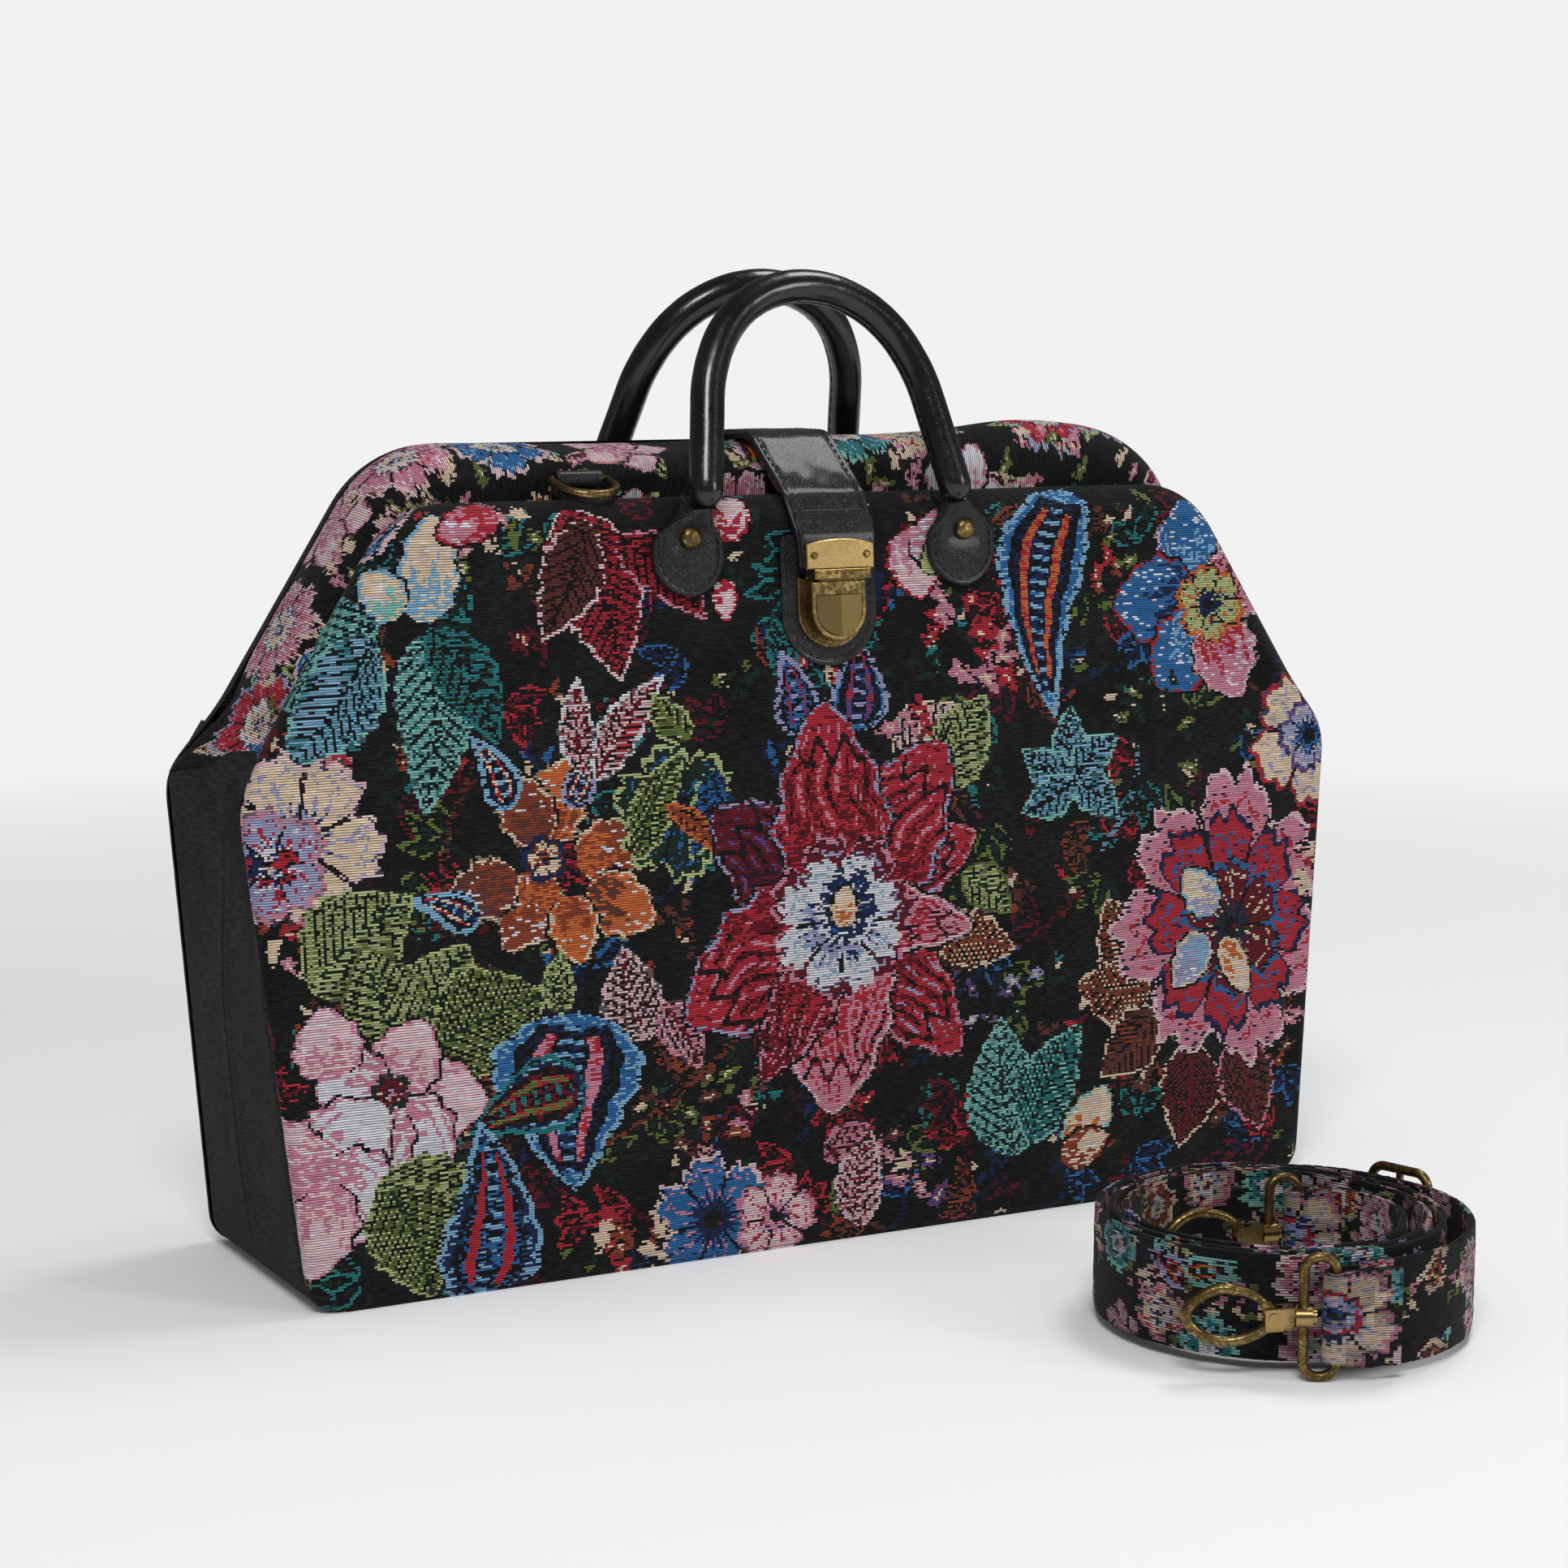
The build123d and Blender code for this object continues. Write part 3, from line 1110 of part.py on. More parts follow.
def build_hook(side, plane):
    """Swivel hook: post and forked neck with a bent bar, its sprung gate, and the gate's rivet."""
    boss = plane.from_local_coords((END_RING_REACH, 0, 0))
    own = Plane(origin=boss, x_dir=plane.x_dir, z_dir=plane.z_dir)
    along = Plane(origin=boss, z_dir=plane.x_dir)
    pivot = Plane(origin=own.from_local_coords((GATE_PIVOT, 0, 0)), x_dir=own.x_dir, z_dir=own.z_dir)
    with BuildPart() as hook:
        add(hook_wire(own).part)
        with BuildSketch(along.offset(-BOSS_HALF - 0.15)):
            Circle(POST_RADIUS)
        extrude(amount=NECK_START + BOSS_HALF + 0.65)
        with BuildSketch(along.offset(-BOSS_HALF - 0.15)):
            Circle(POST_HEAD)
        extrude(amount=-1.2)
        with BuildSketch(own):
            Polygon(
                (NECK_START, -NECK_HALF_TALL * 0.8),
                (NECK_END, -NECK_HALF_TALL),
                (NECK_END, NECK_HALF_TALL * 0.6),
                (NECK_START, NECK_HALF_TALL * 0.8),
                align=None,
            )
        extrude(amount=NECK_HALF_THICK, both=True)
        with BuildSketch(own):
            with Locations(((GATE_PIVOT - 2.8 + NECK_END + 1) / 2, NECK_HALF_TALL / 2)):
                Rectangle(NECK_END + 1 - GATE_PIVOT + 2.8, 2 * NECK_HALF_TALL + 1)
        extrude(amount=GATE_SLOT_HALF, both=True, mode=Mode.SUBTRACT)
        with Locations(pivot):
            Cylinder(RIVET_RADIUS + RIVET_PLAY, 4 * NECK_HALF_THICK, mode=Mode.SUBTRACT)
    save(hook, f"{side}_hook")

    bar = GATE_SLOT_HALF - GATE_PLAY
    with BuildPart() as gate:
        with BuildLine(own) as path:
            Spline((GATE_PIVOT + 1.6, 2.6), (GATE_PIVOT + 5.6, 6.3), (NOSE_END + 1, HOOK_HALF_TALL))
        bent = path.wires()[0]
        with BuildSketch(Plane(origin=bent @ 0, z_dir=bent % 0)):
            Circle(bar)
        sweep(path=bent)
        with BuildSketch(own):
            with Locations((GATE_PIVOT, 0)):
                Circle(2.4)
            Polygon(
                (GATE_PIVOT - 1.6, 1.6),
                (GATE_PIVOT + 2.3, -0.4),
                (GATE_PIVOT + 4.4, 4.2),
                (GATE_PIVOT + 1.4, 5.0),
                align=None,
            )
        extrude(amount=bar, both=True)
        with Locations(pivot):
            Cylinder(nose_radius(), 4 * bar, mode=Mode.INTERSECT)
            Cylinder(RIVET_RADIUS + RIVET_PLAY, 4 * bar, mode=Mode.SUBTRACT)
    save(gate, f"{side}_gate")

    with BuildPart() as rivet:
        with Locations(pivot):
            Cylinder(RIVET_RADIUS, 2 * NECK_HALF_THICK)
        for way in (-1, 1):
            with BuildSketch(pivot.offset(way * NECK_HALF_THICK)):
                Circle(RIVET_RADIUS * 1.6)
            extrude(amount=way * 0.5)
    save(rivet, f"{side}_gate_rivet")


build_large_panel("front_panel", FRONT_FACE)
build_large_panel("back_panel", BACK_FACE)
build_gusset("left_gusset", -1)
build_gusset("right_gusset", 1)
build_bottom()
build_inside()
build_bow("front_bow", FRONT_BOW, LUG_OUTER_X, roll_y(BOW_FOOT_Z))
build_bow("back_bow", BACK_BOW, LUG_INNER_X, BACK_BOW_Y)
build_hinge_pins()
build_front_half()
build_back_half()
build_pleats()

front_arch = foot_frame(FRONT_FACE, FRONT_FOOT_V, FRONT_HANDLE_LEAN, 1)
back_arch = foot_frame(BACK_FACE, BACK_FOOT_V, BACK_HANDLE_LEAN, -1)
front_foot = build_handle("front_handle", front_arch)
back_foot = build_handle("back_handle", back_arch)
for label, face, side, foot_v, drop in (
    ("front_left", FRONT_FACE, -1, FRONT_FOOT_V, 0.0),
    ("front_right", FRONT_FACE, 1, FRONT_FOOT_V, 0.0),
    ("back_left", BACK_FACE, 1, BACK_FOOT_V, BACK_TAB_RAISE),
    ("back_right", BACK_FACE, -1, BACK_FOOT_V, BACK_TAB_RAISE),
):
    build_tab(f"{label}_tab", face, side, abs(front_foot.X), foot_v, drop)
    build_stud(f"{label}_stud", face, side, drop)

build_lock()
build_flap()
build_d_rings()
build_webbing()
build_slider()
outer_end, inner_end = end_frames()
for end, frame_end, angle in (
    ("outer", outer_end, OUTER_RING_BEARING),
    ("inner", inner_end, INNER_RING_BEARING),
):
    upright = hook_plane(frame_end[0], angle)
    build_end_ring(f"{end}_end_ring", upright)
    build_hook(end, upright)
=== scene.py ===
"""Looks of a tapestry laptop bag: woven tapestry, black chenille, leather and antique brass.

Lengths in the builders are millimetres in the CAD part's own frame, and Skin.mesh turns them into
metres. +Z is up, +X is the bag's right as seen from the front and -Y is towards the viewer.
"""

import logging
import math
from dataclasses import dataclass
from enum import Enum
from typing import Callable, Sequence

import bpy
import numpy as np
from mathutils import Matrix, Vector


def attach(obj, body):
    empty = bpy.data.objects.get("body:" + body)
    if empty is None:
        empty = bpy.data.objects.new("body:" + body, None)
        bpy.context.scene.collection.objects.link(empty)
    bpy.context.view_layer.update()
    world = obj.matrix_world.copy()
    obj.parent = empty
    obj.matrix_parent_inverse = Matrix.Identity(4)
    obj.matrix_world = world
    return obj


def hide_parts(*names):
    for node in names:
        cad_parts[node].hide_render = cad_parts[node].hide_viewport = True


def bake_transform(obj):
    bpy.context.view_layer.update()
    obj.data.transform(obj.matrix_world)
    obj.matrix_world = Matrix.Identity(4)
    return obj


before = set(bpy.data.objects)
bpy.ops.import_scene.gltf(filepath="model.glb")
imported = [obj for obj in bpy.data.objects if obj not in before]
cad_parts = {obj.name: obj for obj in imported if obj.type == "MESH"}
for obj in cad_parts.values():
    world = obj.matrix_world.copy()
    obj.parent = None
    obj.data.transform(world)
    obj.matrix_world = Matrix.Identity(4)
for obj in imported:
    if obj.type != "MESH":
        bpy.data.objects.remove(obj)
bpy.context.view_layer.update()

log = logging.getLogger("laptop_bag")
MM = 0.001

Array = np.ndarray
Frames = tuple[Array, Array, Array]
Point = tuple[float, float]
Material = bpy.types.Material
Socket = bpy.types.NodeSocket

# The bag's own sizes, as in the CAD source
BASE_HALF = 200.0
SHOULDER_HALF = 217.0
SHOULDER_Z = 170.0
BASE_DEPTH = 106.0
FRONT_LEAN = math.radians(3.6)
BACK_LEAN = math.radians(4.3)
BASE_CORNER = 12.0
FRONT_TOP_Z = 265.0
FRONT_TOP_HALF = 158.0
FRONT_TOP_ROUND = 34.0
BACK_TOP_Z = 282.0
BACK_TOP_HALF = 150.0
BACK_TOP_ROUND = 40.0
HOOD_FRONT_Y = -17.0
HOOD_FRONT_ROUND = 12.0
HOOD_BACK_ROUND = 18.0
ROLL_ROUND = 8.4
PANEL_EDGE_ROUND = 4.0
WALL_TOP_Z = 186.0
SEAM_DEPTH = 5.2

# The handles' foot axes and the tabs on the two large panels
FRONT_FOOT_V = 266.5
BACK_FOOT_V = 270.0
FOOT_X = 49.45
TAB_X = 54.5

# Weave: one cell is one float of thread, and rows are the ribs of the cloth
CELL = 1.0
RIB = 0.85


def smooth(low: float, high: float, value: Array) -> Array:
    """Soft step.

    Args:
        low: value where the step starts.
        high: value where the step ends.
        value: what is compared.

    Returns:
        0 below low, 1 above high and a smooth curve between.
    """
    t = np.clip((value - low) / (high - low), 0.0, 1.0)
    return t * t * (3 - 2 * t)


def scatter(a: Array, b: Array, seed: int = 0) -> Array:
    """Repeatable random number for each pair of whole numbers.

    Args:
        a: first whole numbers.
        b: second whole numbers.
        seed: which series.

    Returns:
        Values from 0 to 1.
    """
    n = np.sin(a * 12.9898 + b * 78.233 + seed * 37.719) * 43758.5453
    return n - np.floor(n)


def ripple(u: Array, v: Array, scale: float, seed: int) -> Array:
    """Smooth noise from a few crossed waves.

    Args:
        u: first coordinate.
        v: second coordinate.
        scale: length of the longest wave.
        seed: which series.

    Returns:
        Values of about -1 to 1.
    """
    rng = np.random.default_rng(seed)
    out = np.zeros(np.broadcast(u, v).shape)
    for step in range(5):
        turn, shift = rng.uniform(0, 2 * math.pi, 2)
        reach = scale / (1.0 + 0.55 * step)
        along = u * math.cos(turn) + v * math.sin(turn)
        out = out + np.sin(along * 2 * math.pi / reach + shift) / (1 + 0.5 * step)
    return out / 2.6


def hex_colour(text: str) -> tuple[float, float, float]:
    """Linear colour from a six-digit display colour.

    Args:
        text: red, green and blue as hexadecimal.

    Returns:
        Linear red, green and blue.
    """
    values = [int(text[i : i + 2], 16) / 255 for i in (0, 2, 4)]
    return tuple(v / 12.92 if v <= 0.04045 else ((v + 0.055) / 1.055) ** 2.4 for v in values)


class Thread(Enum):
    """Thread colours of the tapestry."""

    NIGHT = "0c0d10"
    PINE = "1c3026"
    PLUM = "33172c"
    CRIMSON = "c02c3c"
    WINE = "6e1424"
    ROSE = "dc8fa6"
    BLUSH = "f3cfd6"
    CREAM = "f3d9bb"
    WHITE = "ecebf2"
    LAVENDER = "a9abd2"
    VIOLET = "6d4f8c"
    BLUE = "2f6fae"
    SKY = "8cbfe0"
    NAVY = "1d2b56"
    TEAL = "2c8488"
    AQUA = "8fd0c8"
    OLIVE = "6f7d3f"
    LIME = "bcc88a"
    ORANGE = "d8703a"
    RUST = "97452c"
    BROWN = "6d3c34"

    @property
    def rgb(self) -> Array:
        """Linear colour of the thread."""
        return np.array(hex_colour(self.value)) * 0.80


T = Thread
Threads = tuple[Thread, Thread]


class Mix(Enum):
    """How two threads share the cells of a field."""

    ROWS = "rows"
    GRAIN = "grain"


class Weaver:
    """Paints woven motifs cell by cell on one piece of cloth."""

    def __init__(self, u: Array, v: Array, seed: int = 1) -> None:
        """Start a bare ground.

        Args:
            u: cell middles across the cloth, in millimetres.
            v: cell middles up the cloth, in millimetres.
            seed: series of the small variations.
        """
        self.u, self.v = u, v
        self.row = np.floor(v / RIB).astype(int)
        self.col = (np.floor(u / CELL).astype(int) + self.row % 2) // 2
        self.grain = scatter(self.row, self.col, seed)
        self.rgb = np.tile(T.NIGHT.rgb, (len(u), 1))
        self.figure = np.zeros(len(u))
        self.rng = np.random.default_rng(seed)
        self._sprinkle()

    def _sprinkle(self) -> None:
        """Dark green and plum flecks that run through the ground."""
        for thread, seed, limit in ((T.PINE, 11, 0.62), (T.PLUM, 12, 0.78), (T.TEAL, 13, 0.93)):
            patch = ripple(self.u, self.v * 1.6, 46.0, seed)
            hit = (patch > limit) & (self.grain < 0.34)
            self.lay(np.nonzero(hit)[0], thread, thread, 0.5, cover=0.55)

    def colours(self) -> Array:
        """Colour and figure mask of every cell."""
        return np.concatenate([self.rgb, self.figure[:, None]], 1)

    def near(self, at: Point, reach: float) -> Frames:
        """Cells about a point.

        Args:
            at: the point.
            reach: half the side of the square that is searched.

        Returns:
            Cell numbers, and their offsets from the point across and up.
        """
        du, dv = self.u - at[0], self.v - at[1]
        index = np.nonzero((np.abs(du) < reach) & (np.abs(dv) < reach))[0]
        return index, du[index], dv[index]

    def turned(
        self, at: Point, reach: float, angle: float
    ) -> Frames:
        """Cells about a point, in a motif's own directions.

        Args:
            at: the point.
            reach: half the side of the square that is searched.
            angle: the motif's direction, in degrees.

        Returns:
            Cell numbers, and their offsets along the motif and across it.
        """
        index, du, dv = self.near(at, reach)
        c, s = math.cos(math.radians(angle)), math.sin(math.radians(angle))
        return index, du * c + dv * s, -du * s + dv * c

    def lay(
        self,
        index: Array,
        first: Thread,
        second: Thread | None = None,
        share: float = 0.5,
        mix: Mix = Mix.GRAIN,
        cover: float = 1.0,
    ) -> None:
        """Weave one or two threads into cells.

        Args:
            index: cell numbers.
            first: main thread.
            second: other thread, or none.
            share: part of the cells that the second thread takes in a grain mix.
            mix: how the two share the cells.
            cover: how much of the cell is thread and not ground.
        """
        if not len(index):
            return
        second = second or first
        if mix is Mix.ROWS:
            other = self.row[index] % 2 == 0
        else:
            other = self.grain[index] < share
        tone = 0.86 + 0.28 * scatter(self.row[index], self.col[index] // 5, 5)
        colour = np.where(other[:, None], second.rgb, first.rgb) * tone[:, None]
        self.rgb[index] = colour * cover + T.NIGHT.rgb * (1 - cover)
        self.figure[index] = cover

    def rim(self, index: Array, thread: Thread, dots: Thread = T.NIGHT, gap: float = 0.28) -> None:
        """Dotted outline.

        Args:
            index: cells of the outline.
            thread: its thread.
            dots: thread of the gaps.
            gap: part of the cells that are gaps.
        """
        keep = index[self.grain[index] > gap]
        self.lay(index, dots, dots, cover=0.4)
        self.lay(keep, thread)

    def flower(
        self,
        at: Point,
        reach: float,
        petals: int,
        turn: float,
        fill: Threads,
        edge: Thread,
        vein: Thread,
        core: float = 0.3,
        squash: float = 1.0,
        seed: int = 3,
    ) -> None:
        """Ruffled flower seen from the front.

        Args:
            at: its middle.
            reach: radius to the petal tips.
            petals: how many.
            turn: angle of the first petal, in degrees.
            fill: threads of the outer and inner parts of a petal.
            edge: thread of the outline.
            vein: thread of the streaks.
            core: share of the radius that is left dark for a heart.
            squash: height over width.
            seed: series of the ruffles.
        """
        index, du, dv = self.near(at, reach * 1.25)
        dv = dv / squash
        rho, ang = np.hypot(du, dv), np.arctan2(dv, du) - math.radians(turn)
        phase = np.mod(ang * petals / (2 * math.pi), 1.0)
        number = np.mod(np.floor(ang * petals / (2 * math.pi)), petals)
        off = np.abs(phase - 0.5) * 2
        size = 0.9 + 0.2 * scatter(number, number * 0 + 1, seed)
        lobe = reach * (0.62 + 0.36 * np.sqrt(np.clip(1 - off**2.6, 0, 1)) * size)
        frill = 0.045 * np.sin(ang * petals * 3 + seed) + 0.03 * np.sin(ang * petals * 5 + 2 * seed)
        lobe = lobe * (1 + frill)
        t = rho / lobe
        body = (t < 1.0) & (t > core * 0.8)
        self.lay(index[body], fill[0], fill[1], 0.05)
        streak = np.sin(phase * 2 * math.pi * 3.0 + 2.2 * np.sin(t * 5 + number)) > 0.55
        inner = body & (t < 0.72 - 0.25 * off)
        self.lay(index[inner & streak], vein, fill[0], 0.3)
        shade = body & (t < core + 0.16 + 0.10 * np.sin(phase * 2 * math.pi * 4))
        self.lay(index[shade], fill[1], T.NAVY, 0.42)
        gap = body & (off > 0.90) & (t > core + 0.05)
        self.lay(index[gap], T.NIGHT, T.PLUM, 0.4, cover=0.5)
        second = body & (np.abs(t - 0.80) < 0.025) & (off < 0.8)
        self.lay(index[second], vein, fill[0], 0.45)
        thick = 1.7 / np.maximum(lobe, 6.0)
        self.rim(index[(t > 1 - thick) & (t < 1 + thick * 0.35)], edge, fill[1], 0.22)

    def petal(
        self,
        at: Point,
        length: float,
        width: float,
        angle: float,
        fill: Threads,
        edge: Thread,
        bloom: float = 0.8,
        seed: int = 4,
        vein: Thread | None = None,
    ) -> None:
        """One petal from its base outwards, lighter towards the tip.

        Args:
            at: its base.
            length: base to tip.
            width: widest place.
            angle: direction of the tip, in degrees.
            fill: threads of the tip and of the base.
            edge: thread of the outline.
            bloom: where the petal is widest, as a power.
            seed: series of the ruffles.
            vein: thread of the long streaks, or none for a petal with a pale grain.
        """
        index, along, across = self.turned(at, length * 1.15, angle)
        along = along / length
        a = np.clip(along, 0.001, 0.999)
        half = width / 2 * np.sin(math.pi * a**bloom) ** 0.62
        half = half * (1 + 0.07 * np.sin(along * 23 + seed))
        inside = (along > 0) & (along < 1) & (np.abs(across) < half)
        self.lay(index[inside], fill[0], T.WHITE if vein is None else fill[1], 0.12)
        if vein is not None:
            fan = np.mod(across / np.maximum(half, 1.0) * 2.6 + 0.5 * np.sin(along * 9 + seed), 1.0)
            self.lay(index[inside & (fan < 0.22) & (along > 0.25) & (along < 0.88)], vein, fill[0], 0.35)
            self.lay(index[inside & (np.abs(fan - 0.6) < 0.13) & (along < 0.7)], fill[1], T.NIGHT, 0.45)
            fold = inside & (np.abs(along - 0.74 - 0.06 * np.sin(across * 0.6 + seed)) < 0.025)
            self.lay(index[fold], T.NIGHT, fill[1], 0.4, cover=0.6)
        base = inside & (along < 0.18 + 0.5 * scatter(np.floor(across / 1.3), along * 0, seed))
        self.lay(index[base], fill[1], fill[0], 0.35)
        near_edge = inside & (np.abs(across) > half - 1.5)
        self.lay(index[near_edge], edge, fill[0], 0.35)
        outline = (along > -0.02) & (along < 1.03) & (np.abs(across) >= half) & (np.abs(across) < half + 1.3)
        self.lay(index[outline & (a > 0.05)], T.NIGHT, edge, 0.25, cover=0.6)

    def leaf(
        self,
        at: Point,
        length: float,
        width: float,
        angle: float,
        fill: Threads,
        edge: Thread,
        rib: Thread = T.NIGHT,
        hatch: float = 5.5,
        seed: int = 6,
    ) -> None:
        """Leaf with a midrib, slanted veins and a light outline.

        Args:
            at: its stalk end.
            length: stalk to tip.
            width: widest place.
            angle: direction of the tip, in degrees.
            fill: two threads of the blade.
            edge: thread of the outline.
            rib: thread of the midrib.
            hatch: distance between veins.
            seed: series of the ruffles.
        """
        index, along, across = self.turned(at, length * 1.12, angle)
        across = across - 0.06 * length * np.sin(along / length * math.pi)
        a = np.clip(along / length, 0.001, 0.999)
        half = width / 2 * np.sin(math.pi * a**0.75) ** 0.85 * (1 + 0.06 * np.sin(along * 0.9 + seed))
        inside = (along > 0) & (along < length) & (np.abs(across) < half)
        self.lay(index[inside], fill[0], fill[1], mix=Mix.ROWS)
        vein = inside & (np.mod(along - np.abs(across) * 0.9, hatch) < hatch * 0.36)
        self.lay(index[vein], fill[1], T.NIGHT, 0.25, cover=0.85)
        dark = inside & (np.mod(along - np.abs(across) * 0.9 + hatch * 0.5, hatch) < hatch * 0.30)
        self.lay(index[dark], T.NIGHT, fill[1], 0.15, cover=0.5)
        self.lay(index[inside & (np.abs(across) < 0.8)], rib, fill[1], 0.3)
        self.rim(index[inside & (np.abs(across) > half - 1.5)], edge, fill[1], 0.3)

    def paisley(
        self,
        at: Point,
        size: float,
        angle: float,
        fill: Threads,
        edge: Thread,
        line: Thread,
        slim: float = 0.5,
        bend: float = 0.35,
    ) -> None:
        """Curved drop with scalloped rings, a bright line and dots.

        Args:
            at: its middle.
            size: height.
            angle: direction of the tail, in degrees.
            fill: outer and inner threads.
            edge: thread of the outline.
            line: thread of the inner line.
            slim: width over height.
            bend: how far the tail leans over.
        """
        index, along, across = self.turned(at, size * 0.72, angle)
        along, across = along / size + 0.5, across / size
        a = np.clip(along, 0.0, 1.0)
        across = across - bend * (a - 0.35) ** 2 * np.sign(bend)
        head = np.sqrt(np.clip(1 - ((0.34 - a) / 0.34) ** 2, 0, 1))
        tail = np.clip((1 - a) / 0.66, 0, 1) ** 0.75
        half = slim / 2 * np.where(a < 0.34, head, tail) * (1 + 0.05 * np.sin(along * 34))
        t = np.abs(across) / np.maximum(half, 1e-4)
        inside = (along > 0) & (along < 1) & (t < 1)
        self.lay(index[inside], fill[0], T.SKY, 0.25)
        mid = inside & (t < 0.66) & (along > 0.07) & (along < 0.90)
        self.lay(index[mid], fill[1], T.NIGHT, 0.5)
        ring = inside & (np.abs(t - 0.66) < 0.07) & (along > 0.06)
        self.lay(index[ring], T.NIGHT, fill[1], 0.3, cover=0.6)
        streak = inside & (np.abs(t - 0.36) < 0.10) & (along > 0.12) & (along < 0.84)
        self.lay(index[streak], line, T.CRIMSON, 0.35)
        spots = inside & (t < 0.2) & (np.mod(along * size, 4.4) < 1.6)
        self.lay(index[spots], edge, fill[0], 0.3)
        wide = 1.7 / size
        rim = (np.abs(across) > half - wide) & (np.abs(across) < half + wide * 0.3)
        outline = (along > -0.015) & (along < 1.01) & rim
        self.rim(index[outline], edge, T.NAVY, 0.2)

    def blots(
        self,
        at: Point,
        reach: float,
        count: int,
        size: float,
        threads: Sequence[Thread],
        seed: int = 0,
    ) -> None:
        """Loose cluster of small blossoms and leaf bits.

        Args:
            at: middle of the cluster.
            reach: how far the bits spread.
            count: how many.
            size: radius of one bit.
            threads: their threads in turn.
            seed: series of the places.
        """
        rng = np.random.default_rng(abs(int(at[0] * 7 + at[1] * 13)) + seed)
        for number in range(count):
            angle, far = rng.uniform(0, 2 * math.pi), reach * math.sqrt(rng.uniform(0, 1))
            spot = (at[0] + far * math.cos(angle), at[1] + far * math.sin(angle) * 0.9)
            index, du, dv = self.near(spot, size * 2.4)
            lean = rng.uniform(0, math.pi)
            c, s = math.cos(lean), math.sin(lean)
            p, q = du * c + dv * s, -du * s + dv * c
            t = np.hypot(p / rng.uniform(1.2, 2.0), q / 0.8) / size
            t = t * (1 + 0.25 * np.sin(np.arctan2(q, p) * 5 + number))
            thread = threads[number % len(threads)]
            self.lay(index[t < 1], thread, T.NIGHT, 0.22, cover=0.95)
            self.lay(index[t < 0.4], T.CREAM if size > 2 else thread, thread, 0.45)

    def stem(self, start: Point, end: Point, sag: float, thread: Thread) -> None:
        """Thin dotted stalk.

        Args:
            start: one end.
            end: other end.
            sag: how far its middle stands off the straight line.
            thread: its thread.
        """
        for f in np.linspace(0, 1, 40):
            x = start[0] + (end[0] - start[0]) * f + sag * math.sin(math.pi * f)
            y = start[1] + (end[1] - start[1]) * f
            index, du, dv = self.near((x, y), 1.3)
            self.lay(index[np.hypot(du, dv) < 1.1], thread, T.NIGHT, 0.35, cover=0.8)


def rounded_corners(
    points: Sequence[Point], radii: Sequence[float], step: float = 2.5
) -> Array:
    """Open outline with its inner corners rounded.

    Args:
        points: corner points, ends included.
        radii: rounding at each point, unused at the ends.
        step: spacing of the points that come back.

    Returns:
        Evenly spaced points along the outline.
    """
    out = [np.array(points[0], float)]
    for i in range(1, len(points) - 1):
        before, at, after = (np.array(points[j], float) for j in (i - 1, i, i + 1))
        a, b = (before - at) / np.linalg.norm(before - at), (after - at) / np.linalg.norm(after - at)
        half = math.acos(np.clip(np.dot(a, b), -1, 1)) / 2
        reach = radii[i] / math.tan(half)
        middle = at + (a + b) / np.linalg.norm(a + b) * radii[i] / math.sin(half)
        start, end = at + a * reach - middle, at + b * reach - middle
        sweep = math.atan2(start[0] * end[1] - start[1] * end[0], np.dot(start, end))
        for f in np.linspace(0, 1, 13):
            c, s = math.cos(sweep * f), math.sin(sweep * f)
            out.append(middle + [start[0] * c - start[1] * s, start[0] * s + start[1] * c])
    out.append(np.array(points[-1], float))
    line = np.array(out)
    length = run_length(line)
    spots = np.linspace(0, length[-1], int(length[-1] / step) + 1)
    return np.stack([np.interp(spots, length, line[:, k]) for k in (0, 1)], axis=1)


def run_length(line: Array) -> Array:
    """Length along a line up to each of its points.

    Args:
        line: the points.

    Returns:
        The lengths, from 0.
    """
    return np.concatenate([[0], np.cumsum(np.linalg.norm(np.diff(line, axis=0), axis=1))])


def heading(line: Array) -> Array:
    """Unit direction along a line at each of its points.

    Args:
        line: the points.

    Returns:
        The directions.
    """
    ahead = np.gradient(line, axis=0)
    return ahead / np.linalg.norm(ahead, axis=1)[:, None]


@dataclass
class Outline:
    """Closed convex outline of a panel, with the distance to it."""

    points: Array

    def measure(self, x: Array, z: Array) -> Frames:
        """Distance and direction to the outline.

        Args:
            x: across.
            z: up.

        Returns:
            Signed distance, positive inside, the nearest outline points and the outward directions there.
        """
        start, end = self.points, np.roll(self.points, -1, axis=0)
        edge = end - start
        size = (edge**2).sum(1)
        side = np.stack([edge[:, 1], -edge[:, 0]], 1) / np.sqrt(size)[:, None]
        middle = self.points.mean(0)
        side = side * np.sign(((start - middle) * side).sum(1))[:, None]
        spots = np.stack([x, z], 1)
        near, gap, inside = np.zeros_like(spots), np.zeros(len(x)), np.zeros(len(x), bool)
        for low in range(0, len(x), 16000):
            part = spots[low : low + 16000, None, :] - start[None]
            t = np.clip((part * edge).sum(2) / size, 0, 1)
            off = part - t[..., None] * edge
            away = (off**2).sum(2)
            best = away.argmin(1)
            rows = np.arange(len(best))
            near[low : low + 16000] = start[best] + t[rows, best][:, None] * edge[best]
            gap[low : low + 16000] = np.sqrt(away[rows, best])
            inside[low : low + 16000] = ((part * side).sum(2) <= 1e-6).all(1)
        signed = np.where(inside, gap, -gap)
        way = (near - spots) * np.sign(signed)[:, None]
        length = np.linalg.norm(way, axis=1)
        way = np.where(length[:, None] > 1e-6, way / np.maximum(length, 1e-6)[:, None], [0.0, 1.0])
        return signed, near, way


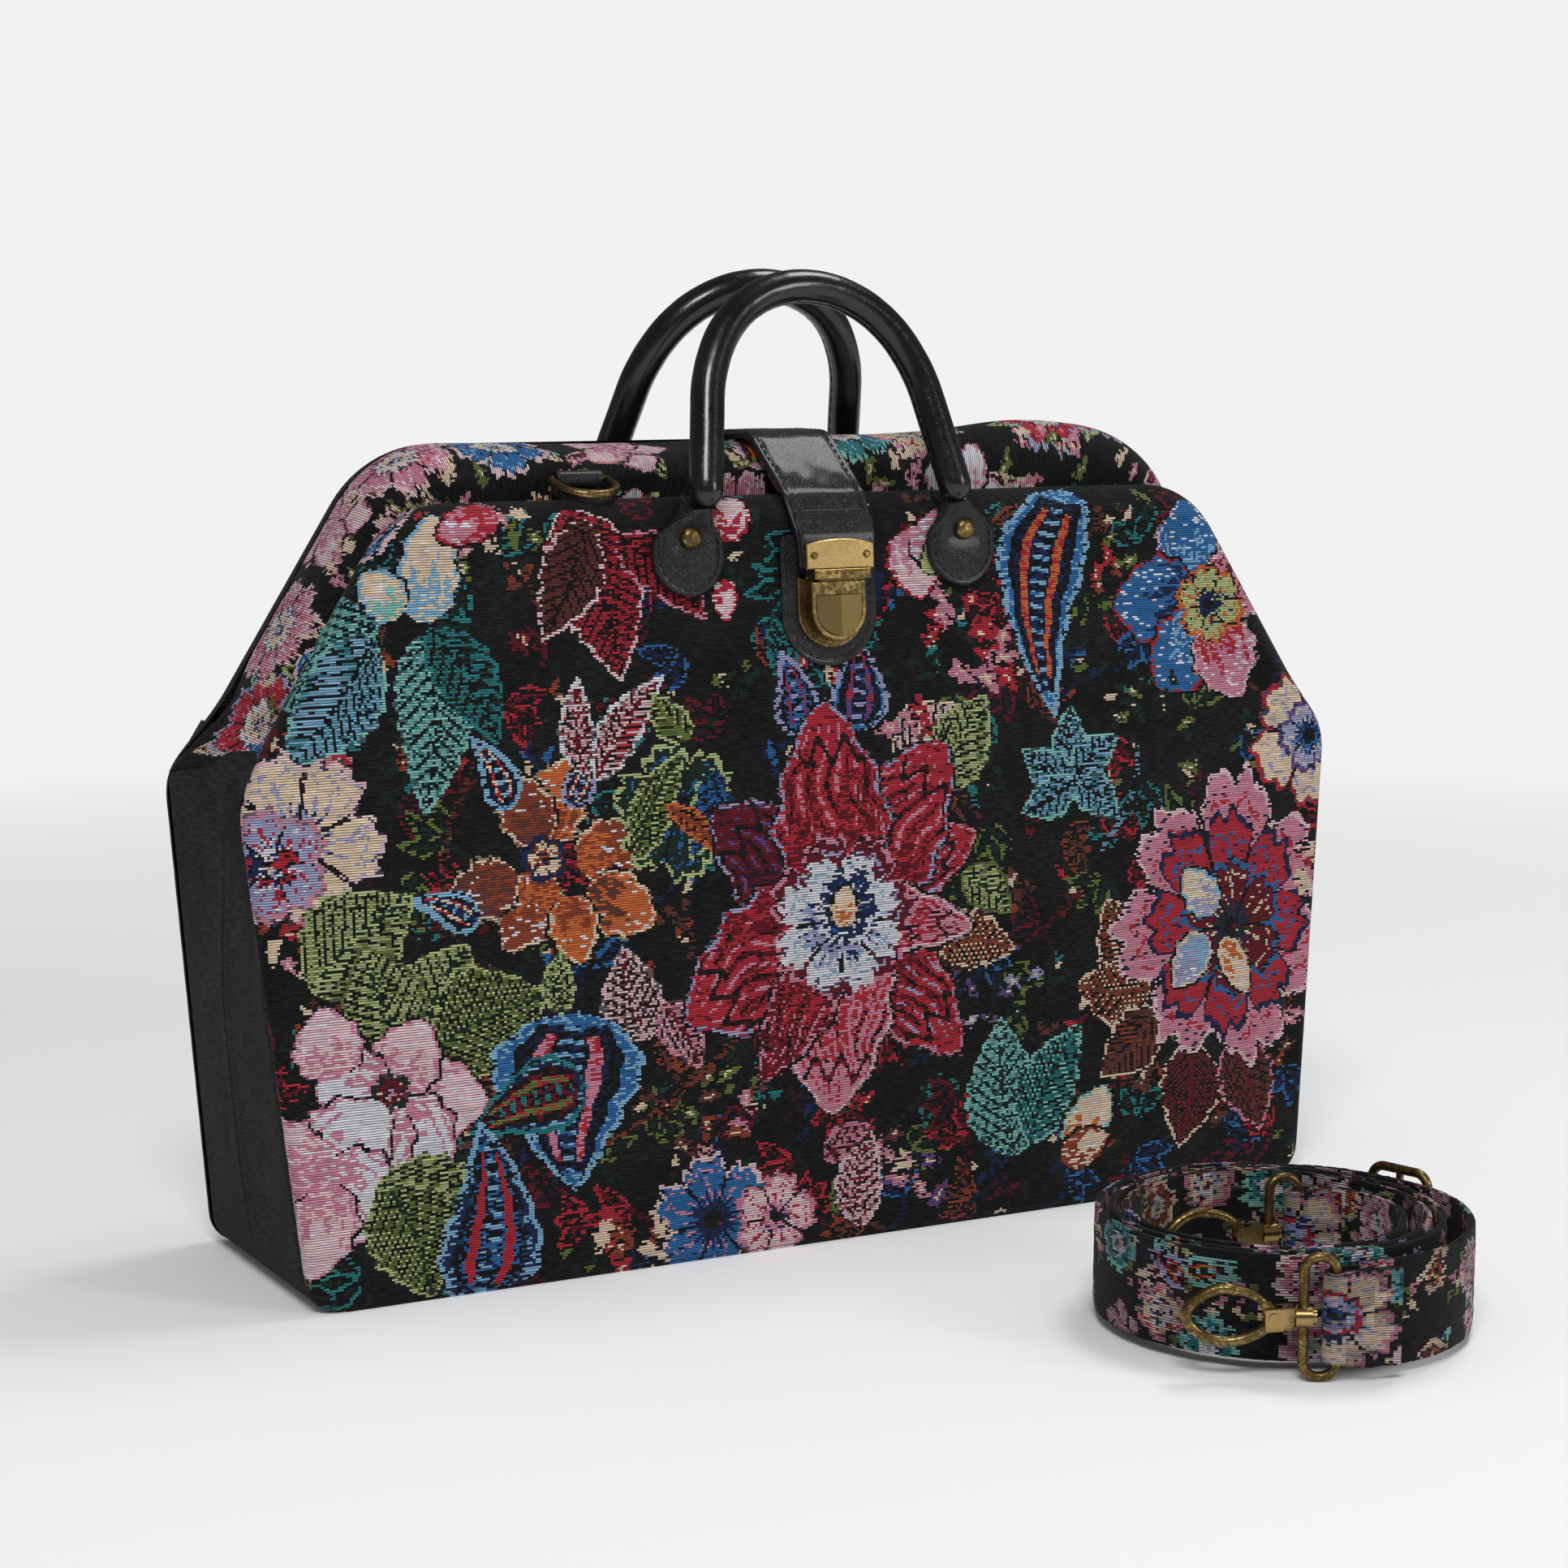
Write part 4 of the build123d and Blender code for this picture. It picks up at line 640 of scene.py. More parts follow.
def panel_ring(half: float, top: float, corner: float) -> Outline:
    """Outline of a large panel with one half of the mouth on it.

    Args:
        half: half width where the slope would meet the top.
        top: height of the top.
        corner: rounding of the top corners.

    Returns:
        The closed outline.
    """
    right = [(0, 0), (BASE_HALF, 0), (SHOULDER_HALF, SHOULDER_Z), (half, top), (0, top)]
    line = rounded_corners(right, [0, BASE_CORNER, 26, corner, 0])
    left = line[::-1][1:-1] * [-1, 1]
    return Outline(np.concatenate([line, left]))


class Skin:
    """Turns arrays into a mesh piece with cloth coordinates and weave colours."""

    @staticmethod
    def mesh(
        name: str,
        points: Array,
        faces: Array,
        material: Material,
        cloth: Array | None = None,
        weave: Array | None = None,
    ) -> bpy.types.Object:
        """Make one object.

        Args:
            name: its name.
            points: vertices in millimetres.
            faces: vertex numbers, four to a face, with the last two alike for a triangle.
            material: its finish.
            cloth: cloth coordinates of the vertices, in millimetres.
            weave: colour and figure mask of the faces.

        Returns:
            The object, linked to the scene.
        """
        used = np.unique(faces)
        back = np.zeros(len(points), int)
        back[used] = np.arange(len(used))
        faces, points = back[faces], points[used]
        data = bpy.data.meshes.new(name)
        data.vertices.add(len(points))
        data.vertices.foreach_set("co", (points * MM).astype(np.float32).ravel())
        sizes = np.where(faces[:, 3] == faces[:, 2], 3, 4)
        loops = faces[np.arange(4) < sizes[:, None]]
        data.loops.add(len(loops))
        data.loops.foreach_set("vertex_index", loops.astype(np.int32))
        data.polygons.add(len(faces))
        data.polygons.foreach_set("loop_start", np.concatenate([[0], np.cumsum(sizes)[:-1]]).astype(np.int32))
        data.polygons.foreach_set("loop_total", sizes.astype(np.int32))
        data.polygons.foreach_set("use_smooth", np.ones(len(faces), bool))
        if cloth is not None:
            layer = data.attributes.new("cloth", "FLOAT_VECTOR", "POINT")
            layer.data.foreach_set("vector", cloth[used].astype(np.float32).ravel())
        if weave is not None:
            layer = data.attributes.new("weave", "FLOAT_COLOR", "FACE")
            layer.data.foreach_set("color", weave.astype(np.float32).ravel())
        data.update(calc_edges=True)
        data.validate()
        data.materials.append(material)
        piece = bpy.data.objects.new(name, data)
        bpy.context.scene.collection.objects.link(piece)
        log.info("piece %s: %d faces", name, len(faces))
        return piece

    @staticmethod
    def grid(rows: int, cols: int, close_cols: bool = False) -> Array:
        """Faces of a grid of vertices.

        Args:
            rows: vertex rows.
            cols: vertex columns.
            close_cols: whether the last column joins the first.

        Returns:
            Vertex numbers, four to a face.
        """
        across = np.arange(cols if close_cols else cols - 1)
        a, b = np.meshgrid(np.arange(rows - 1), across, indexing="ij")
        a, b = a.ravel(), b.ravel()
        n, m = a + 1, (b + 1) % cols
        return np.stack([a * cols + b, a * cols + m, n * cols + m, n * cols + b], 1)

    @staticmethod
    def merge(parts: Sequence[tuple[Array, Array]]) -> tuple[Array, Array]:
        """Join several sets of points and faces.

        Args:
            parts: points and faces of each.

        Returns:
            All points and all faces.
        """
        points, faces, shift = [], [], 0
        for p, f in parts:
            points.append(p)
            faces.append(f + shift)
            shift += len(p)
        return np.concatenate(points), np.concatenate(faces)


def front_place(x: Array, v: Array, h: Array) -> Array:
    """Points from the front panel's own coordinates.

    Args:
        x: across.
        v: up the panel.
        h: out of its face.

    Returns:
        Points in the part's frame.
    """
    c, s = math.cos(FRONT_LEAN), math.sin(FRONT_LEAN)
    return np.stack([x + 0 * v, -BASE_DEPTH / 2 + v * s - h * c, v * c + h * s], -1)


def back_place(x: Array, v: Array, h: Array) -> Array:
    """Points from the back panel's own coordinates, seen from behind.

    Args:
        x: across, to the right as seen from behind.
        v: up the panel.
        h: out of its face.

    Returns:
        Points in the part's frame.
    """
    c, s = math.cos(BACK_LEAN), math.sin(BACK_LEAN)
    return np.stack([-x + 0 * v, BASE_DEPTH / 2 - v * s + h * c, v * c + h * s], -1)


def spot(place: Callable, x: float = 0.0, v: float = 0.0, h: float = 0.0) -> Array:
    """One point of a large panel.

    Args:
        place: front_place or back_place.
        x: across.
        v: up the panel.
        h: out of its face.

    Returns:
        The point.
    """
    return place(np.array([x]), np.array([v]), np.array([h]))[0]


def front_y(z: Array) -> Array:
    """Y of the front panel's face.

    Args:
        z: height.

    Returns:
        Y there.
    """
    return -BASE_DEPTH / 2 + z * math.tan(FRONT_LEAN)


def back_y(z: Array) -> Array:
    """Y of the back panel's face.

    Args:
        z: height.

    Returns:
        Y there.
    """
    return BASE_DEPTH / 2 - z * math.tan(BACK_LEAN)


class Graph:
    """Node tree of one finish, with short ways of adding to it."""

    def __init__(self, tree: bpy.types.NodeTree) -> None:
        """Keep the tree.

        Args:
            tree: where the nodes go.
        """
        self.tree = tree

    @classmethod
    def start(cls, name: str) -> "Graph":
        """Graph of a new material.

        Args:
            name: its name.

        Returns:
            The graph, with the material and its shader as fields.
        """
        material = bpy.data.materials.new(name)
        material.use_nodes = True
        graph = cls(material.node_tree)
        graph.material, graph.shader = material, graph.tree.nodes["Principled BSDF"]
        return graph

    def fill(self, node: bpy.types.Node, inputs: dict) -> None:
        """Set or link inputs of a node.

        Args:
            node: the node.
            inputs: values or sockets by input name or number.
        """
        for key, value in inputs.items():
            if isinstance(value, Socket):
                self.tree.links.new(value, node.inputs[key])
            else:
                node.inputs[key].default_value = value

    def node(self, kind: str, inputs: dict | None = None, **settings) -> bpy.types.Node:
        """Add a node.

        Args:
            kind: its type, without the word that all of them start with.
            inputs: values or sockets by input name or number.
            settings: its own properties.

        Returns:
            The node.
        """
        made = self.tree.nodes.new("ShaderNode" + kind)
        for key, value in settings.items():
            setattr(made, key, value)
        self.fill(made, inputs or {})
        return made

    def maths(self, operation: str, *values, clamp: bool = False) -> Socket:
        """Arithmetic on numbers or sockets.

        Args:
            operation: its operation.
            values: its inputs.
            clamp: whether the result stays between 0 and 1.

        Returns:
            The result's socket.
        """
        return self.node("Math", dict(enumerate(values)), operation=operation, use_clamp=clamp).outputs[0]

    def times(self, a, b, clamp: bool = False) -> Socket:
        """Product of two numbers or sockets."""
        return self.maths("MULTIPLY", a, b, clamp=clamp)

    def plus(self, a, b) -> Socket:
        """Sum of two numbers or sockets."""
        return self.maths("ADD", a, b)

    def mix(self, factor, a, b, mode: str = "MIX") -> Socket:
        """Mix two colours.

        Args:
            factor: how much of the second.
            a: first colour.
            b: second colour.
            mode: way of mixing.

        Returns:
            The mixed colour's socket.
        """
        return self.node("Mix", {0: factor, 6: a, 7: b}, data_type="RGBA", blend_type=mode).outputs[2]

    def noise(self, vector, scale: float, detail: float = 3.0, rough: float = 0.55) -> Socket:
        """Noise on given coordinates.

        Args:
            vector: coordinates.
            scale: waves per unit.
            detail: octaves.
            rough: strength of the finer ones.

        Returns:
            The noise value's socket.
        """
        inputs = {"Vector": vector, "Scale": scale, "Detail": detail, "Roughness": rough}
        return self.node("TexNoise", inputs).outputs["Fac"]

    def ramp(self, value, low: float, high: float, start: float = 0.0, end: float = 1.0) -> Socket:
        """Number moved from one range to another.

        Args:
            value: the number.
            low: start of its range.
            high: end of its range.
            start: result at the start.
            end: result at the end.

        Returns:
            The result's socket.
        """
        inputs = {"Value": value, "From Min": low, "From Max": high, "To Min": start, "To Max": end}
        return self.node("MapRange", inputs).outputs["Result"]

    def grey(self, value: Socket, blue: float | None = None) -> Socket:
        """Grey of a given brightness.

        Args:
            value: the brightness.
            blue: how much stronger its blue is, or none for an even grey.

        Returns:
            The colour's socket.
        """
        third = value if blue is None else self.times(value, blue)
        return self.node("CombineColor", {0: value, 1: value, 2: third}).outputs[0]

    def cloth(self) -> Socket:
        """Cloth coordinates of the piece, in millimetres."""
        return self.node("Attribute", attribute_name="cloth").outputs["Vector"]

    def place(self) -> Socket:
        """Coordinates of the piece in the frame, in metres."""
        return self.node("TexCoord").outputs["Object"]

    def stretch(self, vector: Socket, amount: tuple[float, float, float]) -> Socket:
        """Coordinates stretched by an amount in each direction."""
        return self.node("VectorMath", {0: vector, 1: amount}, operation="MULTIPLY").outputs[0]

    def finish(self, inputs: dict, height: Socket, relief: float, strength: float) -> Material:
        """Fill the shader in and give it a bump.

        Args:
            inputs: values or sockets by input name.
            height: height that the bump follows.
            relief: its depth, in metres.
            strength: its strength.

        Returns:
            The material.
        """
        bump = self.node("Bump", {"Height": height, "Distance": relief, "Strength": strength})
        self.fill(self.shader, {**inputs, "Normal": bump.outputs[0]})
        return self.material


@dataclass(frozen=True)
class Tapestry:
    """Woven cloth that shows its cells, ribs with painted shade in the grooves between them, and fuzzy
    ground.
    """

    name: str = "tapestry"
    rib: float = RIB
    # Brightness left by the painted shade at the bottom of each groove between ribs.
    rib_gap_shade: float = 0.14
    relief: float = 0.00035

    def build(self) -> Material:
        """Make the material.

        Returns:
            The material.
        """
        g = Graph.start(self.name)
        cloth = g.cloth()
        weave = g.node("Attribute", attribute_name="weave")
        figure = weave.outputs["Alpha"]
        up = g.node("SeparateXYZ", {0: cloth}).outputs[1]
        phase = g.maths("FRACT", g.maths("DIVIDE", up, self.rib))
        hump = g.maths("SINE", g.times(phase, math.pi))
        # Painted shade: thread colour is darkened towards the groove between neighbouring ribs, as if shade
        # fell there.
        ribs = g.ramp(hump, 0.15, 0.75, self.rib_gap_shade, 1.0)
        strands = g.noise(g.stretch(cloth, (0.22, 1.6, 1.0)), 1.1, 2.0, 0.6)
        fuzz = g.noise(cloth, 1.5, 4.0, 0.72)
        broad = g.noise(cloth, 0.035, 2.0, 0.5)
        # Multiplies the painted rib shade into the woven thread colour.
        thread = g.mix(1.0, weave.outputs["Color"], ribs, "MULTIPLY")
        thread = g.mix(1.0, thread, g.ramp(strands, 0.3, 0.7, 0.72, 1.16), "MULTIPLY")
        low = g.ramp(strands, 0.35, 0.72, 0.0025, 0.015)
        speck = g.ramp(fuzz, 0.60, 0.78, 0.0, 0.028)
        ground = g.grey(g.times(g.plus(low, speck), g.ramp(broad, 0.3, 0.7, 0.65, 1.3)), 1.08)
        pile = g.plus(g.times(fuzz, 0.9), strands)
        raised = g.plus(g.times(hump, 0.8), g.times(strands, 0.35))
        height = g.node("Mix", {0: figure, 2: pile, 3: raised}, data_type="FLOAT").outputs[0]
        inputs = {
            "Base Color": g.mix(figure, ground, thread),
            "Roughness": g.ramp(figure, 0.0, 1.0, 0.97, 0.62),
            "Specular IOR Level": 0.12,
            "Sheen Weight": 0.05,
            "Sheen Roughness": 0.45,
        }
        return g.finish(inputs, height, self.relief, 0.9)


@dataclass(frozen=True)
class Chenille:
    """Plain black pile cloth with uneven streaks."""

    name: str = "black_chenille"
    shade: float = 0.026

    def build(self) -> Material:
        """Make the material.

        Returns:
            The material.
        """
        g = Graph.start(self.name)
        cloth = g.cloth()
        strands = g.noise(g.stretch(cloth, (0.28, 1.5, 1.0)), 0.7, 3.0, 0.7)
        fuzz = g.noise(cloth, 1.2, 4.0, 0.75)
        broad = g.noise(cloth, 0.05, 3.0, 0.6)
        value = g.ramp(strands, 0.38, 0.70, 0.002, self.shade)
        value = g.plus(value, g.ramp(fuzz, 0.60, 0.76, 0.0, 0.06))
        value = g.times(value, g.ramp(broad, 0.3, 0.7, 0.55, 1.5))
        inputs = {
            "Base Color": g.grey(value, 1.1),
            "Roughness": 0.95,
            "Specular IOR Level": 0.15,
            "Sheen Weight": 0.06,
            "Sheen Roughness": 0.4,
        }
        return g.finish(inputs, g.plus(fuzz, strands), 0.0007, 1.0)


@dataclass(frozen=True)
class Leather:
    """Black leather, smooth or grained."""

    name: str
    grain: float
    rough: float
    shade: float
    coat: float

    def build(self) -> Material:
        """Make the material.

        Returns:
            The material.
        """
        g = Graph.start(self.name)
        place = g.place()
        cells = {"Vector": place, "Scale": 900.0, "Randomness": 1.0}
        pores = g.node("TexVoronoi", cells, feature="DISTANCE_TO_EDGE").outputs["Distance"]
        fine = g.noise(place, 1500.0, 3.0, 0.6)
        mid = g.noise(place, 260.0, 4.0, 0.6)
        wear = g.noise(place, 45.0, 3.0, 0.6)
        creases = g.maths("MINIMUM", g.times(pores, 3.0), 0.5)
        height = g.plus(g.times(creases, 0.8 * self.grain), g.times(mid, 0.9))
        height = g.plus(height, g.times(fine, 0.25))
        inputs = {
            "Base Color": g.grey(g.ramp(wear, 0.3, 0.75, self.shade * 0.6, self.shade * 1.8)),
            "Roughness": g.ramp(wear, 0.25, 0.75, self.rough * 0.8, self.rough * 1.3),
            "Specular IOR Level": 0.28,
            "Coat Weight": self.coat,
            "Coat Roughness": 0.12,
        }
        return g.finish(inputs, height, 0.0004, 0.4 + 0.5 * self.grain)


@dataclass(frozen=True)
class Brass:
    """Antique brass with dark mottling and bright worn edges."""

    name: str = "antique_brass"
    bright: tuple[float, float, float] = (0.37, 0.255, 0.10)
    dark: tuple[float, float, float] = (0.09, 0.058, 0.022)

    def build(self) -> Material:
        """Make the material.

        Returns:
            The material.
        """
        g = Graph.start(self.name)
        place = g.place()
        spots = g.noise(place, 700.0, 5.0, 0.72)
        clouds = g.noise(place, 120.0, 3.0, 0.6)
        stain = g.plus(g.times(spots, 0.6), g.times(clouds, 0.4))
        edge = g.node("NewGeometry").outputs["Pointiness"]
        worn = g.ramp(edge, 0.52, 0.60, 0.0, 1.0)
        kept = g.maths("SUBTRACT", 1.0, worn, clamp=True)
        dirt = g.times(g.ramp(stain, 0.46, 0.62, 0.95, 0.0), kept, clamp=True)
        inputs = {
            "Base Color": g.mix(dirt, (*self.bright, 1), (*self.dark, 1)),
            "Metallic": 1.0,
            "Roughness": g.ramp(dirt, 0.0, 1.0, 0.26, 0.48),
        }
        return g.finish(inputs, spots, 0.0001, 0.35)


@dataclass(frozen=True)
class Plain:
    """Simple finish with fine noise, for linings, boards, thread and bare steel."""

    name: str
    colour: str
    rough: float = 0.8
    metallic: float = 0.0
    scale: float = 800.0
    vary: float = 0.35

    def build(self) -> Material:
        """Make the material.

        Returns:
            The material.
        """
        g = Graph.start(self.name)
        grain = g.noise(g.place(), self.scale, 3.0, 0.6)
        base = np.array(hex_colour(self.colour))
        low, high = base * (1 - self.vary), base * (1 + self.vary)
        inputs = {
            "Base Color": g.mix(grain, (*low, 1), (*high, 1)),
            "Roughness": self.rough,
            "Metallic": self.metallic,
        }
        return g.finish(inputs, grain, 0.0002, 0.5)


@dataclass(frozen=True)
class Finishes:
    """Every finish of the bag."""

    tapestry: Material
    chenille: Material
    smooth_leather: Material
    grained_leather: Material
    flap_leather: Material
    thread: Material
    brass: Material
    lining: Material
    board: Material
    steel: Material

    @classmethod
    def build(cls) -> "Finishes":
        """Make them all.

        Returns:
            The set of finishes.
        """
        return cls(
            tapestry=Tapestry().build(),
            chenille=Chenille().build(),
            smooth_leather=Leather("smooth_leather", 0.25, 0.22, 0.006, 0.5).build(),
            grained_leather=Leather("grained_leather", 1.0, 0.36, 0.010, 0.2).build(),
            flap_leather=Leather("flap_leather", 0.8, 0.34, 0.009, 0.3).build(),
            thread=Plain("stitch_thread", "131314", 0.5, scale=2500.0).build(),
            brass=Brass().build(),
            lining=Plain("lining_cloth", "3a3431", 0.9, scale=1200.0).build(),
            board=Plain("board", "2b2a29", 0.85, scale=500.0).build(),
            steel=Plain("frame_steel", "8d8f92", 0.35, 1.0, scale=300.0, vary=0.15).build(),
        )


class FrontPattern:
    """Flowers, leaves and drops of the front panel, from the lowest layer to the top one."""

    BLOTS = (
        (-57, 54, 24, 14, 2.6, (T.BROWN, T.RUST, T.OLIVE, T.ROSE)),
        (8, 38, 16, 9, 2.6, (T.CRIMSON, T.ROSE, T.BROWN)),
        (-126, 252, 16, 10, 2.8, (T.ROSE, T.OLIVE, T.CREAM)),
        (55, 212, 18, 9, 3.4, (T.CRIMSON, T.ROSE, T.CRIMSON)),
        (-2, 205, 12, 7, 2.4, (T.CRIMSON, T.AQUA, T.CREAM)),
        (60, 90, 22, 10, 2.2, (T.VIOLET, T.PINE, T.LAVENDER)),
        (112, 215, 22, 12, 2.0, (T.PINE, T.OLIVE, T.PINE)),
        (-30, 70, 26, 12, 2.0, (T.PINE, T.TEAL, T.BROWN)),
        (120, 235, 12, 6, 2.6, (T.RUST, T.CRIMSON, T.OLIVE)),
        (-190, 180, 8, 6, 2.6, (T.ROSE, T.CRIMSON)),
        (-152, 190, 16, 10, 2.4, (T.CREAM, T.ROSE, T.RUST)),
        (190, 60, 20, 14, 2.6, (T.BROWN, T.ROSE, T.RUST)),
        (150, 40, 26, 16, 2.6, (T.BROWN, T.WINE, T.PINE)),
    )
    STEMS = (
        ((-105, 40), (-40, 78), 6, T.RUST),
        ((60, 60), (100, 150), -8, T.PINE),
        ((-20, 190), (12, 248), 10, T.TEAL),
        ((-130, 190), (-150, 122), -6, T.BROWN),
        ((128, 168), (112, 132), 5, T.SKY),
    )

    @classmethod
    def paint(cls, w: Weaver) -> None:
        """Weave the whole front.

        Args:
            w: the cloth.
        """
        cls.undergrowth(w)
        for x, z, *rest in cls.BLOTS:
            w.blots((x, z), *rest)
        for stalk in cls.STEMS:
            w.stem(*stalk)
        cls.left(w)
        cls.lower_left(w)
        cls.middle(w)
        cls.right(w)

    @staticmethod
    def undergrowth(w: Weaver) -> None:
        """Dark layer between the large motifs.

        Args:
            w: the cloth.
        """
        rng = np.random.default_rng(77)
        tones = (
            (T.PINE, T.TEAL), (T.NAVY, T.BLUE), (T.PLUM, T.WINE),
            (T.BROWN, T.RUST), (T.PINE, T.OLIVE), (T.WINE, T.CRIMSON),
        )
        for x in np.arange(-205, 206, 21.0):
            for z in np.arange(8, 262, 19.0):
                spot = (x + rng.uniform(-9, 9), z + rng.uniform(-8, 8))
                dark, light = tones[rng.integers(len(tones))]
                turn = rng.uniform(0, 360)
                if rng.uniform() < 0.55:
                    for side in (-34, 8, 46):
                        w.leaf(spot, rng.uniform(12, 19), 7.5, turn + side, (dark, T.NIGHT), light, dark, 3.4)
                else:
                    w.blots(spot, 9, 7, 1.7, (dark, light, dark, T.CREAM), int(x) + 300)
                w.stem(spot, (spot[0] + 14 * math.cos(turn), spot[1] - 13), 3.0, dark)

    @staticmethod
    def left(w: Weaver) -> None:
        """Leaves of the mouth's left corner, the left edge's flower, rust blossoms and striped leaves.

        Args:
            w: the cloth.
        """
        sea, wine, striped = (T.TEAL, T.AQUA), (T.WINE, T.CRIMSON), (T.CRIMSON, T.BLUSH)
        w.leaf((-168, 226), 52, 40, 196, sea, T.SKY, T.NIGHT, 4.4)
        w.leaf((-170, 222), 52, 30, 232, (T.TEAL, T.SKY), T.AQUA, T.NIGHT, 4.4)
        w.leaf((-152, 222), 60, 27, 268, sea, T.AQUA, T.NIGHT, 5.0)
        w.leaf((-150, 224), 46, 22, 300, (T.PINE, T.TEAL), T.TEAL, T.NIGHT, 5.0)
        w.petal((-152, 226), 36, 22, 82, (T.CREAM, T.SKY), T.SKY)
        w.petal((-160, 228), 20, 16, 128, (T.CREAM, T.AQUA), T.SKY)
        w.paisley((-166, 262), 34, 20, (T.BLUE, T.SKY), T.BLUSH, T.CRIMSON, 0.7, 0.2)
        w.leaf((-100, 262), 62, 34, 288, wine, T.BLUSH, T.NIGHT, 4.6)
        w.leaf((-92, 258), 44, 24, 246, (T.WINE, T.BROWN), T.BLUSH, T.NIGHT, 4.6)
        w.leaf((-80, 252), 44, 20, 318, wine, T.ROSE, T.NIGHT, 4.6)
        w.petal((-124, 262), 24, 14, 200, (T.ROSE, T.CRIMSON), T.CRIMSON)
        w.petal((-42, 250), 18, 16, 60, (T.BLUSH, T.CRIMSON), T.CRIMSON)
        w.petal((-40, 236), 14, 10, 270, (T.BLUSH, T.CRIMSON), T.CRIMSON)
        w.leaf((-20, 200), 40, 14, 74, (T.PINE, T.TEAL), T.TEAL, T.NIGHT, 4.0)
        w.flower((-199, 157), 30, 6, 20, (T.CREAM, T.LAVENDER), T.BLUSH, T.LAVENDER, 0.2)
        w.flower((-207, 150), 19, 5, 0, (T.LAVENDER, T.WHITE), T.ROSE, T.CRIMSON, 0.25)
        w.blots((-208, 148), 10, 12, 2.0, (T.CRIMSON, T.NAVY, T.CRIMSON))
        w.blots((-202, 122), 10, 9, 2.4, (T.ROSE, T.CREAM, T.CRIMSON))
        for x, z, length, width, angle, tip, base in (
            (-112, 150, 30, 22, 70, T.ORANGE, T.RUST),
            (-112, 150, 28, 20, 118, T.RUST, T.BROWN),
            (-100, 142, 28, 22, 20, T.RUST, T.ORANGE),
            (-96, 134, 28, 22, 330, T.ORANGE, T.BROWN),
            (-110, 140, 30, 22, 235, T.RUST, T.ORANGE),
            (-122, 140, 28, 20, 198, T.BROWN, T.RUST),
            (-104, 132, 24, 18, 280, T.ORANGE, T.RUST),
        ):
            w.petal((x, z), length, width, angle, (tip, base), T.CREAM)
        w.paisley((-128, 176), 28, 110, (T.BLUE, T.NAVY), T.SKY, T.CREAM, 0.5, 0.4)
        w.paisley((-148, 132), 26, 150, (T.BLUE, T.NAVY), T.SKY, T.CREAM, 0.5, -0.4)
        w.paisley((-96, 172), 24, 60, (T.BLUE, T.NAVY), T.LAVENDER, T.CREAM, 0.5, 0.3)
        w.flower((-112, 145), 8, 5, 0, (T.CREAM, T.RUST), T.NAVY, T.RUST, 0.1)
        w.leaf((-92, 170), 44, 16, 52, striped, T.WHITE, T.WINE, 4.2)
        w.leaf((-96, 172), 34, 14, 92, striped, T.WHITE, T.WINE, 4.2)
        w.flower((-62, 158), 24, 6, 12, (T.PINE, T.NIGHT), T.LIME, T.BLUE, 0.1)
        w.leaf((-78, 142), 42, 17, 62, (T.LIME, T.OLIVE), T.LIME, T.PINE, 4.0)
        w.leaf((-46, 172), 34, 16, 250, (T.NAVY, T.BLUE), T.LIME, T.NAVY, 4.0)
        w.leaf((-66, 160), 30, 9, 318, (T.ORANGE, T.RUST), T.ORANGE, T.RUST, 4.0)
        w.leaf((-56, 182), 22, 14, 130, (T.LIME, T.OLIVE), T.LIME, T.OLIVE, 4.0)

    @staticmethod
    def lower_left(w: Weaver) -> None:
        """Green leaves, scalloped blue drops and pink flowers.

        Args:
            w: the cloth.
        """
        moss, spring, pink = (T.OLIVE, T.LIME), (T.LIME, T.OLIVE), (T.WHITE, T.ROSE)
        blush, blue = (T.BLUSH, T.ROSE), (T.BLUE, T.NAVY)
        for x, z, length, width, angle, fill, edge in (
            (-196, 108, 46, 36, 38, moss, T.LIME),
            (-160, 84, 40, 34, 62, moss, T.LIME),
            (-154, 84, 44, 38, 20, spring, T.LIME),
            (-164, 88, 36, 30, 112, moss, T.OLIVE),
        ):
            w.leaf((x, z), length, width, angle, fill, edge, T.PINE, 4.6)
        w.leaf((-108, 92), 22, 13, 88, moss, T.LIME, T.PINE, 3.6)
        w.leaf((-76, 80), 34, 24, 104, (T.BROWN, T.BLUSH), T.BLUSH, T.WINE, 4.0)
        w.leaf((-70, 92), 28, 18, 300, blush, T.ROSE, T.WINE, 4.0)
        w.paisley((-108, 62), 60, 262, blue, T.SKY, T.ROSE, 0.95, 0.3)
        w.paisley((-122, 64), 44, 190, (T.NAVY, T.WINE), T.TEAL, T.OLIVE, 0.6, 0.3)
        for x, z, length, width, angle, fill in (
            (-170, 70, 34, 30, 352, blush),
            (-170, 70, 36, 32, 292, pink),
            (-170, 70, 36, 32, 236, pink),
            (-170, 72, 26, 24, 60, blush),
            (-170, 72, 26, 26, 172, pink),
        ):
            w.petal((x, z), length, width, angle, fill, T.ROSE)
        w.flower((-170, 72), 6.5, 5, 0, (T.WINE, T.ROSE), T.PINE, T.CREAM, 0.1)
        for x, z, length, width, angle, fill in (
            (-190, 78, 24, 24, 96, blush),
            (-198, 46, 34, 32, 40, pink),
            (-196, 48, 34, 32, 322, pink),
            (-196, 46, 34, 30, 262, blush),
            (-196, 46, 30, 28, 150, blush),
        ):
            w.petal((x, z), length, width, angle, fill, T.ROSE)
        w.leaf((-176, 42), 46, 34, 326, moss, T.LIME, T.PINE, 4.6)
        w.leaf((-172, 40), 42, 34, 290, spring, T.LIME, T.PINE, 4.6)
        w.paisley((-134, 26), 62, 80, (T.NAVY, T.BLUE), T.SKY, T.CRIMSON, 0.6, 0.4)
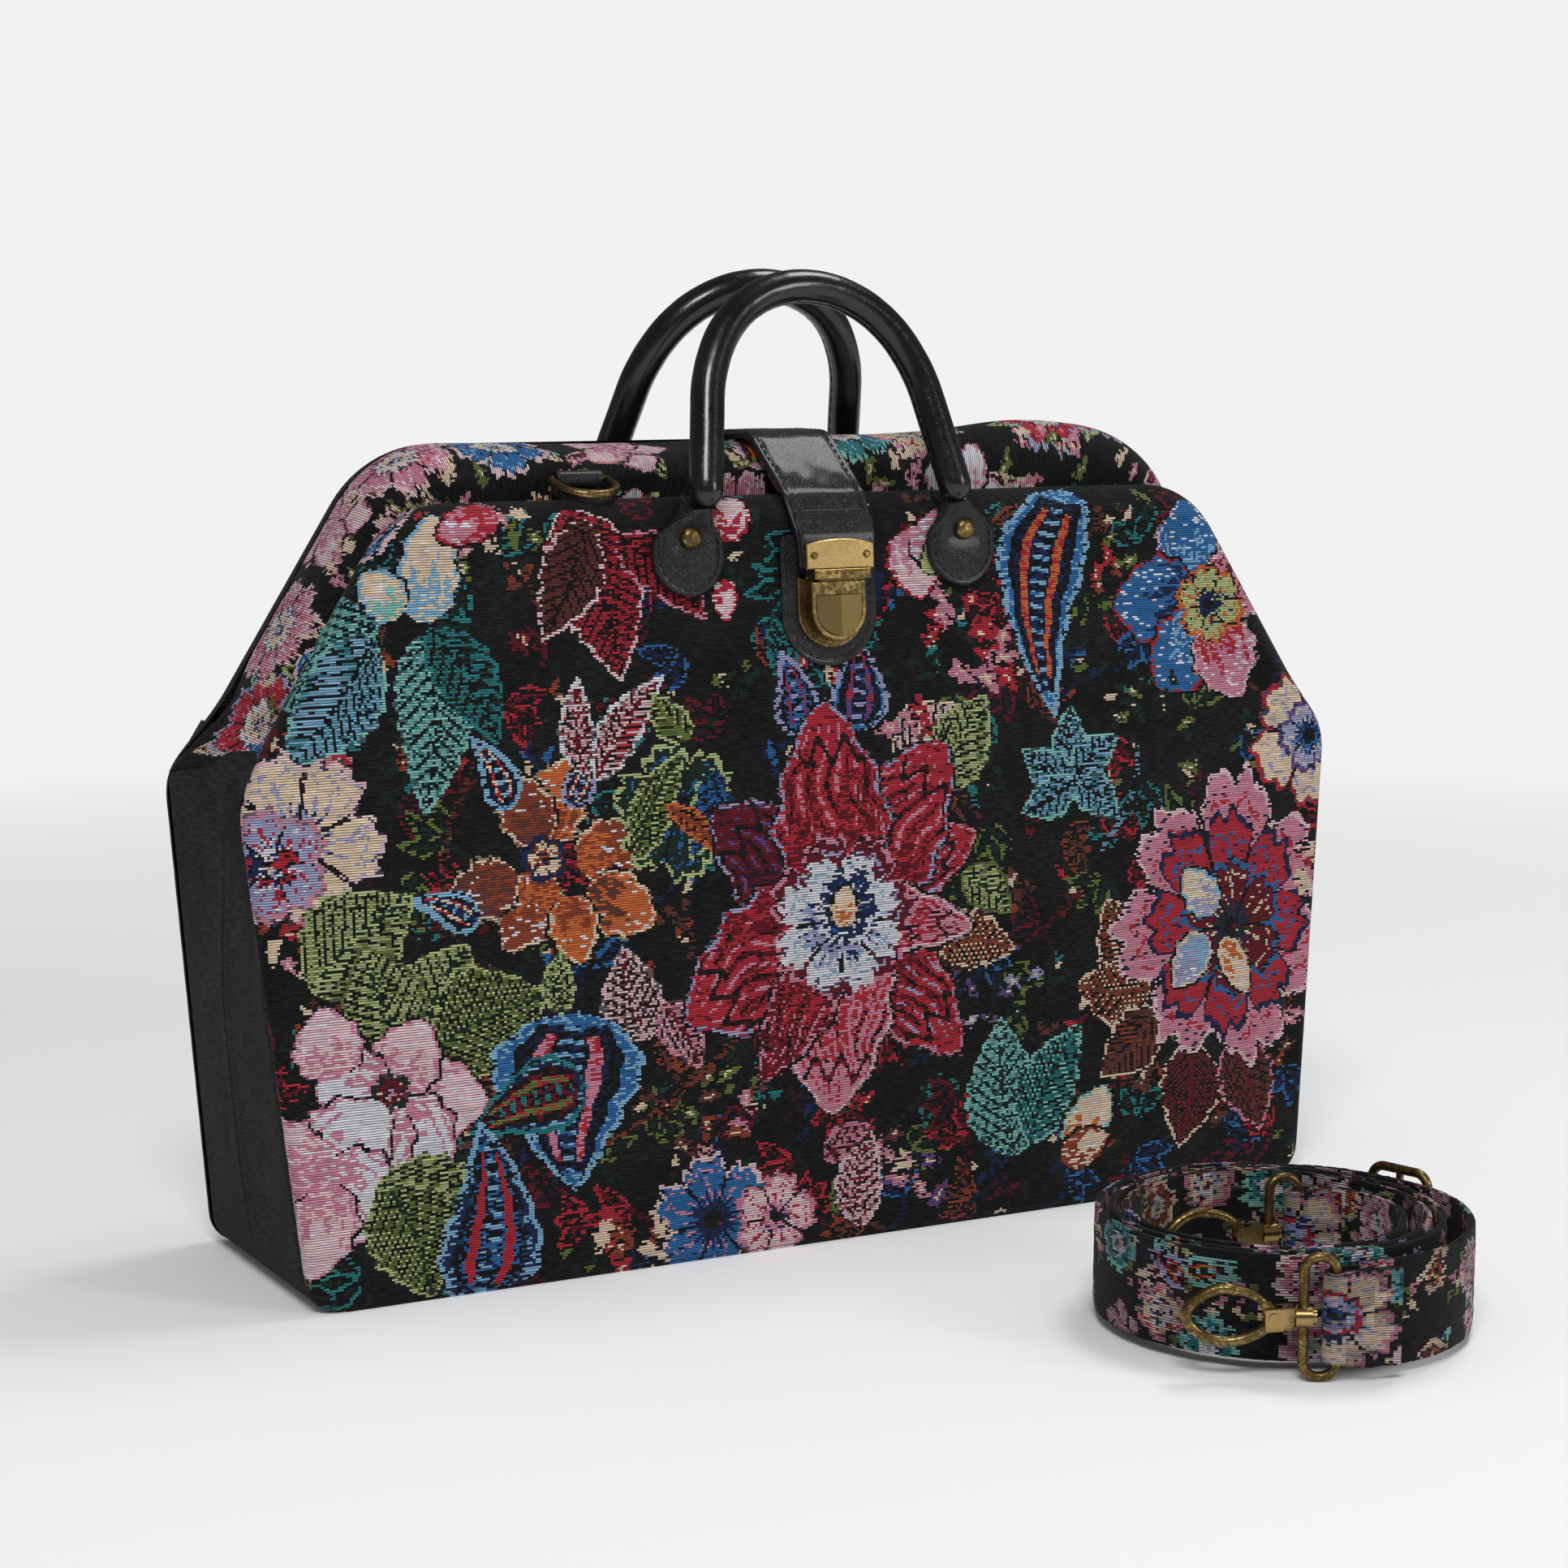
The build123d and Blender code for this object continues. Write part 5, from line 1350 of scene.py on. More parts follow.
        w.flower((-52, 14), 24, 6, 10, blue, T.BLUSH, T.ROSE, 0.2)
        w.flower((-28, 12), 16, 5, 40, blush, T.ROSE, T.CRIMSON, 0.2)
        w.blots((-86, 12), 14, 9, 3.2, (T.CRIMSON, T.RUST, T.CREAM))
        w.leaf((6, 4), 36, 20, 82, (T.CRIMSON, T.BLUSH), T.BLUSH, T.WINE, 4.0)
        w.leaf((-8, 30), 22, 12, 30, (T.WINE, T.ROSE), T.ROSE, T.WINE, 4.0)
        w.blots((30, 18), 12, 8, 3.0, (T.ROSE, T.VIOLET, T.CREAM))

    @staticmethod
    def middle(w: Weaver) -> None:
        """Blue buds, their leaves and the large red flower.

        Args:
            w: the cloth.
        """
        red, moss = (T.CRIMSON, T.WINE), (T.OLIVE, T.LIME)
        w.paisley((-14, 196), 30, 96, (T.NAVY, T.BLUE), T.LAVENDER, T.VIOLET, 0.6, 0.3)
        w.paisley((12, 198), 34, 84, (T.BLUE, T.NAVY), T.LAVENDER, T.VIOLET, 0.7, -0.3)
        w.leaf((26, 168), 34, 24, 36, (T.CREAM, T.BLUSH), T.CREAM, T.BROWN, 4.4)
        w.leaf((46, 158), 38, 26, 62, moss, T.LIME, T.PINE, 4.4)
        w.leaf((40, 104), 34, 22, 350, (T.CREAM, T.RUST), T.CREAM, T.BROWN, 4.4)
        w.leaf((52, 128), 26, 18, 320, moss, T.OLIVE, T.PINE, 4.4)
        for x, z, length, width, angle, fill, edge, bloom, seed, vein in (
            (-4, 122, 56, 40, 142, (T.WINE, T.PLUM), T.LAVENDER, 0.7, 2, T.VIOLET),
            (8, 122, 54, 30, 22, red, T.ROSE, 0.62, 8, T.LAVENDER),
            (8, 110, 62, 36, 311, red, T.ROSE, 0.66, 5, T.LAVENDER),
            (0, 108, 62, 46, 266, (T.ROSE, T.CRIMSON), T.BLUSH, 0.62, 3, T.CRIMSON),
            (-6, 114, 62, 48, 208, red, T.LAVENDER, 0.64, 9, T.ROSE),
            (-2, 106, 54, 26, 236, (T.WINE, T.CRIMSON), T.ROSE, 0.66, 4, T.ROSE),
            (8, 126, 62, 44, 52, red, T.LAVENDER, 0.62, 7, T.ROSE),
            (0, 126, 66, 46, 93, red, T.LAVENDER, 0.60, 6, T.ROSE),
            (10, 116, 46, 22, 350, (T.ROSE, T.CRIMSON), T.BLUSH, 0.66, 11, T.WINE),
        ):
            w.petal((x, z), length, width, angle, fill, edge, bloom, seed, vein)
        w.flower((2, 116), 29, 7, 30, (T.WINE, T.NAVY), T.ROSE, T.LAVENDER, 0.3, 1.05, 5)
        w.flower((1, 114), 25, 8, 0, (T.WHITE, T.LAVENDER), T.WHITE, T.SKY, 0.42, 1.0, 9)
        w.flower((4, 120), 14, 6, 25, (T.NAVY, T.BLUE), T.WHITE, T.WHITE, 0.2, 1.0, 4)
        w.petal((2, 112), 15, 10, 84, (T.CREAM, T.ORANGE), T.CREAM)

    @staticmethod
    def right(w: Weaver) -> None:
        """Everything to the right of the middle.

        Args:
            w: the cloth.
        """
        cream = (T.CREAM, T.RUST)
        w.leaf((72, 22), 52, 32, 96, (T.TEAL, T.AQUA), T.AQUA, T.PINE, 5.0)
        w.leaf((78, 26), 48, 26, 62, (T.AQUA, T.TEAL), T.AQUA, T.PINE, 5.0)
        w.petal((96, 18), 30, 20, 58, (T.CREAM, T.ORANGE), T.AQUA)
        w.petal((92, 18), 22, 14, 20, cream, T.RUST)
        for angle in (90, 38, 150, 205, 322):
            w.leaf((100, 158), 28 if angle == 90 else 25, 16, angle, (T.TEAL, T.SKY), T.AQUA, T.NIGHT, 4.2)
        w.paisley((86, 226), 82, 256, (T.BLUE, T.NAVY), T.SKY, T.ORANGE, 0.46, -0.5)
        w.petal((34, 252), 26, 22, 280, (T.BLUSH, T.ROSE), T.CRIMSON)
        w.petal((36, 252), 22, 20, 330, (T.WHITE, T.ROSE), T.ROSE)
        w.petal((58, 248), 22, 14, 210, (T.LIME, T.OLIVE), T.LIME)
        w.blots((62, 202), 12, 6, 4.0, (T.CRIMSON, T.ROSE))
        w.blots((30, 184), 8, 4, 3.4, (T.CRIMSON, T.ROSE))
        for x, z, length, width, angle, fill, edge in (
            (158, 226, 34, 32, 100, (T.BLUE, T.SKY), T.BLUSH),
            (158, 222, 38, 34, 182, (T.BLUE, T.NAVY), T.CRIMSON),
            (162, 214, 34, 30, 226, (T.BLUE, T.SKY), T.CRIMSON),
            (164, 214, 32, 28, 292, (T.ROSE, T.CRIMSON), T.BLUSH),
            (164, 222, 34, 30, 30, (T.ROSE, T.WINE), T.BLUSH),
        ):
            w.petal((x, z), length, width, angle, fill, edge)
        w.flower((163, 220), 15, 6, 10, (T.LIME, T.NAVY), T.ORANGE, T.ORANGE, 0.2)
        w.flower((208, 168), 27, 5, 25, (T.CREAM, T.LAVENDER), T.CRIMSON, T.LAVENDER, 0.3)
        w.flower((208, 168), 14, 5, 0, (T.LAVENDER, T.BLUE), T.VIOLET, T.CREAM, 0.3)
        w.blots((140, 172), 24, 12, 2.2, (T.PINE, T.OLIVE, T.PINE))
        for x, z, length, width, angle, fill, edge, rib in (
            (130, 84, 34, 26, 120, cream, T.CREAM, T.BROWN),
            (132, 78, 34, 26, 172, cream, T.CREAM, T.BROWN),
            (134, 70, 34, 24, 222, (T.RUST, T.BROWN), T.CREAM, T.BROWN),
            (150, 56, 40, 28, 262, (T.BROWN, T.WINE), T.CREAM, T.WINE),
            (168, 54, 38, 26, 292, (T.WINE, T.BROWN), T.ROSE, T.WINE),
        ):
            w.leaf((x, z), length, width, angle, fill, edge, rib, 4.2)
        w.flower((167, 101), 50, 7, 5, (T.ROSE, T.NAVY), T.BLUSH, T.CRIMSON, 0.3, 1.1, 7)
        w.flower((168, 100), 38, 8, 20, (T.CRIMSON, T.NAVY), T.NAVY, T.BLUE, 0.3, 1.15, 6)
        w.flower((170, 98), 24, 6, 0, (T.WINE, T.PINE), T.BLUE, T.CREAM, 0.2, 1.1, 5)
        w.petal((162, 104), 22, 16, 128, (T.CREAM, T.LAVENDER), T.SKY)
        w.petal((158, 96), 24, 16, 230, (T.LAVENDER, T.SKY), T.CREAM)
        w.petal((166, 94), 24, 12, 296, (T.CREAM, T.ORANGE), T.CREAM)
        w.blots((204, 120), 12, 8, 3.0, (T.ROSE, T.CREAM, T.CRIMSON))


class ScatterPattern:
    """Loose repeat of the same motifs for the back, the hood and the strap."""

    @staticmethod
    def paint(w: Weaver, box: Sequence[float], pitch: float, size: float, seed: int) -> None:
        """Weave a repeat.

        Args:
            w: the cloth.
            box: low and high limits across and up.
            pitch: distance between large motifs.
            size: scale of the motifs.
            seed: series of the choices.
        """
        rng = np.random.default_rng(seed)
        pairs = [
            ((T.CRIMSON, T.WINE), T.LAVENDER, T.ROSE),
            ((T.BLUE, T.NAVY), T.BLUSH, T.SKY),
            ((T.CREAM, T.LAVENDER), T.ROSE, T.CRIMSON),
            ((T.ROSE, T.CRIMSON), T.BLUSH, T.WHITE),
            ((T.RUST, T.BROWN), T.CREAM, T.ORANGE),
            ((T.TEAL, T.PINE), T.AQUA, T.SKY),
        ]
        leaves = [
            ((T.OLIVE, T.LIME), T.LIME),
            ((T.TEAL, T.AQUA), T.AQUA),
            ((T.WINE, T.CRIMSON), T.BLUSH),
            ((T.RUST, T.CREAM), T.CREAM),
        ]
        rows = max(1, round((box[3] - box[2]) / pitch))
        cols = max(1, round((box[1] - box[0]) / pitch))
        for i in range(cols):
            for j in range(rows):
                x = box[0] + (i + 0.5 + rng.uniform(-0.3, 0.3)) * (box[1] - box[0]) / cols
                z = box[2] + (j + 0.5 + rng.uniform(-0.3, 0.3)) * (box[3] - box[2]) / rows
                for _ in range(4):
                    fill, edge = leaves[rng.integers(len(leaves))]
                    w.leaf((x, z), size * rng.uniform(0.9, 1.4), size * 0.55, rng.uniform(0, 360), fill, edge)
                kind = rng.integers(4)
                fill, edge, vein = pairs[rng.integers(len(pairs))]
                if kind == 0:
                    w.paisley((x, z), size * 1.9, rng.uniform(0, 360), fill, edge, T.ORANGE, 0.55, 0.4)
                elif kind == 1:
                    tip = T.WHITE if i % 2 else T.BLUSH
                    for angle in range(20, 380, 72):
                        w.petal((x, z), size, size * 0.8, angle, (tip, T.ROSE), T.ROSE)
                else:
                    petals, turn, seed = int(rng.integers(6, 9)), rng.uniform(0, 360), int(rng.integers(9))
                    w.flower((x, z), size, petals, turn, fill, edge, vein, 0.3, 1.0, seed)
                    w.flower((x, z), size * 0.42, 6, 10, (T.CREAM, T.LAVENDER), T.WHITE, vein, 0.2)
                beside = (x + size * 1.2, z - size * 0.9)
                w.blots(beside, size * 0.7, 7, size * 0.1 + 0.6, (T.ROSE, T.OLIVE, T.CREAM))


@dataclass
class FrontShell:
    """The front panel: one sheet of tapestry that wraps over its edges and round the front bow."""

    finishes: Finishes
    extra: float = 32.0
    wrap_turn: float = math.radians(188)

    def build(self) -> None:
        """Make the shell in two halves, because one mesh would be too large."""
        ring = panel_ring(FRONT_TOP_HALF, FRONT_TOP_Z, FRONT_TOP_ROUND)
        us = np.arange(-SHOULDER_HALF - self.extra, SHOULDER_HALF + self.extra, CELL)
        vs = np.arange(-10 * RIB, FRONT_TOP_Z + self.extra, RIB)
        gu, gv = np.meshgrid(us, vs)
        u, v = gu.ravel(), gv.ravel()
        signed, near, way = ring.measure(u, v)
        upper = smooth(172, 196, near[:, 1])
        radius = PANEL_EDGE_ROUND + (ROLL_ROUND - PANEL_EDGE_ROUND) * upper
        further = self.wrap_turn * ROLL_ROUND - ROLL_ROUND * math.pi / 2 - 1.4
        end = radius * math.pi / 2 + 1.4 + upper * further
        s = np.minimum(radius - signed, end)
        wrap = np.clip(s, 0, None)
        angle = np.where(upper > 0.02, wrap / radius, np.minimum(wrap / radius, math.pi / 2))
        straight = np.where(upper > 0.02, 0, np.clip(wrap - radius * math.pi / 2, 0, None))
        flat = s <= 0
        pu = np.where(flat, u, near[:, 0] + way[:, 0] * radius * (np.sin(angle) - 1))
        pv = np.where(flat, v, near[:, 1] + way[:, 1] * radius * (np.sin(angle) - 1))
        h = -radius * (1 - np.cos(angle)) - straight
        h = h + self.relief(u, v, signed)
        dip = smooth(end - 1.6, end, s) * (1 - upper) * 0.9
        pu, pv = pu - way[:, 0] * dip, pv - way[:, 1] * dip
        points = front_place(pu, pv, h)
        faces = Skin.grid(len(vs), len(us))
        over = (radius - signed) >= end
        faces = faces[~over[faces].all(1)]
        middle = np.stack([u, v], 1)[faces].mean(1)
        weaver = Weaver(middle[:, 0], middle[:, 1], 21)
        FrontPattern.paint(weaver)
        weave = weaver.colours()
        cloth = np.stack([u, v, 0 * u], 1)
        for name, part in (("front_cloth_left", middle[:, 0] < 0), ("front_cloth_right", middle[:, 0] >= 0)):
            piece = Skin.mesh(name, points, faces[part], self.finishes.tapestry, cloth, weave[part])
            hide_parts("front_panel", "front_flex", "front_panel_top")
            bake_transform(piece)

    @staticmethod
    def relief(u: Array, v: Array, signed: Array) -> Array:
        """Soft shape of the padded panel: a slight belly, the bow's roll and gathers at the shoulders.

        Args:
            u: across.
            v: up.
            signed: distance inside the outline.

        Returns:
            Height off the flat face.
        """
        inner = smooth(6, 60, signed)
        belly = 1.6 * inner * (1 - smooth(150, 250, v) * 0.6) + 0.5 * inner * ripple(u, v, 150.0, 31)
        ridge = np.exp(-(((signed - 9) / 6.0) ** 2)) * 1.3
        valley = np.exp(-(((signed - 21) / 5.0) ** 2)) * 1.3
        roll = smooth(176, 205, v) * (ridge - valley)
        folds = 0.0
        for side in (-1, 1):
            du, dv = u * side - (SHOULDER_HALF - 6), v - 182
            far, turn = np.hypot(du, dv), np.arctan2(dv, -du)
            wave = np.cos(turn * 7.0 + 0.6 * side) * np.exp(-(((far - 34) / 30) ** 2)) * smooth(6, 22, signed)
            folds = folds + 1.3 * wave
            near = np.exp(-(((u * side - TAB_X) / 26) ** 2 + ((v - 228) / 16) ** 2))
            folds = folds - 0.5 * near * smooth(10, 26, signed)
        return belly + roll + folds


def shoulder_tuck(z: Array, y: Array, deep: float = 13.0) -> Array:
    """How far the sides fold in at the shoulder.

    Args:
        z: height.
        y: place between the front and back seams.
        deep: largest fold.

    Returns:
        Inward offset.
    """
    low, high = front_y(z) + SEAM_DEPTH, back_y(z) - PANEL_EDGE_ROUND - 1.0
    part = np.clip((y - low) / (high - low), 0, 1)
    rise = np.sin(np.clip(part / 0.2, 0, 1) * math.pi / 2)
    fall = np.cos(np.clip((part - 0.2) / 0.8, 0, 1) * math.pi / 2) ** 1.3
    shape = np.where(part < 0.2, rise, fall)
    level = smooth(60, 176, z) ** 1.8 * (1 - smooth(182, 214, z))
    return deep * shape * level


@dataclass
class BackShell:
    """The back panel's tapestry, wrapped over the hood's rear rim."""

    finishes: Finishes
    extra: float = 12.0
    coarse: float = 1.5

    def build(self) -> None:
        """Make the shell."""
        ring = panel_ring(BACK_TOP_HALF, BACK_TOP_Z, BACK_TOP_ROUND)
        cell, rib = CELL * self.coarse, RIB * self.coarse
        us = np.arange(-SHOULDER_HALF - self.extra, SHOULDER_HALF + self.extra, cell)
        vs = np.arange(-6 * rib, BACK_TOP_Z + self.extra, rib)
        gu, gv = np.meshgrid(us, vs)
        u, v = gu.ravel(), gv.ravel()
        signed, near, way = ring.measure(u, v)
        upper = smooth(168, 200, near[:, 1])
        radius = PANEL_EDGE_ROUND + (HOOD_BACK_ROUND - PANEL_EDGE_ROUND) * upper
        end = radius * math.pi / 2 + 1.2
        s = np.minimum(radius - signed, end)
        wrap = np.clip(s, 0, None)
        angle = np.minimum(wrap / radius, math.pi / 2)
        straight = np.clip(wrap - radius * math.pi / 2, 0, None)
        flat = s <= 0
        px = np.where(flat, u, near[:, 0] + way[:, 0] * radius * (np.sin(angle) - 1))
        pz = np.where(flat, v, near[:, 1] + way[:, 1] * radius * (np.sin(angle) - 1))
        inner = smooth(20, 70, signed)
        puff = 1.4 * inner + 0.6 * inner * ripple(u, v, 130.0, 41)
        y = back_y(pz) - radius * (1 - np.cos(angle)) - straight + puff
        points = np.stack([px, y, pz], 1)
        faces = Skin.grid(len(vs), len(us))[:, ::-1]
        over = (radius - signed) >= end
        faces = faces[~over[faces].all(1)]
        middle = np.stack([u, v], 1)[faces].mean(1) / self.coarse
        weaver = Weaver(middle[:, 0], middle[:, 1], 22)
        ScatterPattern.paint(weaver, (-134, 134, 0, 175), 34, 17, 5)
        weave = weaver.colours()
        cloth = np.stack([u, v, 0 * u], 1) / self.coarse
        piece = Skin.mesh("back_cloth", points, faces, self.finishes.tapestry, cloth, weave)
        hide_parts("back_panel", "back_flex", "back_hood")
        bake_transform(piece)


@dataclass
class HoodBand:
    """The hood's top and slopes: a band of tapestry that runs over the mouth and turns in at its lip."""

    finishes: Finishes
    lip: float = 11.0
    crest_x: float = 102.0
    crest_rise: float = 5.0
    sag_x: float = -62.0
    sag: float = 3.2

    def build(self) -> None:
        """Make the band."""
        right, top = (SHOULDER_HALF, SHOULDER_Z), (BACK_TOP_HALF, BACK_TOP_Z)
        corners = [right, top, (-top[0], top[1]), (-right[0], right[1])]
        line = rounded_corners(corners, [0, BACK_TOP_ROUND, BACK_TOP_ROUND, 0], 1.0)[::-1]
        length = run_length(line)
        total = length[-1]
        count, wide = int(total / RIB), 66
        f, g = np.meshgrid(np.linspace(0, 1, count), np.linspace(0, 1, wide), indexing="ij")
        slope = (BACK_TOP_Z - SHOULDER_Z) / math.hypot(SHOULDER_HALF - BACK_TOP_HALF, BACK_TOP_Z - SHOULDER_Z)
        cut = (1.0 + 15.0 * np.clip(g / 0.62, 0, 1)) / slope
        t = cut + (total - 2 * cut) * f
        qx, qz = np.interp(t, length, line[:, 0]), np.interp(t, length, line[:, 1])
        ahead = np.stack([np.interp(t + 0.8, length, line[:, k]) for k in (0, 1)], -1)
        ahead = ahead - np.stack([np.interp(t - 0.8, length, line[:, k]) for k in (0, 1)], -1)
        ahead = ahead / np.linalg.norm(ahead, axis=-1, keepdims=True)
        nx, nz = -ahead[..., 1], ahead[..., 0]
        upper = smooth(168, 200, qz)
        rear = PANEL_EDGE_ROUND + (HOOD_BACK_ROUND - PANEL_EDGE_ROUND) * upper
        run = back_y(qz) - rear - (HOOD_FRONT_Y + HOOD_FRONT_ROUND)
        arc = HOOD_FRONT_ROUND * math.pi / 2
        s = g * (run + arc + self.lip)
        along, turn = np.clip(s, 0, run), np.clip((s - run) / HOOD_FRONT_ROUND, 0, math.pi / 2)
        inward = HOOD_FRONT_ROUND * (1 - np.cos(turn)) + np.clip(s - run - arc, 0, None)
        depth = back_y(qz) - rear - along - HOOD_FRONT_ROUND * np.sin(turn)
        inward = inward + shoulder_tuck(qz, depth) * (1 - smooth(run, run + arc, s))
        uneven = 0.5 * ripple(t, s * 1.3, 90.0, 51) * np.sin(np.clip(g, 0, 1) * math.pi)
        puff = 0.9 * np.sin(np.clip(s / run, 0, 1) * math.pi) + uneven
        edge = 1.1 * np.exp(-((s / 2.2) ** 2))
        crest = np.sin(np.clip(s / (run + arc), 0, 1) * math.pi) ** 0.8
        swell = self.crest_rise * np.exp(-(((qx - self.crest_x) / 34) ** 2)) * crest
        sink = self.sag * np.exp(-(((qx - self.sag_x) / 48) ** 2)) * crest
        overlap = 0.8 * (1 - smooth(190, 200, qz)) * (1 - smooth(run, run + arc, s))
        inward = inward - puff + edge - swell * (qx > 0) + sink - overlap
        points = np.stack([qx - nx * inward, depth, qz - nz * inward], -1).reshape(-1, 3)
        faces = Skin.grid(count, wide)
        cloth = np.stack([s, t, 0 * s], -1).reshape(-1, 3)
        middle = cloth[faces].mean(1)
        weaver = Weaver(middle[:, 0], middle[:, 1], 23)
        ScatterPattern.paint(weaver, (0, 70, 0, total), 40, 19, 13)
        weave = weaver.colours()
        piece = Skin.mesh("hood_cloth", points, faces, self.finishes.tapestry, cloth, weave)
        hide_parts("back_hood", "back_flex")
        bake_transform(piece)


@dataclass
class Gussets:
    """Black chenille sides, tucked in at the shoulders, and the bottom between them."""

    finishes: Finishes

    def side(self, label: str, way: int) -> None:
        """Make one gusset.

        Args:
            label: name of the CAD node it stands for.
            way: -1 for the left side, 1 for the right.
        """
        slope = (SHOULDER_HALF - FRONT_TOP_HALF) / (FRONT_TOP_Z - SHOULDER_Z)
        top = SHOULDER_HALF - slope * (WALL_TOP_Z + 3 - SHOULDER_Z)
        foot, shoulder = [(BASE_HALF - 16, 0.4), (BASE_HALF, 0.4)], (SHOULDER_HALF, SHOULDER_Z)
        corners = [*foot, shoulder, (top, WALL_TOP_Z + 3)]
        line = rounded_corners(corners, [0, BASE_CORNER, 10, 0], 1.6)
        wide = 64
        part = np.linspace(0, 1, wide)[None, :]
        x, z = line[:, 0][:, None], line[:, 1][:, None]
        low, high = front_y(z) + SEAM_DEPTH, back_y(z) - PANEL_EDGE_ROUND - 1.0
        y = low + (high - low) * part
        tuck = shoulder_tuck(z, y)
        crease = 1.1 * np.exp(-(((part - 0.5) / 0.016) ** 2)) - 0.8 * np.exp(-(((part - 0.5) / 0.05) ** 2))
        crease = crease * smooth(4, 30, z) * (1 - smooth(120, 165, z))
        seam = 1.0 * (np.exp(-((part * 92 / 2.0) ** 2)) + np.exp(-(((1 - part) * 92 / 2.0) ** 2)))
        wave = 0.9 * ripple(y, z, 110.0, 61 + way) * np.sin(part * math.pi) * smooth(0, 30, z)
        inward = tuck + crease + seam - wave - 0.8 * np.sin(part * math.pi) * smooth(10, 60, z)
        lift = np.clip(1 - z / BASE_CORNER, 0, 1)
        px = way * (x - inward * (1 - lift))
        pz = z + (seam + 0 * part) * lift * 0.6
        points = np.stack([px + 0 * part, y, pz + 0 * part], -1).reshape(-1, 3)
        faces = Skin.grid(len(line), wide)
        if way > 0:
            faces = faces[:, ::-1]
        arc = run_length(line)[:, None]
        cloth = np.stack([y, arc + 0 * y, 0 * y], -1).reshape(-1, 3)
        piece = Skin.mesh(f"{label}_cloth", points, faces, self.finishes.chenille, cloth)
        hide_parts(label)
        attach(piece, "bag")

    def bottom(self) -> None:
        """Make the bottom."""
        xs = np.linspace(-BASE_HALF + 12, BASE_HALF - 12, 150)
        part = np.linspace(0, 1, 44)
        gx, gp = np.meshgrid(xs, part, indexing="ij")
        y = -BASE_DEPTH / 2 + 3.5 + (BASE_DEPTH - 7) * gp
        z = 0.35 + 0.5 * (1 - np.sin(gp * math.pi) ** 0.2) + 0.2 * (1 + ripple(gx, y, 60.0, 71))
        points = np.stack([gx, y, z], -1).reshape(-1, 3)
        cloth = np.stack([y, gx, 0 * gx], -1).reshape(-1, 3)
        piece = Skin.mesh("bottom_cloth", points, Skin.grid(150, 44), self.finishes.chenille, cloth)
        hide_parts("bottom_panel")
        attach(piece, "bag")

    def build(self) -> None:
        """Make both gussets and the bottom."""
        self.side("left_gusset", -1)
        self.side("right_gusset", 1)
        self.bottom()


@dataclass
class Sheet:
    """Strip of leather or webbing along a bent path, with soft edges."""

    path: Array
    out: Array
    across: Array
    half: Array
    thick: float
    edge: float = 0.8
    columns: int = 26
    dent: Callable[[Array, Array], Array] | None = None

    def surface(self, s: float | Array, a: Array, lift: float = 0.0) -> Array:
        """Points on the outer face.

        Args:
            s: share of the path's length, 0 to 1.
            a: offset across, in millimetres.
            lift: height above the face.

        Returns:
            The points.
        """
        spot = np.clip(np.asarray(s, float), 0, 1) * (len(self.path) - 1)
        low = np.minimum(spot.astype(int), len(self.path) - 2)
        f = (spot - low)[..., None]
        at = self.path[low] * (1 - f) + self.path[low + 1] * f
        out = self.out[low] * (1 - f) + self.out[low + 1] * f
        side = self.across[low] * (1 - f) + self.across[low + 1] * f
        return at + out * (self.thick + lift) + side * np.asarray(a, float)[..., None]

    def edge_lines(self, share: Array, inset: float, lift: float) -> list[tuple[Array, Array]]:
        """Stitch lines along both edges.

        Args:
            share: shares of the path's length.
            inset: how far inside the edges.
            lift: height above the face.

        Returns:
            Points and outward directions of each line.
        """
        last = len(self.path) - 1
        width = np.interp(share * last, np.arange(last + 1), self.half) - inset
        out = np.array([self.out[int(s * last)] for s in share])
        return [(self.surface(share, way * width, lift), out) for way in (-1, 1)]

    def build(self) -> Frames:
        """Make the mesh data.

        Returns:
            Points, faces and cloth coordinates.
        """
        bend = np.linspace(0, math.pi / 2, 5)
        inset, drop = self.edge * (1 - np.cos(bend)), self.edge * (1 - np.sin(bend))
        top = np.linspace(-1, 1, self.columns)
        rows = len(self.path)
        length = run_length(self.path)
        ring_a, ring_h = [], []
        for i in range(rows):
            w = max(float(self.half[i]), 0.05)
            e = min(1.0, w / (self.edge * 1.2))
            left = np.stack([-w + inset * e, self.thick - drop], 1)
            right = np.stack([w - inset[::-1] * e, self.thick - drop[::-1]], 1)
            a = top[1:-1] * (w - self.edge * e)
            h = np.full(len(a), self.thick)
            if self.dent is not None:
                h = h + self.dent(np.full(len(a), length[i]), a)
            foot = w - 0.25 * e
            ring = np.concatenate([[[-foot, 0.05]], left, np.stack([a, h], 1), right, [[foot, 0.05]]])
            ring_a.append(ring[:, 0])
            ring_h.append(ring[:, 1])
        a, h = np.array(ring_a), np.array(ring_h)
        points = self.path[:, None] + self.out[:, None] * h[..., None] + self.across[:, None] * a[..., None]
        count = a.shape[1]
        faces = Skin.grid(rows, count, close_cols=True)
        caps = []
        for row in (0, rows - 1):
            ring = np.arange(count) + row * count
            for k in range(1, count - 1):
                tri = [ring[0], ring[k], ring[k + 1], ring[k + 1]]
                caps.append(tri if row else [tri[0], tri[2], tri[1], tri[1]])
        cloth = np.stack([a, length[:, None] + 0 * a, h], -1).reshape(-1, 3)
        return points.reshape(-1, 3), np.concatenate([faces, np.array(caps)]), cloth


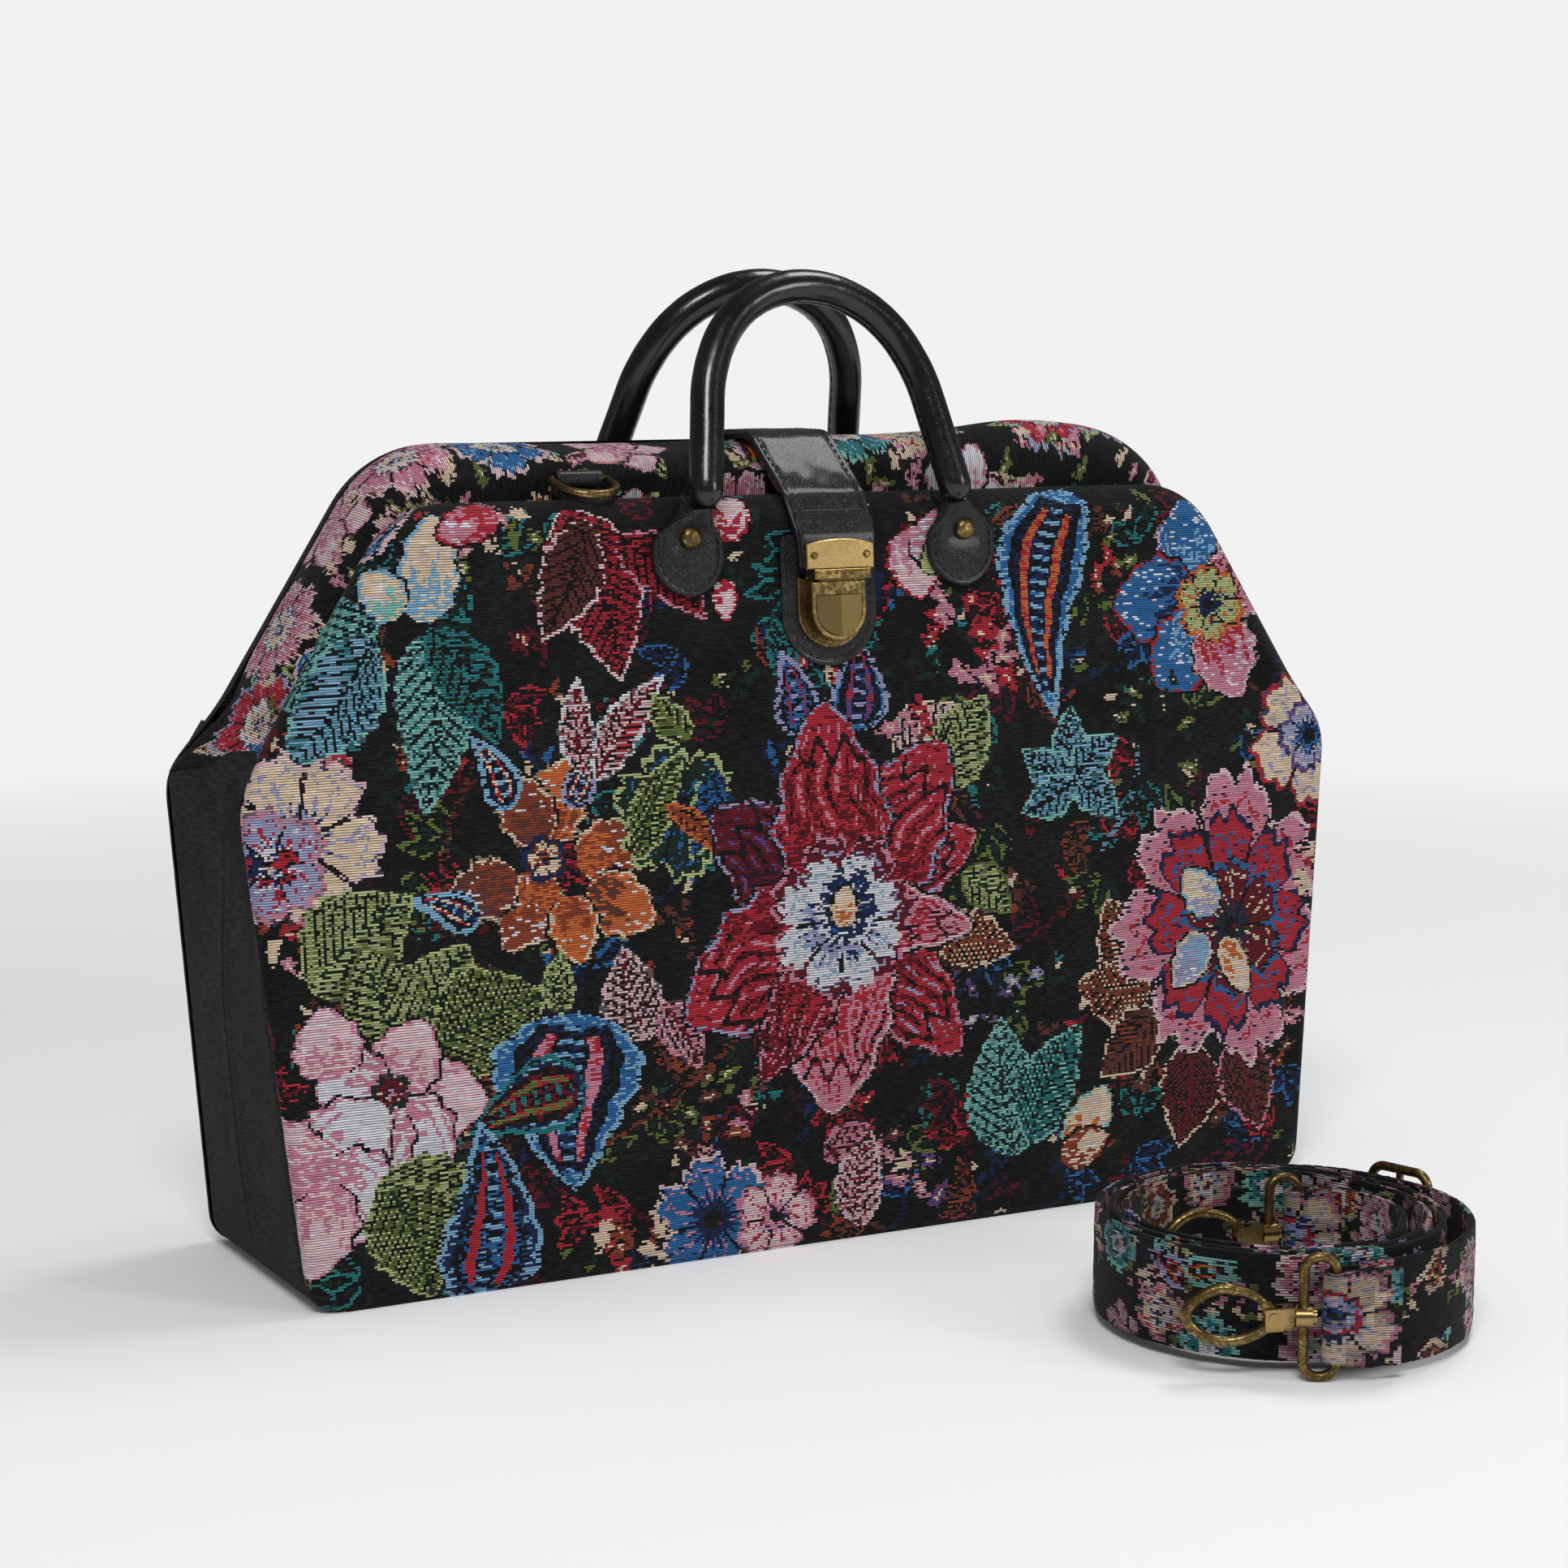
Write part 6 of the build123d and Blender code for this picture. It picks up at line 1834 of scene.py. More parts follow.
class Stitching:
    """Short threads along lines on leather."""

    @staticmethod
    def run(
        points: Array, out: Array, pitch: float = 3.3, long: float = 2.4, thick: float = 0.36
    ) -> tuple[Array, Array]:
        """Stitches along one line.

        Args:
            points: the line.
            out: direction off the leather at each point.
            pitch: stitch to stitch.
            long: length of one.
            thick: its radius.

        Returns:
            Points and faces of all stitches.
        """
        length = run_length(points)
        count = max(1, int(length[-1] / pitch))
        turn = np.linspace(0, 2 * math.pi, 7)[:-1]

        def on(line: Array, s: float) -> Array:
            """Value of a line at a length."""
            return np.array([np.interp(s, length, line[:, j]) for j in range(3)])

        parts = []
        for k in range(count):
            at = (k + 0.5) * length[-1] / count
            rows = []
            for f in (-1.0, -0.78, 0.0, 0.78, 1.0):
                s = at + f * long / 2
                p, o = on(points, s), on(out, s)
                q = on(points, s + 0.2) - on(points, s - 0.2)
                side = np.cross(q / max(np.linalg.norm(q), 1e-9), o)
                r = thick * math.sqrt(max(1 - abs(f) ** 3, 0.03))
                around = np.cos(turn)[:, None] * side + np.sin(turn)[:, None] * o * 0.8
                rows.append(p + o * (0.12 * (1 - f * f)) + around * r)
            parts.append((np.concatenate(rows), Skin.grid(5, 6, close_cols=True)))
        return Skin.merge(parts)

    @staticmethod
    def round_end(
        place: Callable, x: float, low: float, high: float, radius: float, lift: float
    ) -> tuple[Array, Array]:
        """Stitch line down one side of a round-ended piece, round its end and up the other side.

        Args:
            place: placing function of its panel.
            x: its middle.
            low: height of the round end's middle.
            high: height of the line's ends.
            radius: radius of the line.
            lift: height off the panel.

        Returns:
            Points and outward directions.
        """
        turn = np.radians(np.linspace(180, 360, 60))
        arc = [(x + radius * math.cos(t), low + radius * math.sin(t)) for t in turn]
        line = np.array([spot(place, p, q, lift) for p, q in [(x - radius, high), *arc, (x + radius, high)]])
        return line, np.tile(spot(place, h=1.0) - spot(place), (len(line), 1))


class LeatherWork:
    """Shared ways of making leather pieces with their stitching."""

    def __init__(self, finishes: Finishes) -> None:
        """Keep the finishes.

        Args:
            finishes: every finish of the bag.
        """
        self.finishes = finishes

    def add(self, name: str, sheet: Sheet, body: str, node: str, material: Material) -> None:
        """Add one leather piece.

        Args:
            name: its name.
            sheet: its shape.
            body: what it moves with.
            node: the CAD node that it stands for.
            material: its finish.
        """
        points, faces, cloth = sheet.build()
        piece = Skin.mesh(name, points, faces, material, cloth)
        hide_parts(node)
        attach(piece, body)

    def stitch(self, name: str, lines: Sequence[tuple[Array, Array]], body: str) -> None:
        """Add the stitches of one piece.

        Args:
            name: name of the stitches.
            lines: points and outward directions of each line.
            body: what they move with.
        """
        points, faces = Skin.merge([Stitching.run(p, o) for p, o in lines])
        piece = Skin.mesh(name, points, faces, self.finishes.thread)
        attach(piece, body)


def flat_frames(
    place: Callable, v: Array, x: float, h: float
) -> Frames:
    """Path on a large panel, with its outward and sideways directions.

    Args:
        place: front_place or back_place.
        v: heights up the panel.
        x: middle of the piece.
        h: how far off the panel's face it starts.

    Returns:
        Path, outward directions and sideways directions.
    """
    path = place(np.full(len(v), x), v, np.full(len(v), h))
    out, side = spot(place, h=1.0) - spot(place), spot(place, x=1.0) - spot(place)
    return path, np.tile(out, (len(v), 1)), np.tile(side, (len(v), 1))


def bent_frames(
    points: Sequence[Point], bend: float, step: float = 1.0
) -> Frames:
    """Path across the bag in a side view, with its outward and sideways directions.

    Args:
        points: corners as (y, z), with the outer side to the right of the way along them.
        bend: rounding of the inner corners.
        step: spacing of the path's points.

    Returns:
        Path, outward directions and sideways directions.
    """
    line = rounded_corners(points, [0] + [bend] * (len(points) - 2) + [0], step)
    ahead = heading(line)
    path = np.stack([np.zeros(len(line)), line[:, 0], line[:, 1]], 1)
    out = np.stack([np.zeros(len(line)), ahead[:, 1], -ahead[:, 0]], 1)
    return path, out, np.tile([1.0, 0.0, 0.0], (len(line), 1))


@dataclass
class Handles:
    """Two rolled handles, each with a seam inside its arch."""

    finishes: Finishes
    radius: float = 5.95
    off: float = 6.6

    @staticmethod
    def arch() -> Array:
        """Half arch in its own plane, from the crown to the foot.

        Returns:
            Points as (across, up).
        """
        crown = np.radians(np.linspace(90, 32, 40))
        flank = np.radians(np.linspace(32, 10, 18))[1:]
        first = np.stack([42 * np.cos(crown), 31 + 42 * np.sin(crown)], 1)
        second = np.stack([-15.26 + 60 * np.cos(flank), 21.46 + 60 * np.sin(flank)], 1)
        last = second[-1] + (np.array([FOOT_X, 0.0]) - second[-1]) * np.linspace(0, 1, 14)[1:, None]
        return np.concatenate([first, second, last])

    def one(self, name: str, place: Callable, foot_v: float, lean: float, towards: int) -> None:
        """Make one handle.

        Args:
            name: the CAD node, and the body it moves with.
            place: placing function of the panel it hangs on.
            foot_v: foot axis up the panel.
            lean: how far the arch leans over the mouth, in degrees.
            towards: 1 for leaning to the back and -1 for leaning to the front.
        """
        origin = spot(place, 0.0, foot_v, self.off)
        up = np.array([0, towards * math.sin(math.radians(lean)), math.cos(math.radians(lean))])
        half = self.arch()
        flat = np.concatenate([half[::-1] * [-1, 1], half[1:]])
        path = origin + flat[:, :1] * np.array([1.0, 0, 0]) + flat[:, 1:] * up
        ahead = heading(path)
        normal = np.cross([1.0, 0, 0], up)
        inside = np.cross(normal, ahead)
        inside = inside * np.sign((inside * (origin + up * 20 - path)).sum(1))[:, None]
        ends = []
        for sign, at in ((-1, 0), (1, -1)):
            for turn in (math.radians(30), math.radians(60), math.radians(82)):
                centre = path[at] + sign * ahead[at] * math.sin(turn) * self.radius
                ends.append((sign, centre, math.cos(turn)))
        before = [(e[1], e[2]) for e in ends if e[0] < 0][::-1]
        after = [(e[1], e[2]) for e in ends if e[0] > 0]
        centres = np.array([b[0] for b in before] + list(path) + [a[0] for a in after])
        size = np.array([b[1] for b in before] + [1.0] * len(path) + [a[1] for a in after])
        frames = np.concatenate([np.repeat(inside[:1], 3, 0), inside, np.repeat(inside[-1:], 3, 0)])
        turn = np.linspace(0, 2 * math.pi, 49)[:-1]
        away = np.minimum(turn, 2 * math.pi - turn)
        crease, welt = np.exp(-((away / 0.075) ** 2)), np.exp(-(((away - 0.3) / 0.15) ** 2))
        profile = self.radius * (1 - 0.11 * crease + 0.012 * welt)
        run = np.arange(len(centres))[:, None]
        profile = profile[None] * (1 + 0.008 * ripple(run * 1.7, turn[None] * 9, 20.0, 81)) - 0.04
        ring = frames[:, None] * np.cos(turn)[None, :, None] + normal * np.sin(turn)[None, :, None]
        points = centres[:, None] + ring * (profile * size[:, None])[..., None]
        faces = Skin.grid(len(centres), 48, close_cols=True)
        piece = Skin.mesh(name + "_leather", points.reshape(-1, 3), faces, self.finishes.smooth_leather)
        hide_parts(name)
        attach(piece, name)
        seam = path + inside * (self.radius - 0.30)
        threads = Stitching.run(seam[4:-4], inside[4:-4], 4.2, 3.0, 0.3)
        stitches = Skin.mesh(name + "_seam", *threads, self.finishes.thread)
        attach(stitches, name)

    def build(self) -> None:
        """Make both handles."""
        self.one("front_handle", front_place, FRONT_FOOT_V, 18.0, 1)
        self.one("back_handle", back_place, BACK_FOOT_V, 24.0, -1)


@dataclass
class Tabs:
    """Four stitched tabs that flow up into the handles' feet."""

    finishes: Finishes
    radius: float = 13.6
    reach: float = 6.42
    back_drop: float = 4.0

    def one(self, label: str, place: Callable, side: int, foot_v: float, drop: float, body: str) -> None:
        """Make one tab with its stitches.

        Args:
            label: the CAD node.
            place: placing function of its panel.
            side: -1 or 1 across the panel.
            foot_v: the handle's foot axis up the panel.
            drop: how much higher the tab sits than the front ones.
            body: what it moves with.
        """
        x0, low, high = side * TAB_X, 244.5 + drop, 252.0 + drop
        bottom, top = low - self.radius, foot_v - 0.2
        round_v = bottom + self.radius * (1 - np.cos(np.linspace(0.10, math.pi / 2, 22)))
        v = np.concatenate([round_v, np.linspace(low, top, 40)[1:]])
        rise = smooth(high - 4.0, foot_v - 5.0, v)
        lower = np.sqrt(np.clip(self.radius**2 - np.clip(low - v, 0, None) ** 2, 0.05, None))
        half = lower * (1 - rise) + 6.35 * rise
        half = half - 0.8 * smooth(high - 2, high + 6, v) * (1 - rise)
        middle = x0 + (side * FOOT_X - x0) * smooth(high, foot_v, v)
        crest = 3.5 + 5.4 * rise**1.3
        power = 5.5 - 3.2 * rise
        turn = np.linspace(0, math.pi, 41)
        c, s = np.cos(turn), np.sin(turn)
        ex = np.sign(c) * np.abs(c) ** (2 / power[:, None])
        ey = np.abs(s) ** (2 / np.clip(power[:, None] * 0.8, 2, None))
        a, h = half[:, None] * ex, 0.1 + crest[:, None] * ey
        inner = half[:, None] - np.abs(a)
        to_end = np.where(v[:, None] < low, self.radius - np.hypot(a, low - v[:, None]), inner)
        groove = 0.4 * np.exp(-(((to_end - 2.3) / 0.7) ** 2)) * (v[:, None] < high + 4)
        dish = 0.5 * np.exp(-((a**2 + (v[:, None] - 251 - drop) ** 2) / 30.0))
        h = h - (groove + dish) * (ey > 0.8)
        vv = np.repeat(v[:, None], h.shape[1], 1)
        dv, dh = vv - foot_v, h - 6.6
        far = np.hypot(dv, dh)
        push = np.where(far < self.reach, self.reach / np.maximum(far, 1e-3), 1.0)
        lip = foot_v - np.sqrt(np.clip(self.reach**2 - dh**2, 0, None))
        vv = np.where(dh > 0, np.minimum(vv, lip), foot_v + dv * push)
        h = np.where(dh > 0, h, np.maximum(6.6 + dh * push, 0.1))
        x = middle[:, None] + a
        points = place(x, vv, h).reshape(-1, 3)
        faces = Skin.grid(len(v), 41)
        cloth = np.stack([x, vv, h], -1).reshape(-1, 3)
        piece = Skin.mesh(label + "_leather", points, faces, self.finishes.grained_leather, cloth)
        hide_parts(label)
        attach(piece, body)
        line, out = Stitching.round_end(place, x0, low, high + 2.0, self.radius - 2.3, 3.3)
        stitches = Skin.mesh(label + "_stitches", *Stitching.run(line, out, 3.4, 2.5), self.finishes.thread)
        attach(stitches, body)

    def build(self) -> None:
        """Make the four tabs."""
        for label, side in (("front_left_tab", -1), ("front_right_tab", 1)):
            self.one(label, front_place, side, FRONT_FOOT_V, 0.0, "front_half")
        for label, side in (("back_left_tab", 1), ("back_right_tab", -1)):
            self.one(label, back_place, side, BACK_FOOT_V, self.back_drop, "back_half")


@dataclass
class Closure:
    """Lock patch, flap with its overlay, and the anchor behind the mouth."""

    finishes: Finishes
    patch_half: float = 18.9
    patch_low: float = 204.6
    patch_high: float = 250.8
    thick: float = 2.95
    bends: tuple[Point, ...] = (
        (12.0, 282.5), (-9.324, 282.5), (-34.507, 262.708), (-42.193, 249.814), (-42.883, 239.2)
    )

    def patch(self) -> None:
        """Round-ended leather patch under the lock."""
        work = LeatherWork(self.finishes)
        half, low, high = self.patch_half, self.patch_low, self.patch_high
        foot = low + half * (1 - np.cos(np.linspace(0.12, math.pi / 2, 30)))
        top = high - 2.5 + 2.4 * np.sin(np.linspace(0.2, math.pi / 2, 6))
        v = np.concatenate([foot, np.linspace(low + half, high - 2.5, 26)[1:], top])
        w = np.sqrt(np.clip(half**2 - np.clip(low + half - v, 0, None) ** 2, 0.04, None))
        w = w - 2.5 * (1 - np.sqrt(np.clip(1 - (np.clip(v - high + 2.5, 0, 2.5) / 2.5) ** 2, 0, 1)))

        def dent(s: Array, a: Array) -> Array:
            """Stitch groove and slight unevenness of the patch."""
            at = np.interp(s, np.concatenate([[0], np.cumsum(np.diff(v))]), v)
            gap = np.where(at < low + half, half - np.hypot(a, low + half - at), half - np.abs(a))
            return -0.35 * np.exp(-(((gap - 2.6) / 0.7) ** 2)) + 0.10 * ripple(a, at, 14.0, 91)

        path, out, side = flat_frames(front_place, v, 0.0, 0.05)
        sheet = Sheet(path, out, side, w, 2.3, 0.9, 34, dent)
        work.add("lock_patch_leather", sheet, "front_half", "lock_patch", self.finishes.grained_leather)
        line = Stitching.round_end(front_place, 0.0, low + half, high - 3, half - 2.6, 2.1)
        work.stitch("lock_patch_stitches", [line], "front_half")

    def flap(self) -> None:
        """Flap over the mouth, with two stitched edges, and its overlay."""
        work = LeatherWork(self.finishes)
        path, out, side = bent_frames(self.bends, 10.0, 0.9)
        out = -out if out[0, 2] < 0 else out
        z = path[:, 2]
        half = 16.3 - 1.9 * smooth(262, 240, z)

        def dent(s: Array, a: Array) -> Array:
            """Stitch grooves and slight unevenness of the flap."""
            return -0.35 * np.exp(-(((14.0 - np.abs(a)) / 0.6) ** 2)) + 0.14 * ripple(a * 1.2, s, 22.0, 92)

        sheet = Sheet(path, out, side, half, self.thick, 0.9, 34, dent)
        work.add("flap_leather", sheet, "flap", "flap_strap", self.finishes.flap_leather)
        work.stitch("flap_stitches", sheet.edge_lines(np.linspace(0.06, 0.80, 90), 2.2, -0.2), "flap")
        self.overlay(work)

    def overlay(self, work: LeatherWork) -> None:
        """Short second layer on the flap's front, with its stitches.

        Args:
            work: what makes the leather pieces.
        """
        top, bend = (-40.533, 258.458), (-45.141, 250.727)
        low = spot(front_place, 0.0, 239.1, 7.95)
        path, out, side = bent_frames([top, bend, (low[1], low[2])], 13.0, 0.6)
        out = -out if out[0, 1] > 0 else out
        s = np.linspace(0, 1, len(path))
        length = run_length(path)
        corner = 4.5
        part = np.clip(corner - length, 0, corner) / corner
        round_off = corner * (1 - np.sqrt(np.clip(1 - part**2, 0, 1)))
        half = 15.6 - 1.6 * s - round_off
        sheet = Sheet(path, out, side, half, 1.5, 0.6, 30)
        work.add("overlay_leather", sheet, "flap", "flap_overlay", self.finishes.grained_leather)
        lines = sheet.edge_lines(np.linspace(0.30, 0.66, 24), 1.9, -0.1)
        across = np.linspace(-10.0, 10.0, 12)
        line = sheet.surface(np.full(12, 1.9 / length[-1]), across, -0.1)
        lines.append((line, np.tile(out[3], (12, 1))))
        work.stitch("overlay_stitches", lines, "flap")

    def anchor(self) -> None:
        """Leather strip from the flap's axis down the back of the hood."""
        work = LeatherWork(self.finishes)
        path, out, side = bent_frames([(13.6, 282.0), (31.796, 282.0), (34.555, 245.308)], 18.0, 1.0)
        out = -out if out[0, 2] < 0 else out
        low = smooth(252, 245.3, path[:, 2])
        half = 16.4 - 7.0 * low**2
        sheet = Sheet(path, out, side, half, self.thick, 0.9, 30)
        work.add("anchor_leather", sheet, "back_half", "strap_anchor", self.finishes.flap_leather)
        work.stitch("anchor_stitches", sheet.edge_lines(np.linspace(0.08, 0.9, 60), 2.2, -0.1), "back_half")

    def build(self) -> None:
        """Make all of it."""
        self.patch()
        self.flap()
        self.anchor()


@dataclass
class RingStrips:
    """Leather strips whose rolled ends hold the D-rings."""

    finishes: Finishes
    inner: float = 1.72
    half: float = 8.5
    thick: float = 1.3
    ring_x: float = -87.0

    def one(self, label: str, bar: Array, strip: Array, face: Array, long: float, body: str) -> None:
        """Make one strip.

        Args:
            label: the CAD node.
            bar: middle of the ring's bar.
            strip: direction of the strip away from the bar.
            face: direction off the wall that it lies on.
            long: its length.
            body: what it moves with.
        """
        turn = np.radians(np.linspace(-90, 180, 40))
        loop = [bar + self.inner * (face * math.sin(t) - strip * math.cos(t)) for t in turn]
        tail = [bar - face * self.inner + strip * s for s in np.linspace(long, 0.3, 16)]
        path = np.array(tail + loop)
        out = np.array([-face for _ in tail] + [(p - bar) / self.inner for p in loop])
        half = np.full(len(path), self.half)
        side = np.tile([1.0, 0, 0], (len(path), 1))
        sheet = Sheet(path, out, side, half, self.thick, 0.45, 16)
        LeatherWork(self.finishes).add(label + "_leather", sheet, body, label, self.finishes.grained_leather)

    def build(self) -> None:
        """Make both strips."""
        bar, down, ahead = np.array([[self.ring_x, -20.0, 270.4], [0, 0, -1.0], [0, -1.0, 0]])
        self.one("front_ring_strip", bar, down, ahead, 19.0, "back_half")
        face, up = spot(back_place, h=1.0) - spot(back_place), spot(back_place, v=1.0) - spot(back_place)
        bar = spot(back_place, self.ring_x, 254.0, 3.0)
        self.one("back_ring_strip", bar, up, face, 12.0, "back_half")


@dataclass
class ShoulderStrap:
    """Coiled webbing of folded tapestry, with an end loop round each tall ring."""

    finishes: Finishes
    radii: tuple[float, ...] = (62.0, 56.5, 54.2, 51.9, 49.6, 47.3, 40.0)
    middle: Point = (77.0, -200.0)
    start: float = -108.0
    last_sweep: float = 150.0
    low: float = 3.6
    width: float = 34.0
    thick: float = 2.5
    cell: float = 1.3

    @staticmethod
    def bearing(angle: float) -> Array:
        """Direction on the floor.

        Args:
            angle: bearing in degrees.

        Returns:
            Unit vector in the floor's plane.
        """
        return np.array([math.cos(math.radians(angle)), math.sin(math.radians(angle))])

    def centre_line(self) -> Array:
        """Line of the webbing from the tip of its outer fold to the tip of its inner fold.

        Returns:
            Points on the floor.
        """
        centre = np.array(self.middle) - self.bearing(self.start + 180) * (self.radii[0] - self.radii[1])
        arcs = []
        for turn, radius in enumerate(self.radii):
            begin = self.start + 180 * turn
            if turn:
                centre = centre + self.bearing(begin) * (self.radii[turn - 1] - radius)
            sweep = self.last_sweep if turn == len(self.radii) - 1 else 180.0
            angles = np.linspace(begin, begin + sweep, int(sweep / 2) + 1)
            arcs += [centre + self.bearing(angle) * radius for angle in angles[1 if turn else 0 :]]
        arcs = np.array(arcs)
        outer = self.loop(arcs[0], self.bearing(self.start - 90), self.bearing(self.start))
        last = self.start + 180 * (len(self.radii) - 1) + self.last_sweep
        inner = self.loop(arcs[-1], self.bearing(last + 90), -self.bearing(last))
        line = np.concatenate([outer[::-1], arcs[3:-3], inner])
        step = run_length(line)
        even = np.linspace(0, step[-1], int(step[-1] / self.cell))
        return np.stack([np.interp(even, step, line[:, k]) for k in (0, 1)], 1)

    @staticmethod
    def loop(end: Array, away: Array, out: Array) -> Array:
        """Path round a ring's bar and back along the webbing.

        Args:
            end: where the coil ends.
            away: direction off the coil.
            out: side that the fold lies on.

        Returns:
            Points from the coil to the tip of the fold.
        """
        middle = end + away * 1.75
        spots = [(-9.0, 0.0), (-6.0, -0.4), (-4.2, -1.2)]
        spots += [(3.15 * math.cos(t), 3.15 * math.sin(t)) for t in np.radians(np.linspace(-128, 112, 26))]
        spots += [(-4.0, 3.15), (-7.0, 2.75), (-12.0, 2.6), (-20.0, 2.6)]
        return np.array([middle + away * a + out * o for a, o in spots])

    def build(self) -> None:
        """Make the webbing."""
        line = self.centre_line()
        rows = int(self.width / RIB) + 1
        ahead = heading(line)
        side = np.stack([ahead[:, 1], -ahead[:, 0]], 1)
        t = np.arange(len(line)) * self.cell
        total = t[-1]
        gather = 1 - 0.17 * (np.exp(-(((t - 23) / 13) ** 2)) + np.exp(-(((total - t - 23) / 13) ** 2)))
        gather = gather * np.where((t < 8) | (total - t < 8), 0.93, 1.0)
        up = np.linspace(-0.5, 0.5, rows)
        edge = np.linspace(0, math.pi, 5)[1:-1]
        half = self.thick / 2
        ring = [(half, u) for u in up] + [(half * math.cos(e), 0.5) for e in edge]
        ring += [(-half, u) for u in up[::-1]] + [(-half * math.cos(e), -0.5) for e in edge]
        ring = np.array(ring)
        bulge = np.concatenate([np.zeros(rows), np.sin(edge) * 0.35, np.zeros(rows), -np.sin(edge) * 0.25])
        middle = self.low + self.width / 2
        wave = 0.30 * np.sin(t / 17.0) + 0.22 * np.sin(t / 7.3 + 1)
        fuzz = 0.35 * (scatter(np.arange(len(t))[:, None], np.arange(len(ring))[None], 3) - 0.5)
        top = np.abs(ring[None, :, 1]) > 0.47
        height = ring[None, :, 1] * self.width * gather[:, None] * 0.985
        z = middle + wave[:, None] * 0.5 + height + bulge[None] + fuzz * top
        uneven = 0.10 * ripple(t[:, None], ring[None, :, 1] * 34, 16.0, 101)
        pinch = 1 - 0.18 * smooth(0.38, 0.5, np.abs(ring[None, :, 1])) + uneven
        offset = ring[None, :, 0] * pinch
        xy = line[:, None] + side[:, None] * offset[..., None]
        points = np.concatenate([xy, z[..., None]], -1)
        count = len(ring)
        faces = Skin.grid(len(line), count, close_cols=True)
        caps = []
        for row in (0, len(line) - 1):
            base = row * count
            for k in range(count // 2 - 1):
                a, b, c, d = k, k + 1, count - 2 - k, count - 1 - k
                quad = [base + a, base + b, base + c, base + d]
                caps.append(quad if row else quad[::-1])
        outer, inner = up * self.width, 60 + up[::-1] * -self.width
        v = np.concatenate([outer, 17.5 + np.arange(3), inner, 80 + np.arange(3)])
        along, around = np.meshgrid(t, v, indexing="ij")
        cloth = np.stack([along, around, 0 * along], -1).reshape(-1, 3)
        faces = np.concatenate([faces, np.array(caps)])
        middle_cloth = cloth[faces].mean(1)
        span = cloth[faces][..., 1].max(1) - cloth[faces][..., 1].min(1)
        weaver = Weaver(middle_cloth[:, 0], middle_cloth[:, 1], 24)
        ScatterPattern.paint(weaver, (-10, total + 10, -24, 22), 23, 9.5, 17)
        ScatterPattern.paint(weaver, (-10, total + 10, 38, 84), 23, 9.5, 29)
        for near in (22.0, total - 22.0):
            for level in (0.0, 60.0):
                weaver.flower((near, level), 21, 6, 10, (T.CREAM, T.LAVENDER), T.ROSE, T.LAVENDER, 0.3)
                weaver.flower((near, level - 2), 9, 6, 0, (T.LAVENDER, T.BLUE), T.CRIMSON, T.CREAM, 0.2)
        patches = np.floor(middle_cloth[:, 0] / 9.0), np.floor(middle_cloth[:, 1] / 7.0)
        shade = 1.0 - 0.35 * (scatter(*patches, 8) > 0.55)
        weave = np.concatenate([weaver.rgb * shade[:, None] * 0.72, weaver.figure[:, None]], 1)
        weave[span > 8] = [0.01, 0.01, 0.012, 0.0]
        piece = Skin.mesh("strap_cloth", points.reshape(-1, 3), faces, self.finishes.tapestry, cloth, weave)
        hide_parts("strap_webbing")
        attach(piece, "bag")


